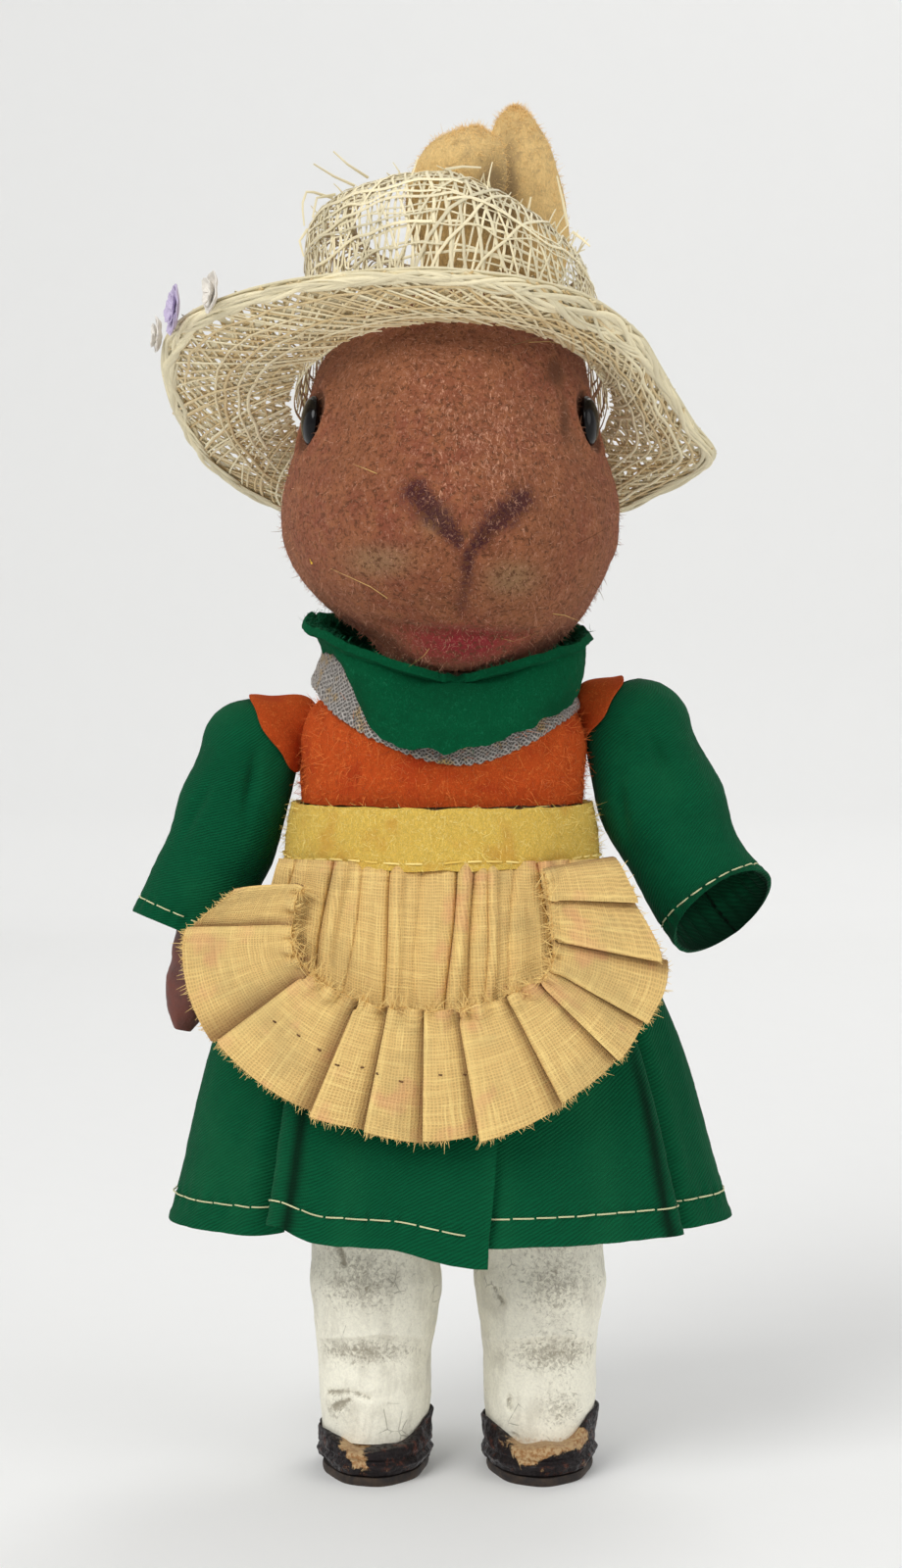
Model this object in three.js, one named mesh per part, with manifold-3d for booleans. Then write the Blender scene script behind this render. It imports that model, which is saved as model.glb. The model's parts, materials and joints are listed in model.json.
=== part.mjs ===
// A dressed toy rabbit, about 200 mm tall, standing on its own shoes.
// Millimetres, +Z up, the toy faces -Y, and its own left side is +X.
// The ground is Z = 0 and the neck turns about the Z axis.
import * as THREE from 'three';
import { mergeVertices } from 'three/addons/utils/BufferGeometryUtils.js';
import Module from 'manifold-3d';

const wasm = await Module();
wasm.setup();

// Clearances and materials' thicknesses
const fitGap = 0.3;
const layerGap = 0.35;
const feltThickness = 1.2;
const twillThickness = 0.8;
const linenThickness = 0.7;
const strawThickness = 0.9;
const braidThickness = 0.8;
const cutOverrun = 4;
const weldDistance = 0.0001;

// Feet and legs
const soleThickness = 1.2;
const soleWelt = 0.5;
const shoeWidth = 16.6;
const shoeLength = 27;
const shoeHeight = 9;
const shoeToeReach = 15;
const shoeThroatDrop = 4.6;
const shoeThroatLength = 9;
const insoleThickness = 3.3;
const footSpacing = 24;
const footCentre = 0.9;
const legLength = 42.2;
const legWidth = 19.2;
const legDepth = 20;
const shoeMouthShare = 0.4;
const soleRowShare = 0.25;
const legPegRadius = 2.5;
const legPegLength = 20;

// Body
const torsoHeight = 68.6;
const torsoWidth = 37.6;
const torsoDepth = 27;
const torsoShift = -1.3;
const neckRadius = 8.6;
const neckPegRadius = 6;
const neckPegLength = 32;
const neckPegReach = 14;

// Shoulders and arms: the right one hangs lower than the left
const rightShoulderReach = 29.2;
const leftShoulderReach = 27.3;
const rightShoulderDrop = 11.3;
const leftShoulderDrop = 8.9;
const shoulderDepth = 1.5;
const rightSleeveRadius = 7.2;
const leftSleeveRadius = 7.8;
const rightSleeveLength = 28.5;
const leftSleeveLength = 30.5;
const cuffHalfWidth = 8.4;
const cuffHalfDepth = 7.4;
const wireRadius = 0.8;
const wireElbowReach = 0.4;
const rightArmStart = 17.3;
const leftArmStart = 10.9;
const rightArmLength = 25;
const leftArmLength = 13;
const armHalfWidth = 4.1;
const armWireLength = 24;

// Clothes on the body
const waistDrop = 27.3;
const waistbandWidth = 8.2;
const waistbandHalfWidth = 22;
const waistbandHalfDepth = 17.7;
const skirtLength = 60;
const skirtTopHalfWidth = 19.6;
const skirtTopHalfDepth = 14.4;
const skirtHemHalfWidth = 40.2;
const skirtHemHalfDepth = 26.5;
const skirtFoldDepth = 2.6;
const skirtLapDepth = 1.4;
const apronHalfWidth = 25.5;
const apronDrop = 27;
const apronStandDepth = 0.8;
const apronBowDepth = 4.4;
const apronGatherDepth = 0.5;
const ruffleInnerHalfWidth = 18.9;
const ruffleInnerDrop = 11.5;
const ruffleOuterHalfWidth = 34.2;
const ruffleOuterDrop = 29.5;
const ruffleCentreDrop = 9.3;
const ruffleShift = -3.2;
const pleatCount = 12;
const pleatDepth = 1.7;
const collarInnerRadius = 11.5;
const collarOuterRadius = 18.4;
const collarTipRadius = 20.2;
const collarFallHeight = 10;
const collarFlareHeight = 8.6;
const collarBulgeDepth = 1.7;
const ribbonWidth = 5;
const ribbonFrontDrop = 11.4;
const ribbonSideDrop = 6.4;
const ribbonSideTopDrop = 3.9;

// Head
const headHeight = 57;
const headHalfWidth = 24.4;
const muzzleReach = 33.5;
const napeReach = 23.3;
const headWall = 2.2;
const headSeam = 1;
const eyeRadius = 3.7;
const eyeBulgeHeight = 2.6;
const eyeHeight = 35;
const eyeForwardReach = 11.5;
const eyeRecessDepth = 0.7;
const eyePinRadius = 0.5;
const eyePinLength = 6;

// Ears
const leftEarLength = 24.4;
const leftEarWidth = 12.4;
const earThickness = 8.8;
const rightEarLength = 21.2;
const rightEarWidth = 13;
const leftEarSeat = new THREE.Vector3(10.6, 6, 0);
const rightEarSeat = new THREE.Vector3(3.4, -3.4, 0);
const rightEarLeanReach = 3;
const earSeatDrop = 6.6;

// Hat
const headLineHeight = 37.8;
const headLineFrontHeight = 10.5;
const headLineHalfWidth = 22.2;
const headLineHalfDepth = 24.4;
const crownHeight = 27.5;
const brimSagDepth = 1.5;
const brimFrontHeight = 16.5;
const brimLeftReach = 34;
const brimRightReach = 40.8;
const brimFrontReach = 34.5;
const brimBackReach = 35;
const blossomRadius = 2.9;
const smallBlossomRadius = 2.1;
const blossomThickness = 1.6;
const blossomGap = 0.4;

// Facets
const roundSteps = 24;
const wireSteps = 10;
const halvings = 30;
const stepShare = 0.002;
const fullTurn = 2 * Math.PI;

// Colours and finishes
const finishes = {
  flock: { color: 0x96543c, roughness: 0.95, metalness: 0 },
  plush: { color: 0xd2b074, roughness: 0.95, metalness: 0 },
  straw: { color: 0xdcc894, roughness: 0.7, metalness: 0 },
  lilac: { color: 0xb9a2cf, roughness: 0.8, metalness: 0 },
  white: { color: 0xe6e2dc, roughness: 0.8, metalness: 0 },
  bead: { color: 0x0b0a0a, roughness: 0.12, metalness: 0 },
  iron: { color: 0x6e665c, roughness: 0.5, metalness: 1 },
  wood: { color: 0xb88a58, roughness: 0.7, metalness: 0 },
  composition: { color: 0xb09a80, roughness: 0.85, metalness: 0 },
  hand: { color: 0x5c3226, roughness: 0.75, metalness: 0 },
  orangeFelt: { color: 0xcc5020, roughness: 0.95, metalness: 0 },
  greenFelt: { color: 0x125a38, roughness: 0.95, metalness: 0 },
  yellowFelt: { color: 0xe0be50, roughness: 0.95, metalness: 0 },
  braid: { color: 0x968672, roughness: 0.45, metalness: 0.5 },
  twill: { color: 0x126440, roughness: 0.85, metalness: 0 },
  linen: { color: 0xcfae74, roughness: 0.9, metalness: 0 },
  legPaint: { color: 0xd8d3ba, roughness: 0.55, metalness: 0 },
  shoePaint: { color: 0x2a211c, roughness: 0.45, metalness: 0 },
  card: { color: 0x3c3028, roughness: 0.9, metalness: 0 },
};

// Heights that stand on each other
const soleTop = soleThickness;
const shoeBase = soleTop + fitGap;
const legBase = shoeBase + insoleThickness;
const hip = legBase + legLength + fitGap;
const neckTop = hip + torsoHeight;
const headBase = neckTop + fitGap;
const waist = neckTop - waistDrop;
const waistbandTop = waist + waistbandWidth;
const rightShoulderHeight = neckTop - rightShoulderDrop;
const leftShoulderHeight = neckTop - leftShoulderDrop;
const rightShoulder = new THREE.Vector3(-rightShoulderReach, shoulderDepth, rightShoulderHeight);
const leftShoulder = new THREE.Vector3(leftShoulderReach, shoulderDepth, leftShoulderHeight);
const ribbonFrontLow = neckTop - ribbonFrontDrop;
const ribbonSideLow = neckTop - ribbonSideDrop;
const ribbonSideHigh = neckTop - ribbonSideTopDrop;

// Tools for curves and tables

// A smooth line through [place, value] pairs, which stand in rising order of place.
function through(pairs) {
  const slope = (i) => {
    const before = pairs[Math.max(i - 1, 0)];
    const after = pairs[Math.min(i + 1, pairs.length - 1)];
    return (after[1] - before[1]) / (after[0] - before[0]);
  };
  return (place) => {
    let i = 0;
    while (i < pairs.length - 2 && place > pairs[i + 1][0]) i += 1;
    const [x0, y0] = pairs[i];
    const [x1, y1] = pairs[i + 1];
    const span = x1 - x0;
    const t = THREE.MathUtils.clamp((place - x0) / span, 0, 1);
    const t2 = t * t;
    const t3 = t2 * t;
    const start = (2 * t3 - 3 * t2 + 1) * y0 + (t3 - 2 * t2 + t) * span * slope(i);
    return start + (3 * t2 - 2 * t3) * y1 + (t3 - t2) * span * slope(i + 1);
  };
}

// A smooth closed line through [angle in degrees, value] pairs.
function roundThrough(pairs) {
  const before = pairs.slice(-2).map(([angle, value]) => [angle - 360, value]);
  const after = pairs.slice(0, 2).map(([angle, value]) => [angle + 360, value]);
  const line = through([...before, ...pairs, ...after]);
  const first = pairs[0][0];
  return (degrees) => line(THREE.MathUtils.euclideanModulo(degrees - first, 360) + first);
}

// A lofted form: each row of shares is [height, left, right, front, back].
// Left of the form is -X. turn runs once round from the front, row from 0 to 1 over the rows.
function form(rowShares, size) {
  const last = rowShares.length - 1;
  const column = (k) => through(rowShares.map((row, i) => [i / last, row[k]]));
  const [height, left, right, front, back] = [0, 1, 2, 3, 4].map(column);
  return (turn, row) => {
    const angle = turn * fullTurn;
    const across = Math.sin(angle);
    const along = -Math.cos(angle);
    const reachX = across < 0 ? left(row) * size.left : right(row) * size.right;
    const reachY = along < 0 ? front(row) * size.front : back(row) * size.back;
    return new THREE.Vector3(
      size.x + reachX * across,
      size.y + reachY * along,
      size.base + height(row) * size.height,
    );
  };
}

// The place between two ends where a test that starts true turns false.
function halved(from, to, test) {
  let low = from;
  let high = to;
  for (let i = 0; i < halvings; i += 1) {
    const middle = (low + high) / 2;
    if (test(middle)) low = middle;
    else high = middle;
  }
  return (low + high) / 2;
}

// The outward normal of a surface whose turn runs to the left of its row.
function normalOf(surface, turn, row) {
  const alongTurn = surface(turn + stepShare, row).sub(surface(turn - stepShare, row));
  const low = Math.max(row - stepShare, 0);
  const high = Math.min(row + stepShare, 1);
  const alongRow = surface(turn, high).sub(surface(turn, low));
  return alongTurn.cross(alongRow).normalize();
}

// The same surface moved outwards.
function raised(surface, distance) {
  return (turn, row) => {
    const point = surface(turn, row);
    return point.addScaledVector(normalOf(surface, turn, row), distance);
  };
}

// Tools for solids

function geometryOf(points, faces) {
  const geometry = new THREE.BufferGeometry();
  const places = new Float32Array(points.flatMap((point) => point.toArray()));
  geometry.setAttribute('position', new THREE.BufferAttribute(places, 3));
  geometry.setIndex(faces);
  return facingOut(geometry);
}

function volumeOf(geometry) {
  const places = geometry.getAttribute('position');
  const index = geometry.getIndex();
  const corner = [new THREE.Vector3(), new THREE.Vector3(), new THREE.Vector3()];
  let sum = 0;
  for (let i = 0; i < index.count; i += 3) {
    corner.forEach((point, k) => point.fromBufferAttribute(places, index.getX(i + k)));
    sum += corner[0].dot(corner[1].clone().cross(corner[2]));
  }
  return sum;
}

function facingOut(geometry) {
  if (volumeOf(geometry) < 0) {
    const faces = Array.from(geometry.getIndex().array);
    for (let i = 0; i < faces.length; i += 3) {
      [faces[i + 1], faces[i + 2]] = [faces[i + 2], faces[i + 1]];
    }
    geometry.setIndex(faces);
  }
  return geometry;
}

function middleOf(ring) {
  const sum = ring.reduce((total, point) => total.add(point), new THREE.Vector3());
  return sum.divideScalar(ring.length);
}

// A solid through closed rings, its two ends closed by fans.
function loft(rings) {
  const around = rings[0].length;
  const points = rings.flat();
  const faces = [];
  for (let level = 0; level < rings.length - 1; level += 1) {
    for (let i = 0; i < around; i += 1) {
      const a = level * around + i;
      const b = level * around + ((i + 1) % around);
      faces.push(a, b, b + around, a, b + around, a + around);
    }
  }
  const lastStart = (rings.length - 1) * around;
  const firstMiddle = points.push(middleOf(rings[0])) - 1;
  const lastMiddle = points.push(middleOf(rings[rings.length - 1])) - 1;
  for (let i = 0; i < around; i += 1) {
    const next = (i + 1) % around;
    faces.push(firstMiddle, next, i);
    faces.push(lastMiddle, lastStart + i, lastStart + next);
  }
  return geometryOf(points, faces);
}

// A solid through closed rings, the last of which joins the first again.
function hollowLoft(rings) {
  const around = rings[0].length;
  const faces = [];
  for (let level = 0; level < rings.length; level += 1) {
    const above = (level + 1) % rings.length;
    for (let i = 0; i < around; i += 1) {
      const next = (i + 1) % around;
      const a = level * around + i;
      const b = level * around + next;
      const c = above * around + next;
      const d = above * around + i;
      faces.push(a, b, c, a, c, d);
    }
  }
  return geometryOf(rings.flat(), faces);
}

function ringOn(surface, row, around) {
  return Array.from({ length: around }, (unused, i) => surface(i / around, row));
}

function spread(from, to, count) {
  return Array.from({ length: count + 1 }, (unused, i) => from + ((to - from) * i) / count);
}

// The solid inside a surface, between two rows.
function fill(surface, from, to, around, levels) {
  return loft(spread(from, to, levels).map((row) => ringOn(surface, row, around)));
}

// A wall that stands off a surface by a gap and goes all the way round it.
function wallOn(surface, { from = 0, to = 1, gap = 0, thickness, around, levels }) {
  const rows = spread(from, to, levels);
  const inner = raised(surface, gap);
  const outer = raised(surface, gap + thickness);
  const outside = rows.map((row) => ringOn(outer, row, around));
  const inside = rows.map((row) => ringOn(inner, row, around)).reverse();
  return hollowLoft([...outside, ...inside]);
}

// A piece of cloth with four edges: turn and row both run from 0 to 1.
function sheetOn(surface, { gap = 0, thickness, across, down }) {
  const back = raised(surface, gap);
  const front = raised(surface, gap + thickness);
  const points = [];
  const sides = [front, back].map((side) =>
    spread(0, 1, across).map((turn) =>
      spread(0, 1, down).map((row) => points.push(side(turn, row)) - 1),
    ),
  );
  const faces = [];
  const patch = (a, b, c, d) => faces.push(a, b, c, a, c, d);
  const [near, far] = sides;
  for (let i = 0; i < across; i += 1) {
    for (let j = 0; j < down; j += 1) {
      patch(near[i][j], near[i + 1][j], near[i + 1][j + 1], near[i][j + 1]);
      patch(far[i][j + 1], far[i + 1][j + 1], far[i + 1][j], far[i][j]);
    }
    patch(far[i][0], far[i + 1][0], near[i + 1][0], near[i][0]);
    patch(near[i][down], near[i + 1][down], far[i + 1][down], far[i][down]);
  }
  for (let j = 0; j < down; j += 1) {
    patch(near[0][j + 1], far[0][j + 1], far[0][j], near[0][j]);
    patch(near[across][j], far[across][j], far[across][j + 1], near[across][j + 1]);
  }
  return geometryOf(points, faces);
}

// A straight rod with flat ends.
function rod(start, end, radius, steps = wireSteps) {
  const axis = end.clone().sub(start);
  const geometry = new THREE.CylinderGeometry(radius, radius, axis.length(), steps);
  const turn = new THREE.Quaternion();
  turn.setFromUnitVectors(new THREE.Vector3(0, 1, 0), axis.clone().normalize());
  geometry.applyQuaternion(turn);
  const middle = start.clone().add(end).divideScalar(2);
  return geometry.translate(middle.x, middle.y, middle.z);
}

function boxBetween(low, high) {
  const size = high.clone().sub(low);
  const geometry = new THREE.BoxGeometry(size.x, size.y, size.z);
  const middle = low.clone().add(high).divideScalar(2);
  return geometry.translate(middle.x, middle.y, middle.z);
}

// Booleans
function solid(geometry) {
  const bare = new THREE.BufferGeometry();
  bare.setAttribute('position', geometry.getAttribute('position'));
  bare.setIndex(geometry.getIndex());
  const merged = mergeVertices(bare, weldDistance);
  const vertProperties = merged.getAttribute('position').array;
  const triVerts = new Uint32Array(merged.getIndex().array);
  return new wasm.Manifold(new wasm.Mesh({ numProp: 3, vertProperties, triVerts }));
}

function geometryFrom(made) {
  const { vertProperties, triVerts, numProp } = made.getMesh();
  const count = vertProperties.length / numProp;
  const places = new Float32Array(count * 3);
  for (let i = 0; i < count; i += 1) {
    for (let k = 0; k < 3; k += 1) places[i * 3 + k] = vertProperties[i * numProp + k];
  }
  const geometry = new THREE.BufferGeometry();
  geometry.setAttribute('position', new THREE.BufferAttribute(places, 3));
  geometry.setIndex(Array.from(triVerts));
  return geometry;
}

function cut(geometry, ...tools) {
  const made = tools.reduce((left, tool) => left.subtract(solid(tool)), solid(geometry));
  return geometryFrom(made);
}

function common(geometry, tool) {
  return geometryFrom(solid(geometry).intersect(solid(tool)));
}

// The object
const toy = new THREE.Group();
const headGroup = new THREE.Group();
const bodyGroup = new THREE.Group();
const leftArmGroup = new THREE.Group();
const rightArmGroup = new THREE.Group();
toy.add(bodyGroup, headGroup, leftArmGroup, rightArmGroup);

function add(group, name, geometry, finish) {
  const mesh = new THREE.Mesh(geometry, new THREE.MeshStandardMaterial(finishes[finish]));
  mesh.name = name;
  group.add(mesh);
}

// Shoes, soles and legs
const footShares = [
  [0, 0.9, 0.9, 0.97, 0.96],
  [0.25, 1, 1, 1, 1],
  [0.5, 0.99, 0.99, 0.97, 0.98],
  [0.8, 0.95, 0.95, 0.84, 0.93],
  [1, 0.9, 0.9, 0.66, 0.88],
];
const legShares = [
  [0, 0.8, 0.8, 0.92, 0.84],
  [0.12, 0.85, 0.85, 0.88, 0.82],
  [0.26, 0.86, 0.86, 0.84, 0.82],
  [0.4, 0.94, 0.94, 0.9, 0.9],
  [0.52, 1, 1, 0.98, 0.96],
  [0.62, 0.97, 0.97, 0.94, 0.96],
  [0.8, 0.98, 0.98, 1, 1],
  [1, 0.9, 0.9, 0.96, 0.98],
];
const footSteps = 20;
const footLevels = 4;
const legLevels = 8;

function footForm(x, base, height, grow) {
  return form(footShares, {
    x,
    y: 0,
    base,
    height,
    left: shoeWidth / 2 + grow,
    right: shoeWidth / 2 + grow,
    front: shoeToeReach + grow,
    back: shoeLength - shoeToeReach + grow,
  });
}

function makeFoot(side, sign) {
  const x = footCentre + (sign * footSpacing) / 2;
  const legForm = form(legShares, {
    x,
    y: 0,
    base: legBase,
    height: legLength,
    left: legWidth / 2,
    right: legWidth / 2,
    front: legDepth / 2,
    back: legDepth / 2,
  });
  const pegBase = legBase + legLength - legPegLength / 2;
  const pegTop = pegBase + legPegLength;
  const pegStart = new THREE.Vector3(x, 0, pegBase);
  const pegEnd = new THREE.Vector3(x, 0, pegTop);
  const pegBore = rod(
    new THREE.Vector3(x, 0, pegBase - fitGap),
    new THREE.Vector3(x, 0, legBase + legLength + cutOverrun),
    legPegRadius + fitGap,
  );
  const leg = cut(fill(legForm, 0, 1, footSteps, legLevels), pegBore);

  // The leg stands in the shoe, whose front is cut away above the instep.
  const legRoom = fill(raised(legForm, fitGap), 0, 1, footSteps, legLevels);
  legRoom.translate(0, 0, -fitGap / 2);
  const throatLow = new THREE.Vector3(
    x - legWidth,
    -shoeToeReach + shoeThroatLength / 3,
    shoeBase + shoeHeight - shoeThroatDrop,
  );
  const throatHigh = new THREE.Vector3(
    x + legWidth,
    -shoeToeReach + shoeThroatLength,
    shoeBase + shoeHeight + cutOverrun,
  );
  const upper = fill(footForm(x, shoeBase, shoeHeight, 0), 0, 1, footSteps, footLevels);
  const insole = new THREE.Vector3(x, 0, legBase - fitGap);
  const mouthTop = insole.clone().setZ(legBase + shoeHeight);
  const mouth = rod(insole, mouthTop, legWidth * shoeMouthShare, footSteps);
  mouth.translate(-x, 0, 0).scale(1, legDepth / legWidth, 1).translate(x, 0, 0);
  const shoe = cut(upper, boxBetween(throatLow, throatHigh), legRoom, mouth);

  const soleForm = footForm(x, 0, shoeHeight, soleWelt);
  const outline = ringOn(soleForm, soleRowShare, footSteps);
  const soleRings = [0, soleTop].map((z) => outline.map((point) => point.clone().setZ(z)));

  add(bodyGroup, `${side}_sole`, loft(soleRings), 'card');
  add(bodyGroup, `${side}_shoe`, shoe, 'shoePaint');
  add(bodyGroup, `${side}_leg`, leg, 'legPaint');
  add(bodyGroup, `${side}_leg_peg`, rod(pegStart, pegEnd, legPegRadius), 'wood');
  return rod(
    new THREE.Vector3(x, 0, hip - cutOverrun),
    new THREE.Vector3(x, 0, pegTop + fitGap),
    legPegRadius + fitGap,
  );
}
const hipBores = [makeFoot('right', -1), makeFoot('left', 1)];

// Body with its neck
const torsoShares = [
  [0, 0.86, 0.86, 0.84, 0.84],
  [0.03, 0.96, 0.96, 0.98, 0.98],
  [0.18, 1.05, 1.05, 1.06, 1.06],
  [0.38, 1, 1, 1.02, 1.02],
  [0.55, 0.96, 0.96, 0.97, 0.97],
  [0.66, 0.95, 0.95, 0.94, 0.94],
  [0.77, 0.98, 0.98, 0.96, 0.95],
  [0.86, 0.99, 0.99, 0.93, 0.92],
  [0.905, 0.9, 0.9, 0.84, 0.84],
  [0.94, 0.7, 0.7, 0.73, 0.73],
];
const torsoForm = form(torsoShares, {
  x: torsoShift,
  y: 0,
  base: hip,
  height: torsoHeight,
  left: torsoWidth / 2,
  right: torsoWidth / 2,
  front: torsoDepth / 2,
  back: torsoDepth / 2,
});
const torsoLevels = 11;
const neckShares = [0.955, 1];

// The row of a form's table at a height.
function rowAt(surface, z) {
  return halved(0, 1, (row) => surface(0, row).z < z);
}

function makeTorso() {
  const rings = spread(0, 1, torsoLevels).map((row) => ringOn(torsoForm, row, roundSteps));
  for (const share of neckShares) {
    const z = hip + torsoHeight * share;
    rings.push(
      Array.from({ length: roundSteps }, (unused, i) => {
        const angle = (fullTurn * i) / roundSteps;
        return new THREE.Vector3(neckRadius * Math.sin(angle), -neckRadius * Math.cos(angle), z);
      }),
    );
  }
  const pegTop = neckTop + neckPegReach;
  const pegBase = pegTop - neckPegLength;
  const pegBore = rod(
    new THREE.Vector3(0, 0, pegBase - fitGap),
    new THREE.Vector3(0, 0, neckTop + cutOverrun),
    neckPegRadius + fitGap,
    roundSteps,
  );
  const wireBore = rod(rightShoulder, leftShoulder, wireRadius + fitGap);
  const pegStart = new THREE.Vector3(0, 0, pegBase);
  const pegEnd = new THREE.Vector3(0, 0, pegTop);
  const peg = rod(pegStart, pegEnd, neckPegRadius, roundSteps);
  add(bodyGroup, 'torso_core', cut(loft(rings), pegBore, wireBore, ...hipBores), 'composition');
  add(bodyGroup, 'neck_peg', cut(peg, wireBore), 'wood');
  add(bodyGroup, 'shoulder_wire', rod(rightShoulder, leftShoulder, wireRadius), 'iron');
  return wireBore;
}
const shoulderWireBore = makeTorso();

// Bodice: felt over the chest, hollowed at the armholes for the sleeve heads
const bodiceLevels = 6;

function ball(centre, radius) {
  const geometry = new THREE.SphereGeometry(radius, roundSteps, roundSteps / 2);
  return geometry.translate(centre.x, centre.y, centre.z);
}

function makeBodice() {
  const felt = wallOn(torsoForm, {
    from: rowAt(torsoForm, waistbandTop + fitGap),
    to: 1,
    gap: layerGap,
    thickness: feltThickness,
    around: roundSteps,
    levels: bodiceLevels,
  });
  const rightArmhole = ball(rightShoulder, rightSleeveRadius + layerGap);
  const leftArmhole = ball(leftShoulder, leftSleeveRadius + layerGap);
  add(bodyGroup, 'bodice', cut(felt, rightArmhole, leftArmhole, shoulderWireBore), 'orangeFelt');
}
makeBodice();

// Skirt: one wrap-over sheet, its outer edge lapped over the front
const skirtShares = [
  [0, 1, 0],
  [0.14, 0.94, 0],
  [0.3, 0.69, 0.1],
  [0.6, 0.32, 0.55],
  [1, 0, 1],
];
const skirtLapStart = 20;
const skirtLapSpan = 376;
const lapFootShare = 0.82;
const lapHeadShare = 0.95;
const skirtFoldShares = [
  { at: -42, width: 9, share: -1 },
  { at: 58, width: 9, share: -1 },
  { at: -78, width: 20, share: 0.5 },
  { at: 92, width: 18, share: 0.5 },
  { at: 128, width: 12, share: -0.9 },
  { at: 158, width: 16, share: 0.7 },
  { at: 190, width: 12, share: -0.9 },
  { at: 220, width: 16, share: 0.7 },
  { at: 252, width: 12, share: -0.9 },
];
const skirtAcross = 52;
const skirtDown = 5;

// How far the skirt's folds stand out at an angle, as a share of their depth.
function skirtFolds(degrees) {
  return skirtFoldShares.reduce((sum, { at, width, share }) => {
    const away = THREE.MathUtils.euclideanModulo(degrees - at + 180, 360) - 180;
    return sum + share * Math.exp(-((away / width) ** 2));
  }, 0);
}

const skirtTopShare = through(skirtShares.map(([place, top]) => [place, top]));
const skirtFoldShare = through(skirtShares.map(([place, top, fold]) => [place, fold]));

function skirtSurface(turn, row) {
  const degrees = skirtLapStart - skirtLapSpan * (1 - turn);
  const angle = THREE.MathUtils.degToRad(degrees);
  const top = skirtTopShare(row);
  const halfWidth = THREE.MathUtils.lerp(skirtHemHalfWidth, skirtTopHalfWidth, top);
  const halfDepth = THREE.MathUtils.lerp(skirtHemHalfDepth, skirtTopHalfDepth, top);
  const lapped = THREE.MathUtils.smoothstep(turn, lapFootShare, lapHeadShare) * skirtLapDepth;
  const out = skirtFoldDepth * skirtFolds(degrees) * skirtFoldShare(row) + lapped;
  return new THREE.Vector3(
    torsoShift + (halfWidth + out) * Math.sin(angle) - torsoShift * row,
    -(halfDepth + out) * Math.cos(angle),
    waistbandTop - fitGap - skirtLength * row,
  );
}

function makeSkirt() {
  const flipped = (turn, row) => skirtSurface(turn, 1 - row);
  const sheet = sheetOn(flipped, {
    thickness: twillThickness,
    across: skirtAcross,
    down: skirtDown,
  });
  add(bodyGroup, 'skirt', sheet, 'twill');
}
makeSkirt();

// Waistband: yellow felt round the skirt's top
const waistbandShares = [
  [0, 1.04, 1.04, 1.02, 1],
  [0.5, 1.01, 1.01, 1.01, 1],
  [1, 0.97, 0.97, 0.99, 1],
];
const waistbandLevels = 2;

function makeWaistband() {
  const bandForm = form(waistbandShares, {
    x: torsoShift,
    y: 0,
    base: waist,
    height: waistbandWidth,
    left: waistbandHalfWidth,
    right: waistbandHalfWidth,
    front: waistbandHalfDepth,
    back: waistbandHalfDepth,
  });
  const band = wallOn(bandForm, {
    thickness: feltThickness,
    around: roundSteps,
    levels: waistbandLevels,
  });
  add(bodyGroup, 'waistband', band, 'yellowFelt');
}
makeWaistband();

// Apron: a gathered panel and a knife-pleated ruffle, both standing off the skirt's front
const apronGatherCount = 9;
const apronAcross = 36;
const apronDown = 5;
const panelEdgeShare = 0.94;
const pleatRunShare = 0.8;
const pleatFadeShare = 0.6;
const ruffleTurn = 107;
const ruffleDown = 4;
const ruffleStepsPerPleat = 5;
const apronTop = waist - fitGap;

// Where the apron's back face lies, in front of the skirt.
function apronDepthAt(x, z) {
  const row = THREE.MathUtils.clamp((waistbandTop - fitGap - z) / skirtLength, 0, 1);
  const top = skirtTopShare(row);
  const halfDepth = THREE.MathUtils.lerp(skirtHemHalfDepth, skirtTopHalfDepth, top);
  const stand = skirtLapDepth + twillThickness + apronStandDepth;
  return -(halfDepth + stand) + apronBowDepth * ((x - torsoShift) / apronHalfWidth) ** 2;
}

function panelSurface(turn, row) {
  const across = turn * 2 - 1;
  const drop = apronDrop * Math.sqrt(Math.max(1 - (across * panelEdgeShare) ** 2, 0));
  const x = torsoShift + apronHalfWidth * across;
  const z = apronTop - drop * (1 - row);
  const gather = Math.sin(turn * fullTurn * apronGatherCount) * apronGatherDepth * row;
  return new THREE.Vector3(x, apronDepthAt(x, z) - apronGatherDepth - gather, z);
}

function ruffleSurface(turn, row) {
  const angle = THREE.MathUtils.degToRad(THREE.MathUtils.lerp(-ruffleTurn, ruffleTurn, turn));
  const halfWidth = THREE.MathUtils.lerp(ruffleOuterHalfWidth, ruffleInnerHalfWidth, row);
  const drop = THREE.MathUtils.lerp(ruffleOuterDrop, ruffleInnerDrop, row);
  const x = ruffleShift + halfWidth * Math.sin(angle);
  const z = waist - ruffleCentreDrop - drop * Math.cos(angle);
  const saw = THREE.MathUtils.euclideanModulo(turn * pleatCount, 1);
  const rise = saw < pleatRunShare ? saw / pleatRunShare : (1 - saw) / (1 - pleatRunShare);
  const seat = 2 * apronGatherDepth + linenThickness + layerGap;
  const pleat = pleatDepth * rise * (1 - row * pleatFadeShare);
  return new THREE.Vector3(x, apronDepthAt(x, z) - seat - pleat, z);
}

function makeApron() {
  const panel = sheetOn(panelSurface, {
    thickness: linenThickness,
    across: apronAcross,
    down: apronDown,
  });
  const ruffle = sheetOn(ruffleSurface, {
    thickness: linenThickness,
    across: pleatCount * ruffleStepsPerPleat,
    down: ruffleDown,
  });
  add(bodyGroup, 'apron_panel', panel, 'linen');
  add(bodyGroup, 'apron_ruffle', ruffle, 'linen');
}
makeApron();

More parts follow.
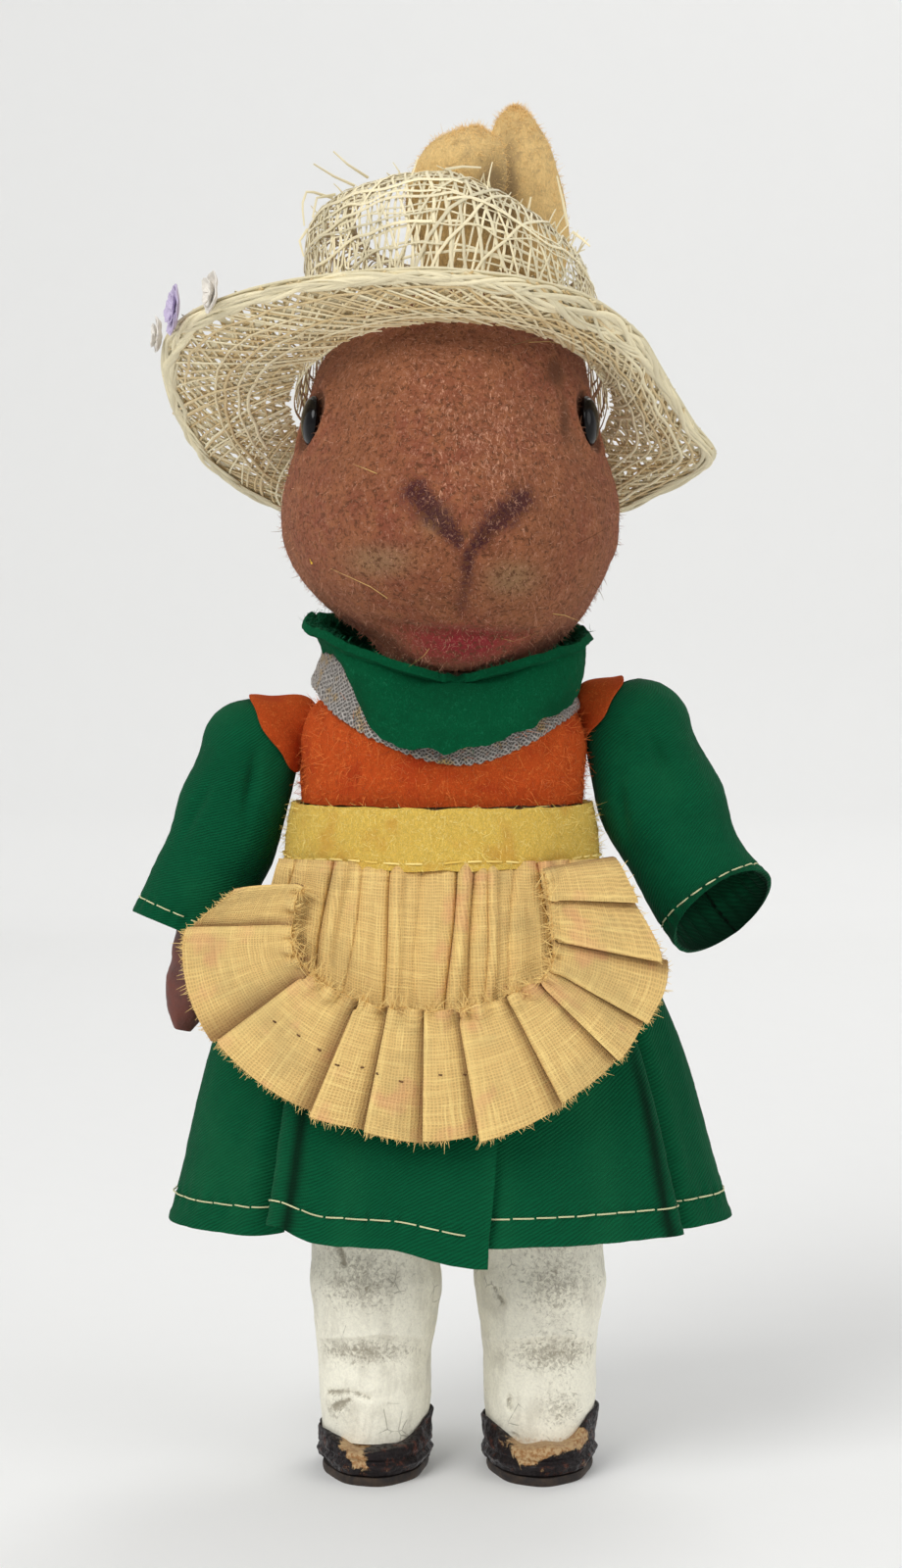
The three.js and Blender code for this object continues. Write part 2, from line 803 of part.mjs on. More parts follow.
// Neck ribbon: a braid band laid on the bodice, low in front and high on the shoulders
const ribbonSteps = 36;

function ribbonSurface(turn, row) {
  const front = ((1 + Math.cos(turn * fullTurn)) / 2) ** 2;
  const rowOf = (z) => rowAt(torsoForm, z);
  const low = THREE.MathUtils.lerp(rowOf(ribbonSideLow), rowOf(ribbonFrontLow), front);
  const frontHigh = ribbonFrontLow + ribbonWidth;
  const high = THREE.MathUtils.lerp(rowOf(ribbonSideHigh), rowOf(frontHigh), front);
  return torsoForm(turn, THREE.MathUtils.lerp(low, high, row));
}

function makeRibbon() {
  const band = wallOn(ribbonSurface, {
    gap: 2 * layerGap + feltThickness,
    thickness: braidThickness,
    around: ribbonSteps,
    levels: 2,
  });
  add(bodyGroup, 'neck_ribbon', band, 'braid');
}
makeRibbon();

// Collar: a ragged felt ring that cups the jaw at the sides and falls in front
const collarFallShares = roundThrough([
  [-170, -0.3],
  [-118, -0.46],
  [-80, -0.36],
  [-52, -0.16],
  [-38, 0.62],
  [-22, 0.94],
  [0, 1],
  [22, 0.82],
  [45, 0.5],
  [70, 0.2],
  [100, -0.16],
  [140, -0.28],
]);
const collarFlareShares = roundThrough([
  [-170, 0.74],
  [-118, 1],
  [-88, 0.84],
  [-62, 0.46],
  [-30, 0.08],
  [0, 0],
  [30, 0.08],
  [62, 0.42],
  [88, 0.66],
  [115, 0.84],
  [150, 0.72],
]);
const collarSteps = 40;
const collarLevels = 3;
const flareEase = 0.6;

function collarSurface(turn, row) {
  const degrees = turn * 360;
  const angle = turn * fullTurn;
  const flare = collarFlareShares(degrees);
  const topRadius = THREE.MathUtils.lerp(collarInnerRadius, collarTipRadius, flare ** flareEase);
  const topZ = headBase - layerGap - feltThickness + collarFlareHeight * flare;
  const lowZ = headBase - collarFallHeight * collarFallShares(degrees) - feltThickness;
  const bulge = Math.sin(row * Math.PI) * (1 - flare) * collarBulgeDepth;
  const radius = THREE.MathUtils.lerp(collarOuterRadius, topRadius, row) + bulge;
  const z = THREE.MathUtils.lerp(Math.min(lowZ, topZ - feltThickness), topZ, row);
  return new THREE.Vector3(radius * Math.sin(angle), -radius * Math.cos(angle), z);
}

function makeCollar() {
  const ring = wallOn(collarSurface, {
    thickness: feltThickness,
    around: collarSteps,
    levels: collarLevels,
  });
  add(bodyGroup, 'felt_collar', ring, 'greenFelt');
}
makeCollar();

// Arms: sleeve, wire and hand, each drawn along a line from the shoulder down
const sleeveSteps = 18;
const headRings = 4;

// A ring across a line that runs in the XZ plane, square to its direction.
function armRing({ centre, lean, halfWidth, halfDepth, tilt = 0 }, steps) {
  const angle = THREE.MathUtils.degToRad(lean);
  const down = new THREE.Vector3(Math.sin(angle), 0, -Math.cos(angle));
  const side = new THREE.Vector3(Math.cos(angle), 0, Math.sin(angle));
  return Array.from({ length: steps }, (unused, i) => {
    const turn = (fullTurn * i) / steps;
    const point = centre.clone().addScaledVector(side, halfWidth * Math.sin(turn));
    point.y -= halfDepth * Math.cos(turn);
    return point.addScaledVector(down, -tilt * Math.cos(turn));
  });
}

// Stations of a sleeve: [share of its length, lean in degrees, width share, depth share, tilt share].
const rightSleeveShares = [
  [0.2, -14, 0.02, 0.02, 0],
  [0.5, -19, 0.4, 0.4, 0],
  [0.8, -21, 0.8, 0.8, 0],
  [1, -22, 1, 1, 0.1],
];
const leftSleeveShares = [
  [0.2, 14, 0.3, 0.1, 0],
  [0.5, 20, 1, 0.6, 0],
  [0.8, 29, 1.06, 0.9, 0.1],
  [1, 38, 1.08, 1, 0.3],
];

function sleeveRings(shoulder, radius, length, shares, inset) {
  const rings = [];
  for (let i = 1; i <= headRings; i += 1) {
    const polar = (Math.PI / 2) * (i / headRings);
    const reach = (radius - inset) * Math.sin(polar);
    const centre = shoulder.clone();
    centre.z += (radius - inset) * Math.cos(polar);
    rings.push(
      armRing({ centre, lean: 0, halfWidth: reach, halfDepth: reach }, sleeveSteps),
    );
  }
  const centre = shoulder.clone();
  let walked = 0;
  for (const [share, lean, wide, deep, tilt] of shares) {
    const angle = THREE.MathUtils.degToRad(lean);
    const step = (share - walked) * length;
    centre.add(new THREE.Vector3(Math.sin(angle) * step, 0, -Math.cos(angle) * step));
    walked = share;
    rings.push(
      armRing(
        {
          centre: centre.clone(),
          lean,
          halfWidth: THREE.MathUtils.lerp(radius, cuffHalfWidth, wide) - inset,
          halfDepth: THREE.MathUtils.lerp(radius, cuffHalfDepth, deep) - inset,
          tilt: tilt * cuffHalfDepth,
        },
        sleeveSteps,
      ),
    );
  }
  return rings;
}

// The slot that lets the sleeve head turn over the shoulder wire, on its inner upper side.
function wireSlot(shoulder, radius, inward) {
  const shape = new THREE.Shape();
  const reach = radius + cutOverrun;
  const below = wireRadius + layerGap;
  const slope = (leftShoulder.z - rightShoulder.z) / (leftShoulder.x - rightShoulder.x);
  shape.moveTo(0, -below);
  shape.lineTo(inward * reach, inward * reach * slope - below);
  shape.lineTo(inward * reach, reach);
  shape.lineTo(inward * wireElbowReach, reach);
  shape.lineTo(0, 0);
  const width = 2 * (wireRadius + layerGap);
  const geometry = new THREE.ExtrudeGeometry(shape, { depth: width, bevelEnabled: false });
  geometry.rotateX(Math.PI / 2);
  const place = [shoulder.x, shoulder.y + width / 2, shoulder.z];
  return facingOut(indexed(geometry)).translate(...place);
}

function indexed(geometry) {
  const bare = new THREE.BufferGeometry();
  bare.setAttribute('position', geometry.getAttribute('position'));
  return mergeVertices(bare, weldDistance);
}

function sleeveSolid(shoulder, radius, length, shares, inward) {
  const outer = sleeveRings(shoulder, radius, length, shares, 0);
  const inner = sleeveRings(shoulder, radius, length, shares, twillThickness);
  const mouth = outer[outer.length - 1];
  const away = middleOf(mouth).sub(middleOf(outer[outer.length - 2])).normalize();
  const past = inner[inner.length - 1].map((point) =>
    point.clone().addScaledVector(away, cutOverrun),
  );
  return cut(loft(outer), loft([...inner, past]), wireSlot(shoulder, radius, inward));
}

// An arm drawn along the straight line of its wire, from a start that is a length down it.
const armShares = [
  [0, 0.72],
  [0.12, 0.9],
  [0.4, 1],
  [0.7, 0.95],
  [0.88, 0.74],
  [1, 0.34],
];
const armSteps = 12;
const rightArmLean = -14;
const leftArmLean = 20;

function makeArm({ side, group, shoulder, radius, length, shares, lean, armStart, armLength }) {
  const angle = THREE.MathUtils.degToRad(lean);
  const down = new THREE.Vector3(Math.sin(angle), 0, -Math.cos(angle));
  const at = (distance) => shoulder.clone().addScaledVector(down, distance);
  const wireStart = wireRadius + wireElbowReach;
  const wireEnd = Math.min(armStart + armLength / 2, wireStart + armWireLength);
  const rings = armShares.map(([share, wide]) =>
    armRing(
      {
        centre: at(armStart + armLength * share),
        lean,
        halfWidth: armHalfWidth * wide,
        halfDepth: armHalfWidth * wide,
      },
      armSteps,
    ),
  );
  const bore = rod(at(armStart - cutOverrun), at(wireEnd + fitGap), wireRadius + fitGap);
  add(group, `${side}_arm`, cut(loft(rings), bore), 'hand');
  add(group, `${side}_arm_wire`, rod(at(wireStart), at(wireEnd), wireRadius), 'iron');
  const inward = side === 'left' ? -1 : 1;
  add(group, `${side}_sleeve`, sleeveSolid(shoulder, radius, length, shares, inward), 'twill');
}

makeArm({
  side: 'right',
  group: rightArmGroup,
  shoulder: rightShoulder,
  radius: rightSleeveRadius,
  length: rightSleeveLength,
  shares: rightSleeveShares,
  lean: rightArmLean,
  armStart: rightArmStart,
  armLength: rightArmLength,
});
makeArm({
  side: 'left',
  group: leftArmGroup,
  shoulder: leftShoulder,
  radius: leftSleeveRadius,
  length: leftSleeveLength,
  shares: leftSleeveShares,
  lean: leftArmLean,
  armStart: leftArmStart,
  armLength: leftArmLength,
});

// Head: two pressed shells round a hollow, seated on the neck
const headShares = [
  [0, 0.36, 0.36, 0.36, 0.37],
  [0.033, 0.4, 0.52, 0.5, 0.43],
  [0.082, 0.5, 0.66, 0.61, 0.57],
  [0.132, 0.66, 0.77, 0.71, 0.71],
  [0.181, 0.79, 0.845, 0.8, 0.81],
  [0.23, 0.89, 0.905, 0.88, 0.875],
  [0.304, 0.975, 0.975, 0.96, 0.94],
  [0.375, 1, 0.99, 1, 0.98],
  [0.449, 0.99, 0.975, 0.99, 1],
  [0.547, 0.92, 0.905, 0.93, 1],
  [0.621, 0.87, 0.86, 0.87, 0.987],
  [0.742, 0.79, 0.8, 0.76, 0.914],
  [0.816, 0.68, 0.735, 0.655, 0.815],
  [0.909, 0.48, 0.52, 0.46, 0.58],
  [0.97, 0.28, 0.3, 0.26, 0.34],
  [1, 0.1, 0.1, 0.08, 0.1],
];
const headLevels = 15;
const cavityLevels = 8;
const cavitySteps = 16;
const domeLevels = 5;
const headForm = form(headShares, {
  x: 0,
  y: 0,
  base: headBase,
  height: headHeight,
  left: headHalfWidth,
  right: headHalfWidth,
  front: muzzleReach,
  back: napeReach,
});

// Where the head's side lies at the eyes.
function sideOfHead(sign) {
  const row = rowAt(headForm, headBase + eyeHeight);
  const turn = sign * halved(0, 1 / 2, (place) => headForm(place, row).y < -eyeForwardReach);
  return { point: headForm(turn, row), normal: normalOf(headForm, turn, row) };
}

function makeHead() {
  const outer = fill(headForm, 0, 1, roundSteps, headLevels);
  const cavity = fill(raised(headForm, -headWall), 0, 1, cavitySteps, cavityLevels);
  const neckHole = rod(
    new THREE.Vector3(0, 0, headBase - cutOverrun),
    new THREE.Vector3(0, 0, neckTop + neckPegReach + fitGap),
    neckPegRadius + fitGap,
    roundSteps,
  );
  const tools = [cavity, neckHole];
  for (const [side, sign] of [['right', -1], ['left', 1]]) {
    const { point, normal } = sideOfHead(sign);
    const seat = point.clone().addScaledVector(normal, -eyeRecessDepth);
    const outside = point.clone().addScaledVector(normal, cutOverrun);
    tools.push(rod(seat, outside, eyeRadius + fitGap, roundSteps));
    const pinEnd = seat.clone().addScaledVector(normal, -eyePinLength);
    tools.push(rod(pinEnd, seat, eyePinRadius + fitGap));
    const eyeBase = seat.clone().addScaledVector(normal, fitGap);
    const turn = new THREE.Quaternion();
    turn.setFromUnitVectors(new THREE.Vector3(0, 1, 0), normal);
    add(headGroup, `${side}_eye`, domeSolid(eyeBase, turn), 'bead');
    add(headGroup, `${side}_eye_pin`, rod(pinEnd, seat, eyePinRadius), 'iron');
  }
  const shell = cut(outer, ...tools);
  const reach = muzzleReach + napeReach + headHeight;
  const low = new THREE.Vector3(-reach, -reach, headBase - reach);
  const high = new THREE.Vector3(reach, reach, headBase + reach);
  const frontRoom = boxBetween(low, high.clone().setY(headSeam - fitGap / 2));
  const backRoom = boxBetween(low.clone().setY(headSeam + fitGap / 2), high);
  add(headGroup, 'head_front_shell', common(shell, frontRoom), 'flock');
  add(headGroup, 'head_back_shell', common(shell, backRoom), 'flock');
}

function domeSolid(base, turn) {
  const rings = Array.from({ length: domeLevels }, (unused, k) => {
    const polar = (Math.PI / 2) * (k / domeLevels);
    return Array.from({ length: roundSteps }, (none, i) => {
      const angle = (fullTurn * i) / roundSteps;
      const reach = eyeRadius * Math.cos(polar);
      const point = new THREE.Vector3(reach * Math.sin(angle), 0, reach * Math.cos(angle));
      point.y = eyeBulgeHeight * Math.sin(polar);
      return point.applyQuaternion(turn).add(base);
    });
  });
  return loft(rings);
}
makeHead();

// Ears: stuffed plush, seated on the top of the head
const leftEarShares = [
  [0, 0.6, 0.7, 0],
  [0.18, 0.84, 0.95, 0.02],
  [0.36, 1, 1, 0.04],
  [0.6, 0.96, 0.96, 0],
  [0.8, 0.78, 0.8, -0.06],
  [0.92, 0.52, 0.58, -0.09],
  [0.98, 0.28, 0.3, -0.1],
  [1, 0.1, 0.12, -0.1],
];
const rightEarShares = [
  [0, 0.6, 0.7, 0],
  [0.3, 0.85, 0.95, -0.12],
  [0.55, 1, 1, -0.2],
  [0.76, 0.98, 1, -0.16],
  [0.9, 0.72, 0.76, -0.08],
  [0.98, 0.36, 0.4, 0],
  [1, 0.1, 0.12, 0.02],
];
const earSteps = 14;

function makeEar({ name, seat, length, width, lean, shares }) {
  const base = headBase + headHeight - earSeatDrop;
  const rings = shares.map(([height, wide, deep, shift]) =>
    Array.from({ length: earSteps }, (unused, i) => {
      const angle = (fullTurn * i) / earSteps;
      return new THREE.Vector3(
        seat.x + width * shift + (width / 2) * wide * Math.sin(angle),
        seat.y - lean * height - (earThickness / 2) * deep * Math.cos(angle),
        base + length * height,
      );
    }),
  );
  const headRoom = fill(raised(headForm, fitGap), 0, 1, roundSteps, headLevels);
  add(headGroup, name, cut(loft(rings), headRoom), 'plush');
}
makeEar({
  name: 'left_ear',
  seat: leftEarSeat,
  length: leftEarLength + earSeatDrop,
  width: leftEarWidth,
  lean: 0,
  shares: leftEarShares,
});
makeEar({
  name: 'right_ear',
  seat: rightEarSeat,
  length: rightEarLength + earSeatDrop,
  width: rightEarWidth,
  lean: rightEarLeanReach,
  shares: rightEarShares,
});

// Hat: straw net crown and brim that meet along a head line tilted back
const headLine = headBase + headLineHeight;

function headLinePoint(degrees, grow) {
  const angle = THREE.MathUtils.degToRad(degrees);
  return new THREE.Vector3(
    (headLineHalfWidth + grow) * Math.sin(angle),
    -(headLineHalfDepth + grow) * Math.cos(angle),
    headLine + headLineFrontHeight * Math.cos(angle),
  );
}

// Crown rows: [share of the way up, left, right, front, back, right-hand drop, rise by tilt].
const crownShares = [
  [0, 1, 1, 1, 1, 0, 1],
  [0.3, 0.99, 0.97, 0.98, 1, 0.02, 0.88],
  [0.6, 0.98, 0.94, 0.94, 0.98, 0.1, 0.74],
  [0.85, 0.97, 0.9, 0.86, 0.94, 0.2, 0.6],
  [1, 0.84, 0.86, 0.74, 0.86, 0.24, 0.5],
  [1.02, 0.6, 0.83, 0.5, 0.76, 0.24, 0.5],
];
const crownAround = 32;
const crownLevels = 6;
const brimAround = 40;
const brimLevels = 4;

function crownSurface(turn, row) {
  const last = crownShares.length - 1;
  const column = (k) => through(crownShares.map((line, i) => [i / last, line[k]]))(row);
  const degrees = turn * 360;
  const angle = turn * fullTurn;
  const across = Math.sin(angle);
  const along = -Math.cos(angle);
  const wide = across < 0 ? column(1) : column(2);
  const deep = along < 0 ? column(3) : column(4);
  const foot = headLinePoint(degrees, 0);
  const tilted = headLineFrontHeight * Math.cos(angle) * (column(6) - 1);
  const drop = crownHeight * column(5) * (across > 0 ? across : 0);
  return new THREE.Vector3(
    foot.x * wide,
    foot.y * deep,
    foot.z + crownHeight * column(0) + tilted - drop,
  );
}

// Brim's outer edge at each angle: [degrees, share of its reach, share of its rise].
const brimEdgeShares = [
  [0, 1, 1],
  [28, 1, 0.86],
  [50, 0.96, 0.594],
  [72, 0.93, 0.242],
  [88, 1, -0.121],
  [102, 1.1, -0.424],
  [120, 1.02, -0.739],
  [140, 0.98, -0.933],
  [160, 1, -1.03],
  [182, 1, -1.067],
  [205, 1, -0.97],
  [225, 1, -0.752],
  [245, 1, -0.388],
  [262, 1, 0],
  [278, 1.02, 0.388],
  [296, 1.03, 0.679],
  [318, 1, 0.885],
  [340, 1, 0.982],
];
const brimReachShare = roundThrough(brimEdgeShares.map(([degrees, reach]) => [degrees, reach]));
const brimRiseShare = roundThrough(brimEdgeShares.map(([degrees, reach, rise]) => [degrees, rise]));

function brimSurface(turn, row) {
  const degrees = turn * 360;
  const angle = turn * fullTurn;
  const across = Math.sin(angle);
  const along = -Math.cos(angle);
  const reach = brimReachShare(degrees);
  const reachX = (across < 0 ? brimRightReach : brimLeftReach) * reach;
  const reachY = (along < 0 ? brimFrontReach : brimBackReach) * reach;
  const foot = headLinePoint(degrees, strawThickness + layerGap);
  const edge = new THREE.Vector3(
    reachX * across,
    reachY * along,
    headLine + brimFrontHeight * brimRiseShare(degrees),
  );
  const point = foot.clone().lerp(edge, row);
  point.z -= Math.sin(row * Math.PI) * brimSagDepth;
  return point;
}

function makeHat() {
  const crown = wallOn(crownSurface, {
    gap: 0,
    thickness: strawThickness,
    around: crownAround,
    levels: crownLevels,
  });
  const brim = wallOn(brimSurface, {
    thickness: strawThickness,
    around: brimAround,
    levels: brimLevels,
  });
  add(headGroup, 'hat_crown', crown, 'straw');
  add(headGroup, 'hat_brim', brim, 'straw');
}
makeHat();

// Blossoms stitched to the outside of the brim's rim
const lilacTurn = 0.822;
const whiteTurn = 0.858;
const budTurn = 0.79;
const petalSteps = 4;
const blossomBackShare = 0.6;
const blossomFrontShare = 0.55;
const lilacNotchShare = 0.3;
const whiteNotchShare = 0.4;
const budNotchShare = 0.25;

// A small puffed flower that stands against the rim: its outline swells at each petal.
function blossom(turn, petals, radius, notchShare) {
  const rim = brimSurface(turn, 1);
  const facing = rim.clone().sub(brimSurface(turn, 0)).setZ(0).normalize();
  const seat = rim.clone().addScaledVector(facing, blossomGap);
  seat.z += radius / 2;
  const spin = new THREE.Quaternion();
  spin.setFromUnitVectors(new THREE.Vector3(0, 0, 1), facing);
  const steps = petals * petalSteps;
  const ring = (height, size) =>
    Array.from({ length: steps }, (unused, i) => {
      const angle = (fullTurn * i) / steps;
      const reach = size * (1 - (notchShare * (1 - Math.cos(angle * petals))) / 2);
      const point = new THREE.Vector3(reach * Math.cos(angle), reach * Math.sin(angle), height);
      return point.applyQuaternion(spin).add(seat);
    });
  const middle = blossomThickness / 2;
  return loft([
    ring(0, radius * blossomBackShare),
    ring(middle, radius),
    ring(blossomThickness, radius * blossomFrontShare),
  ]);
}

function makeBlossoms() {
  const lilac = blossom(lilacTurn, 5, blossomRadius, lilacNotchShare);
  const white = blossom(whiteTurn, 4, smallBlossomRadius, whiteNotchShare);
  const bud = blossom(budTurn, 3, smallBlossomRadius, budNotchShare);
  add(headGroup, 'lilac_flower', lilac, 'lilac');
  add(headGroup, 'white_flower', white, 'white');
  add(headGroup, 'flower_bud', bud, 'white');
}
makeBlossoms();

// The origin stands on the ground, in the middle of the toy's own box.
const extent = new THREE.Box3().setFromObject(toy, true);
const boxMiddle = extent.getCenter(new THREE.Vector3());
toy.position.set(-boxMiddle.x, -boxMiddle.y, 0);

export default toy;
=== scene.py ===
"""The looks of a small dressed rabbit toy that stands on its own shoes.

Lengths are in millimetres inside the surfaces and become metres when a mesh is laid. The toy
stands on Z = 0 and faces -Y, and its own left side is +X.
"""

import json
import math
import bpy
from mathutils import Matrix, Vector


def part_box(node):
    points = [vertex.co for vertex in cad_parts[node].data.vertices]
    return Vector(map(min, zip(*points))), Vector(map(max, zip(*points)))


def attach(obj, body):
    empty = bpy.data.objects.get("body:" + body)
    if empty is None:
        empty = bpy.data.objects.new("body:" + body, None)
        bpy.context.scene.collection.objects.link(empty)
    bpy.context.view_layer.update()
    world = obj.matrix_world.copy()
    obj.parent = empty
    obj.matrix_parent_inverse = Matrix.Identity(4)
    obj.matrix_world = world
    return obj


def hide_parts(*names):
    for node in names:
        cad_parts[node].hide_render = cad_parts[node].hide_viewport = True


bl_info = {
    "name": "Dressed Rabbit Toy",
    "version": (1, 0, 0),
    "blender": (4, 5, 0),
    "location": "View3D > Sidebar > Rabbit Toy",
    "description": "Builds the flock, plush, straw, felt, cloth and paint of a dressed toy rabbit",
    "category": "Add Mesh",
}

import bpy
import numpy as np
from mathutils import Vector, noise

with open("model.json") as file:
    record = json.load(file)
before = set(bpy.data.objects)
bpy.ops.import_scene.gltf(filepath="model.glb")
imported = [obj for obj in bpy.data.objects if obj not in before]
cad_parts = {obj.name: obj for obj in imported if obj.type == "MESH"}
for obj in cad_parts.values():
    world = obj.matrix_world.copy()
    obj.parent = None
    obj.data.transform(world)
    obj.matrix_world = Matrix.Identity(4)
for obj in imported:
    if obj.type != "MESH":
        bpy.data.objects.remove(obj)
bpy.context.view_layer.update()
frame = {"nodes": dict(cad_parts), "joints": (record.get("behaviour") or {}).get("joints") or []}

MM = 0.001
TURN = 2 * math.pi

# Places read from the frame, in millimetres
PIVOTS = {joint["name"]: np.array(joint["pos_m"]) / MM for joint in frame["joints"]}
NECK = PIVOTS["neck_turn"]
RIGHT_SHOULDER = PIVOTS["right_shoulder"]
LEFT_SHOULDER = PIVOTS["left_shoulder"]
HEAD_BASE = NECK[2]


def node_box(name):
    """The lowest and highest corner of a frame node, in millimetres."""
    low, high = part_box(name)
    return np.array(low) / MM, np.array(high) / MM


def srgb(red, green, blue):
    """A colour written as 0 to 255 on a screen, as the linear value that a shader takes."""
    screen = np.array([red, green, blue]) / 255
    linear = np.where(screen <= 0.04045, screen / 12.92, ((screen + 0.055) / 1.055) ** 2.4)
    return tuple(float(part) for part in linear)


def shade(colour, share):
    """The same colour, darker below a share of 1 and lighter above it."""
    return tuple(min(part * share, 1.0) for part in colour[:3])


def tinted(colour):
    return (*colour[:3], 1.0)


# Curves through given values


def through(pairs):
    """A smooth line through (place, value) pairs that stand in rising order of place."""
    places = np.array([pair[0] for pair in pairs], float)
    values = np.array([pair[1] for pair in pairs], float)
    before = np.maximum(np.arange(len(places)) - 1, 0)
    after = np.minimum(np.arange(len(places)) + 1, len(places) - 1)
    slopes = (values[after] - values[before]) / (places[after] - places[before])

    def line(at):
        at = np.clip(at, places[0], places[-1])
        i = np.clip(np.searchsorted(places, at, side="right") - 1, 0, len(places) - 2)
        span = places[i + 1] - places[i]
        t = (at - places[i]) / span
        start = (2 * t**3 - 3 * t**2 + 1) * values[i] + (t**3 - 2 * t**2 + t) * span * slopes[i]
        end = (3 * t**2 - 2 * t**3) * values[i + 1] + (t**3 - t**2) * span * slopes[i + 1]
        return start + end

    return line


def round_through(pairs):
    """A smooth closed line through (degrees, value) pairs."""
    before = [(angle - 360, value) for angle, value in pairs[-2:]]
    after = [(angle + 360, value) for angle, value in pairs[:2]]
    line = through([*before, *pairs, *after])
    first = pairs[0][0]
    return lambda degrees: line(np.mod(degrees - first, 360) + first)


def smooth_step(low, high, value):
    t = np.clip((value - low) / (high - low), 0, 1)
    return t * t * (3 - 2 * t)


def hill(x, centre, width):
    return np.exp(-(((x - centre) / width) ** 2))


def spots(x, z, places):
    """Soft spots, each at a place across and up, so wide and so tall."""
    return sum(hill(x, across, wide) * hill(z, up, tall) for across, up, wide, tall in places)


def stacked(x, y, z):
    x, y, z = np.broadcast_arrays(x, y, z)
    return np.stack([x, y, z], axis=-1)


def ripple(points, scale, seed=0.0):
    """Smooth noise from -1 to 1 at points in millimetres, at so many waves per millimetre."""
    offset = Vector((seed, seed * 1.7, seed * 2.3))
    flat = points.reshape(-1, 3)
    values = [noise.noise(Vector(point) * scale + offset) for point in flat]
    return np.array(values).reshape(points.shape[:-1])


def columns(rows, places=None):
    """A smooth line through each column of a table, whose rows are evenly spaced from 0 to 1."""
    places = np.linspace(0, 1, len(rows)) if places is None else places
    return [through(list(zip(places, column))) for column in zip(*rows)]


def form(rows, x, y, base, height, half_width, front, back):
    """A lofted form: each row is (height, left, right, front, back) as shares of its sizes.

    Left of the form is -X. The first number runs once round from the front.
    """
    lines = columns(rows)

    def surface(turn, row):
        angle = TURN * turn
        across, along = np.sin(angle), -np.cos(angle)
        high, left, right, forwards, backwards = (line(row) for line in lines)
        reach_x = np.where(across < 0, left, right) * half_width
        reach_y = np.where(along < 0, forwards * front, backwards * back)
        return stacked(x + reach_x * across, y + reach_y * along, base + high * height)

    return surface


def unit(ways):
    """The same ways with a length of 1."""
    return ways / np.maximum(np.linalg.norm(ways, axis=-1, keepdims=True), 1e-9)


def normals_of(surface, turn, row, step=0.002):
    along_turn = surface(turn + step, row) - surface(turn - step, row)
    low, high = np.maximum(row - step, 0), np.minimum(row + step, 1)
    along_row = surface(turn, high) - surface(turn, low)
    return unit(np.cross(along_turn, along_row))


def rows_at(surface, heights):
    """The rows of a rising surface at some heights."""
    rows = np.linspace(0, 1, 400)
    found = surface(np.zeros(400), rows)[:, 2]
    return np.interp(heights, found, rows)


# Meshes


def clear_selection():
    if bpy.context.object and bpy.context.object.mode != "OBJECT":
        bpy.ops.object.mode_set(mode="OBJECT")
    bpy.ops.object.select_all(action="DESELECT")


def only(piece):
    clear_selection()
    piece.select_set(True)
    bpy.context.view_layer.objects.active = piece


def read_corners(piece, key):
    values = np.empty(len(piece.data.vertices) * 3, np.float32)
    piece.data.vertices.foreach_get(key, values)
    return values.reshape(-1, 3).astype(float)


def corners_of(piece):
    return read_corners(piece, "co")


def ways_of(piece):
    """The way that a piece faces at each corner."""
    return read_corners(piece, "normal")


def set_corners(piece, places):
    piece.data.vertices.foreach_set("co", np.asarray(places, np.float32).ravel())
    piece.data.update()


def set_share(piece, name, values):
    """A number at each corner, which a material reads by its name."""
    kept = piece.data.attributes.get(name) or piece.data.attributes.new(name, "FLOAT", "POINT")
    kept.data.foreach_set("value", np.asarray(values, np.float32))


def set_thread(piece, places):
    """The place of each corner on its flat cloth, in millimetres."""
    kept = piece.data.attributes.new("thread", "FLOAT_VECTOR", "POINT")
    flat = np.zeros((len(places), 3), np.float32)
    flat[:, :2] = places
    kept.data.foreach_set("vector", flat.ravel())


def lay_grid(name, across, down, place, cut=(1, 1), wrap=False):
    """A grid primitive laid on a surface: place(u, v) gives millimetres, and cut is its flat size."""
    clear_selection()
    bpy.ops.mesh.primitive_grid_add(x_subdivisions=across, y_subdivisions=down, size=1)
    piece = bpy.context.object
    piece.name = piece.data.name = name
    flat = corners_of(piece)[:, :2] + 0.5
    set_corners(piece, place(flat[:, 0], flat[:, 1]) * MM)
    set_thread(piece, flat * np.array(cut))
    if wrap:
        turn_outwards(piece, merge=True)
    return piece


def turn_outwards(piece, merge=False, close=False):
    """Points all faces away from the inside, once doubles are merged or open ends are filled."""
    only(piece)
    bpy.ops.object.mode_set(mode="EDIT")
    bpy.ops.mesh.select_all(action="SELECT")
    if merge:
        bpy.ops.mesh.remove_doubles(threshold=1e-6)
    if close:
        bpy.ops.mesh.fill_holes(sides=0)
    bpy.ops.mesh.normals_make_consistent(inside=False)
    bpy.ops.object.mode_set(mode="OBJECT")


def finish_modifier(piece, kind, **settings):
    only(piece)
    modifier = piece.modifiers.new(kind.title(), kind)
    for key, value in settings.items():
        setattr(modifier, key, value)
    bpy.ops.object.modifier_apply(modifier=modifier.name)


def thicken(piece, thickness, outwards=True):
    """Gives a sheet its wall, in millimetres."""
    side = 1 if outwards else -1
    finish_modifier(piece, "SOLIDIFY", thickness=thickness * MM, offset=side, use_even_offset=False)


def new_piece(name, places, faces, tones):
    """A piece from its corners in millimetres, with a tone at each corner."""
    mesh = bpy.data.meshes.new(name)
    mesh.from_pydata((places * MM).tolist(), [], faces)
    piece = bpy.data.objects.new(name, mesh)
    bpy.context.scene.collection.objects.link(piece)
    set_share(piece, "tone", tones)
    turn_outwards(piece)
    return piece


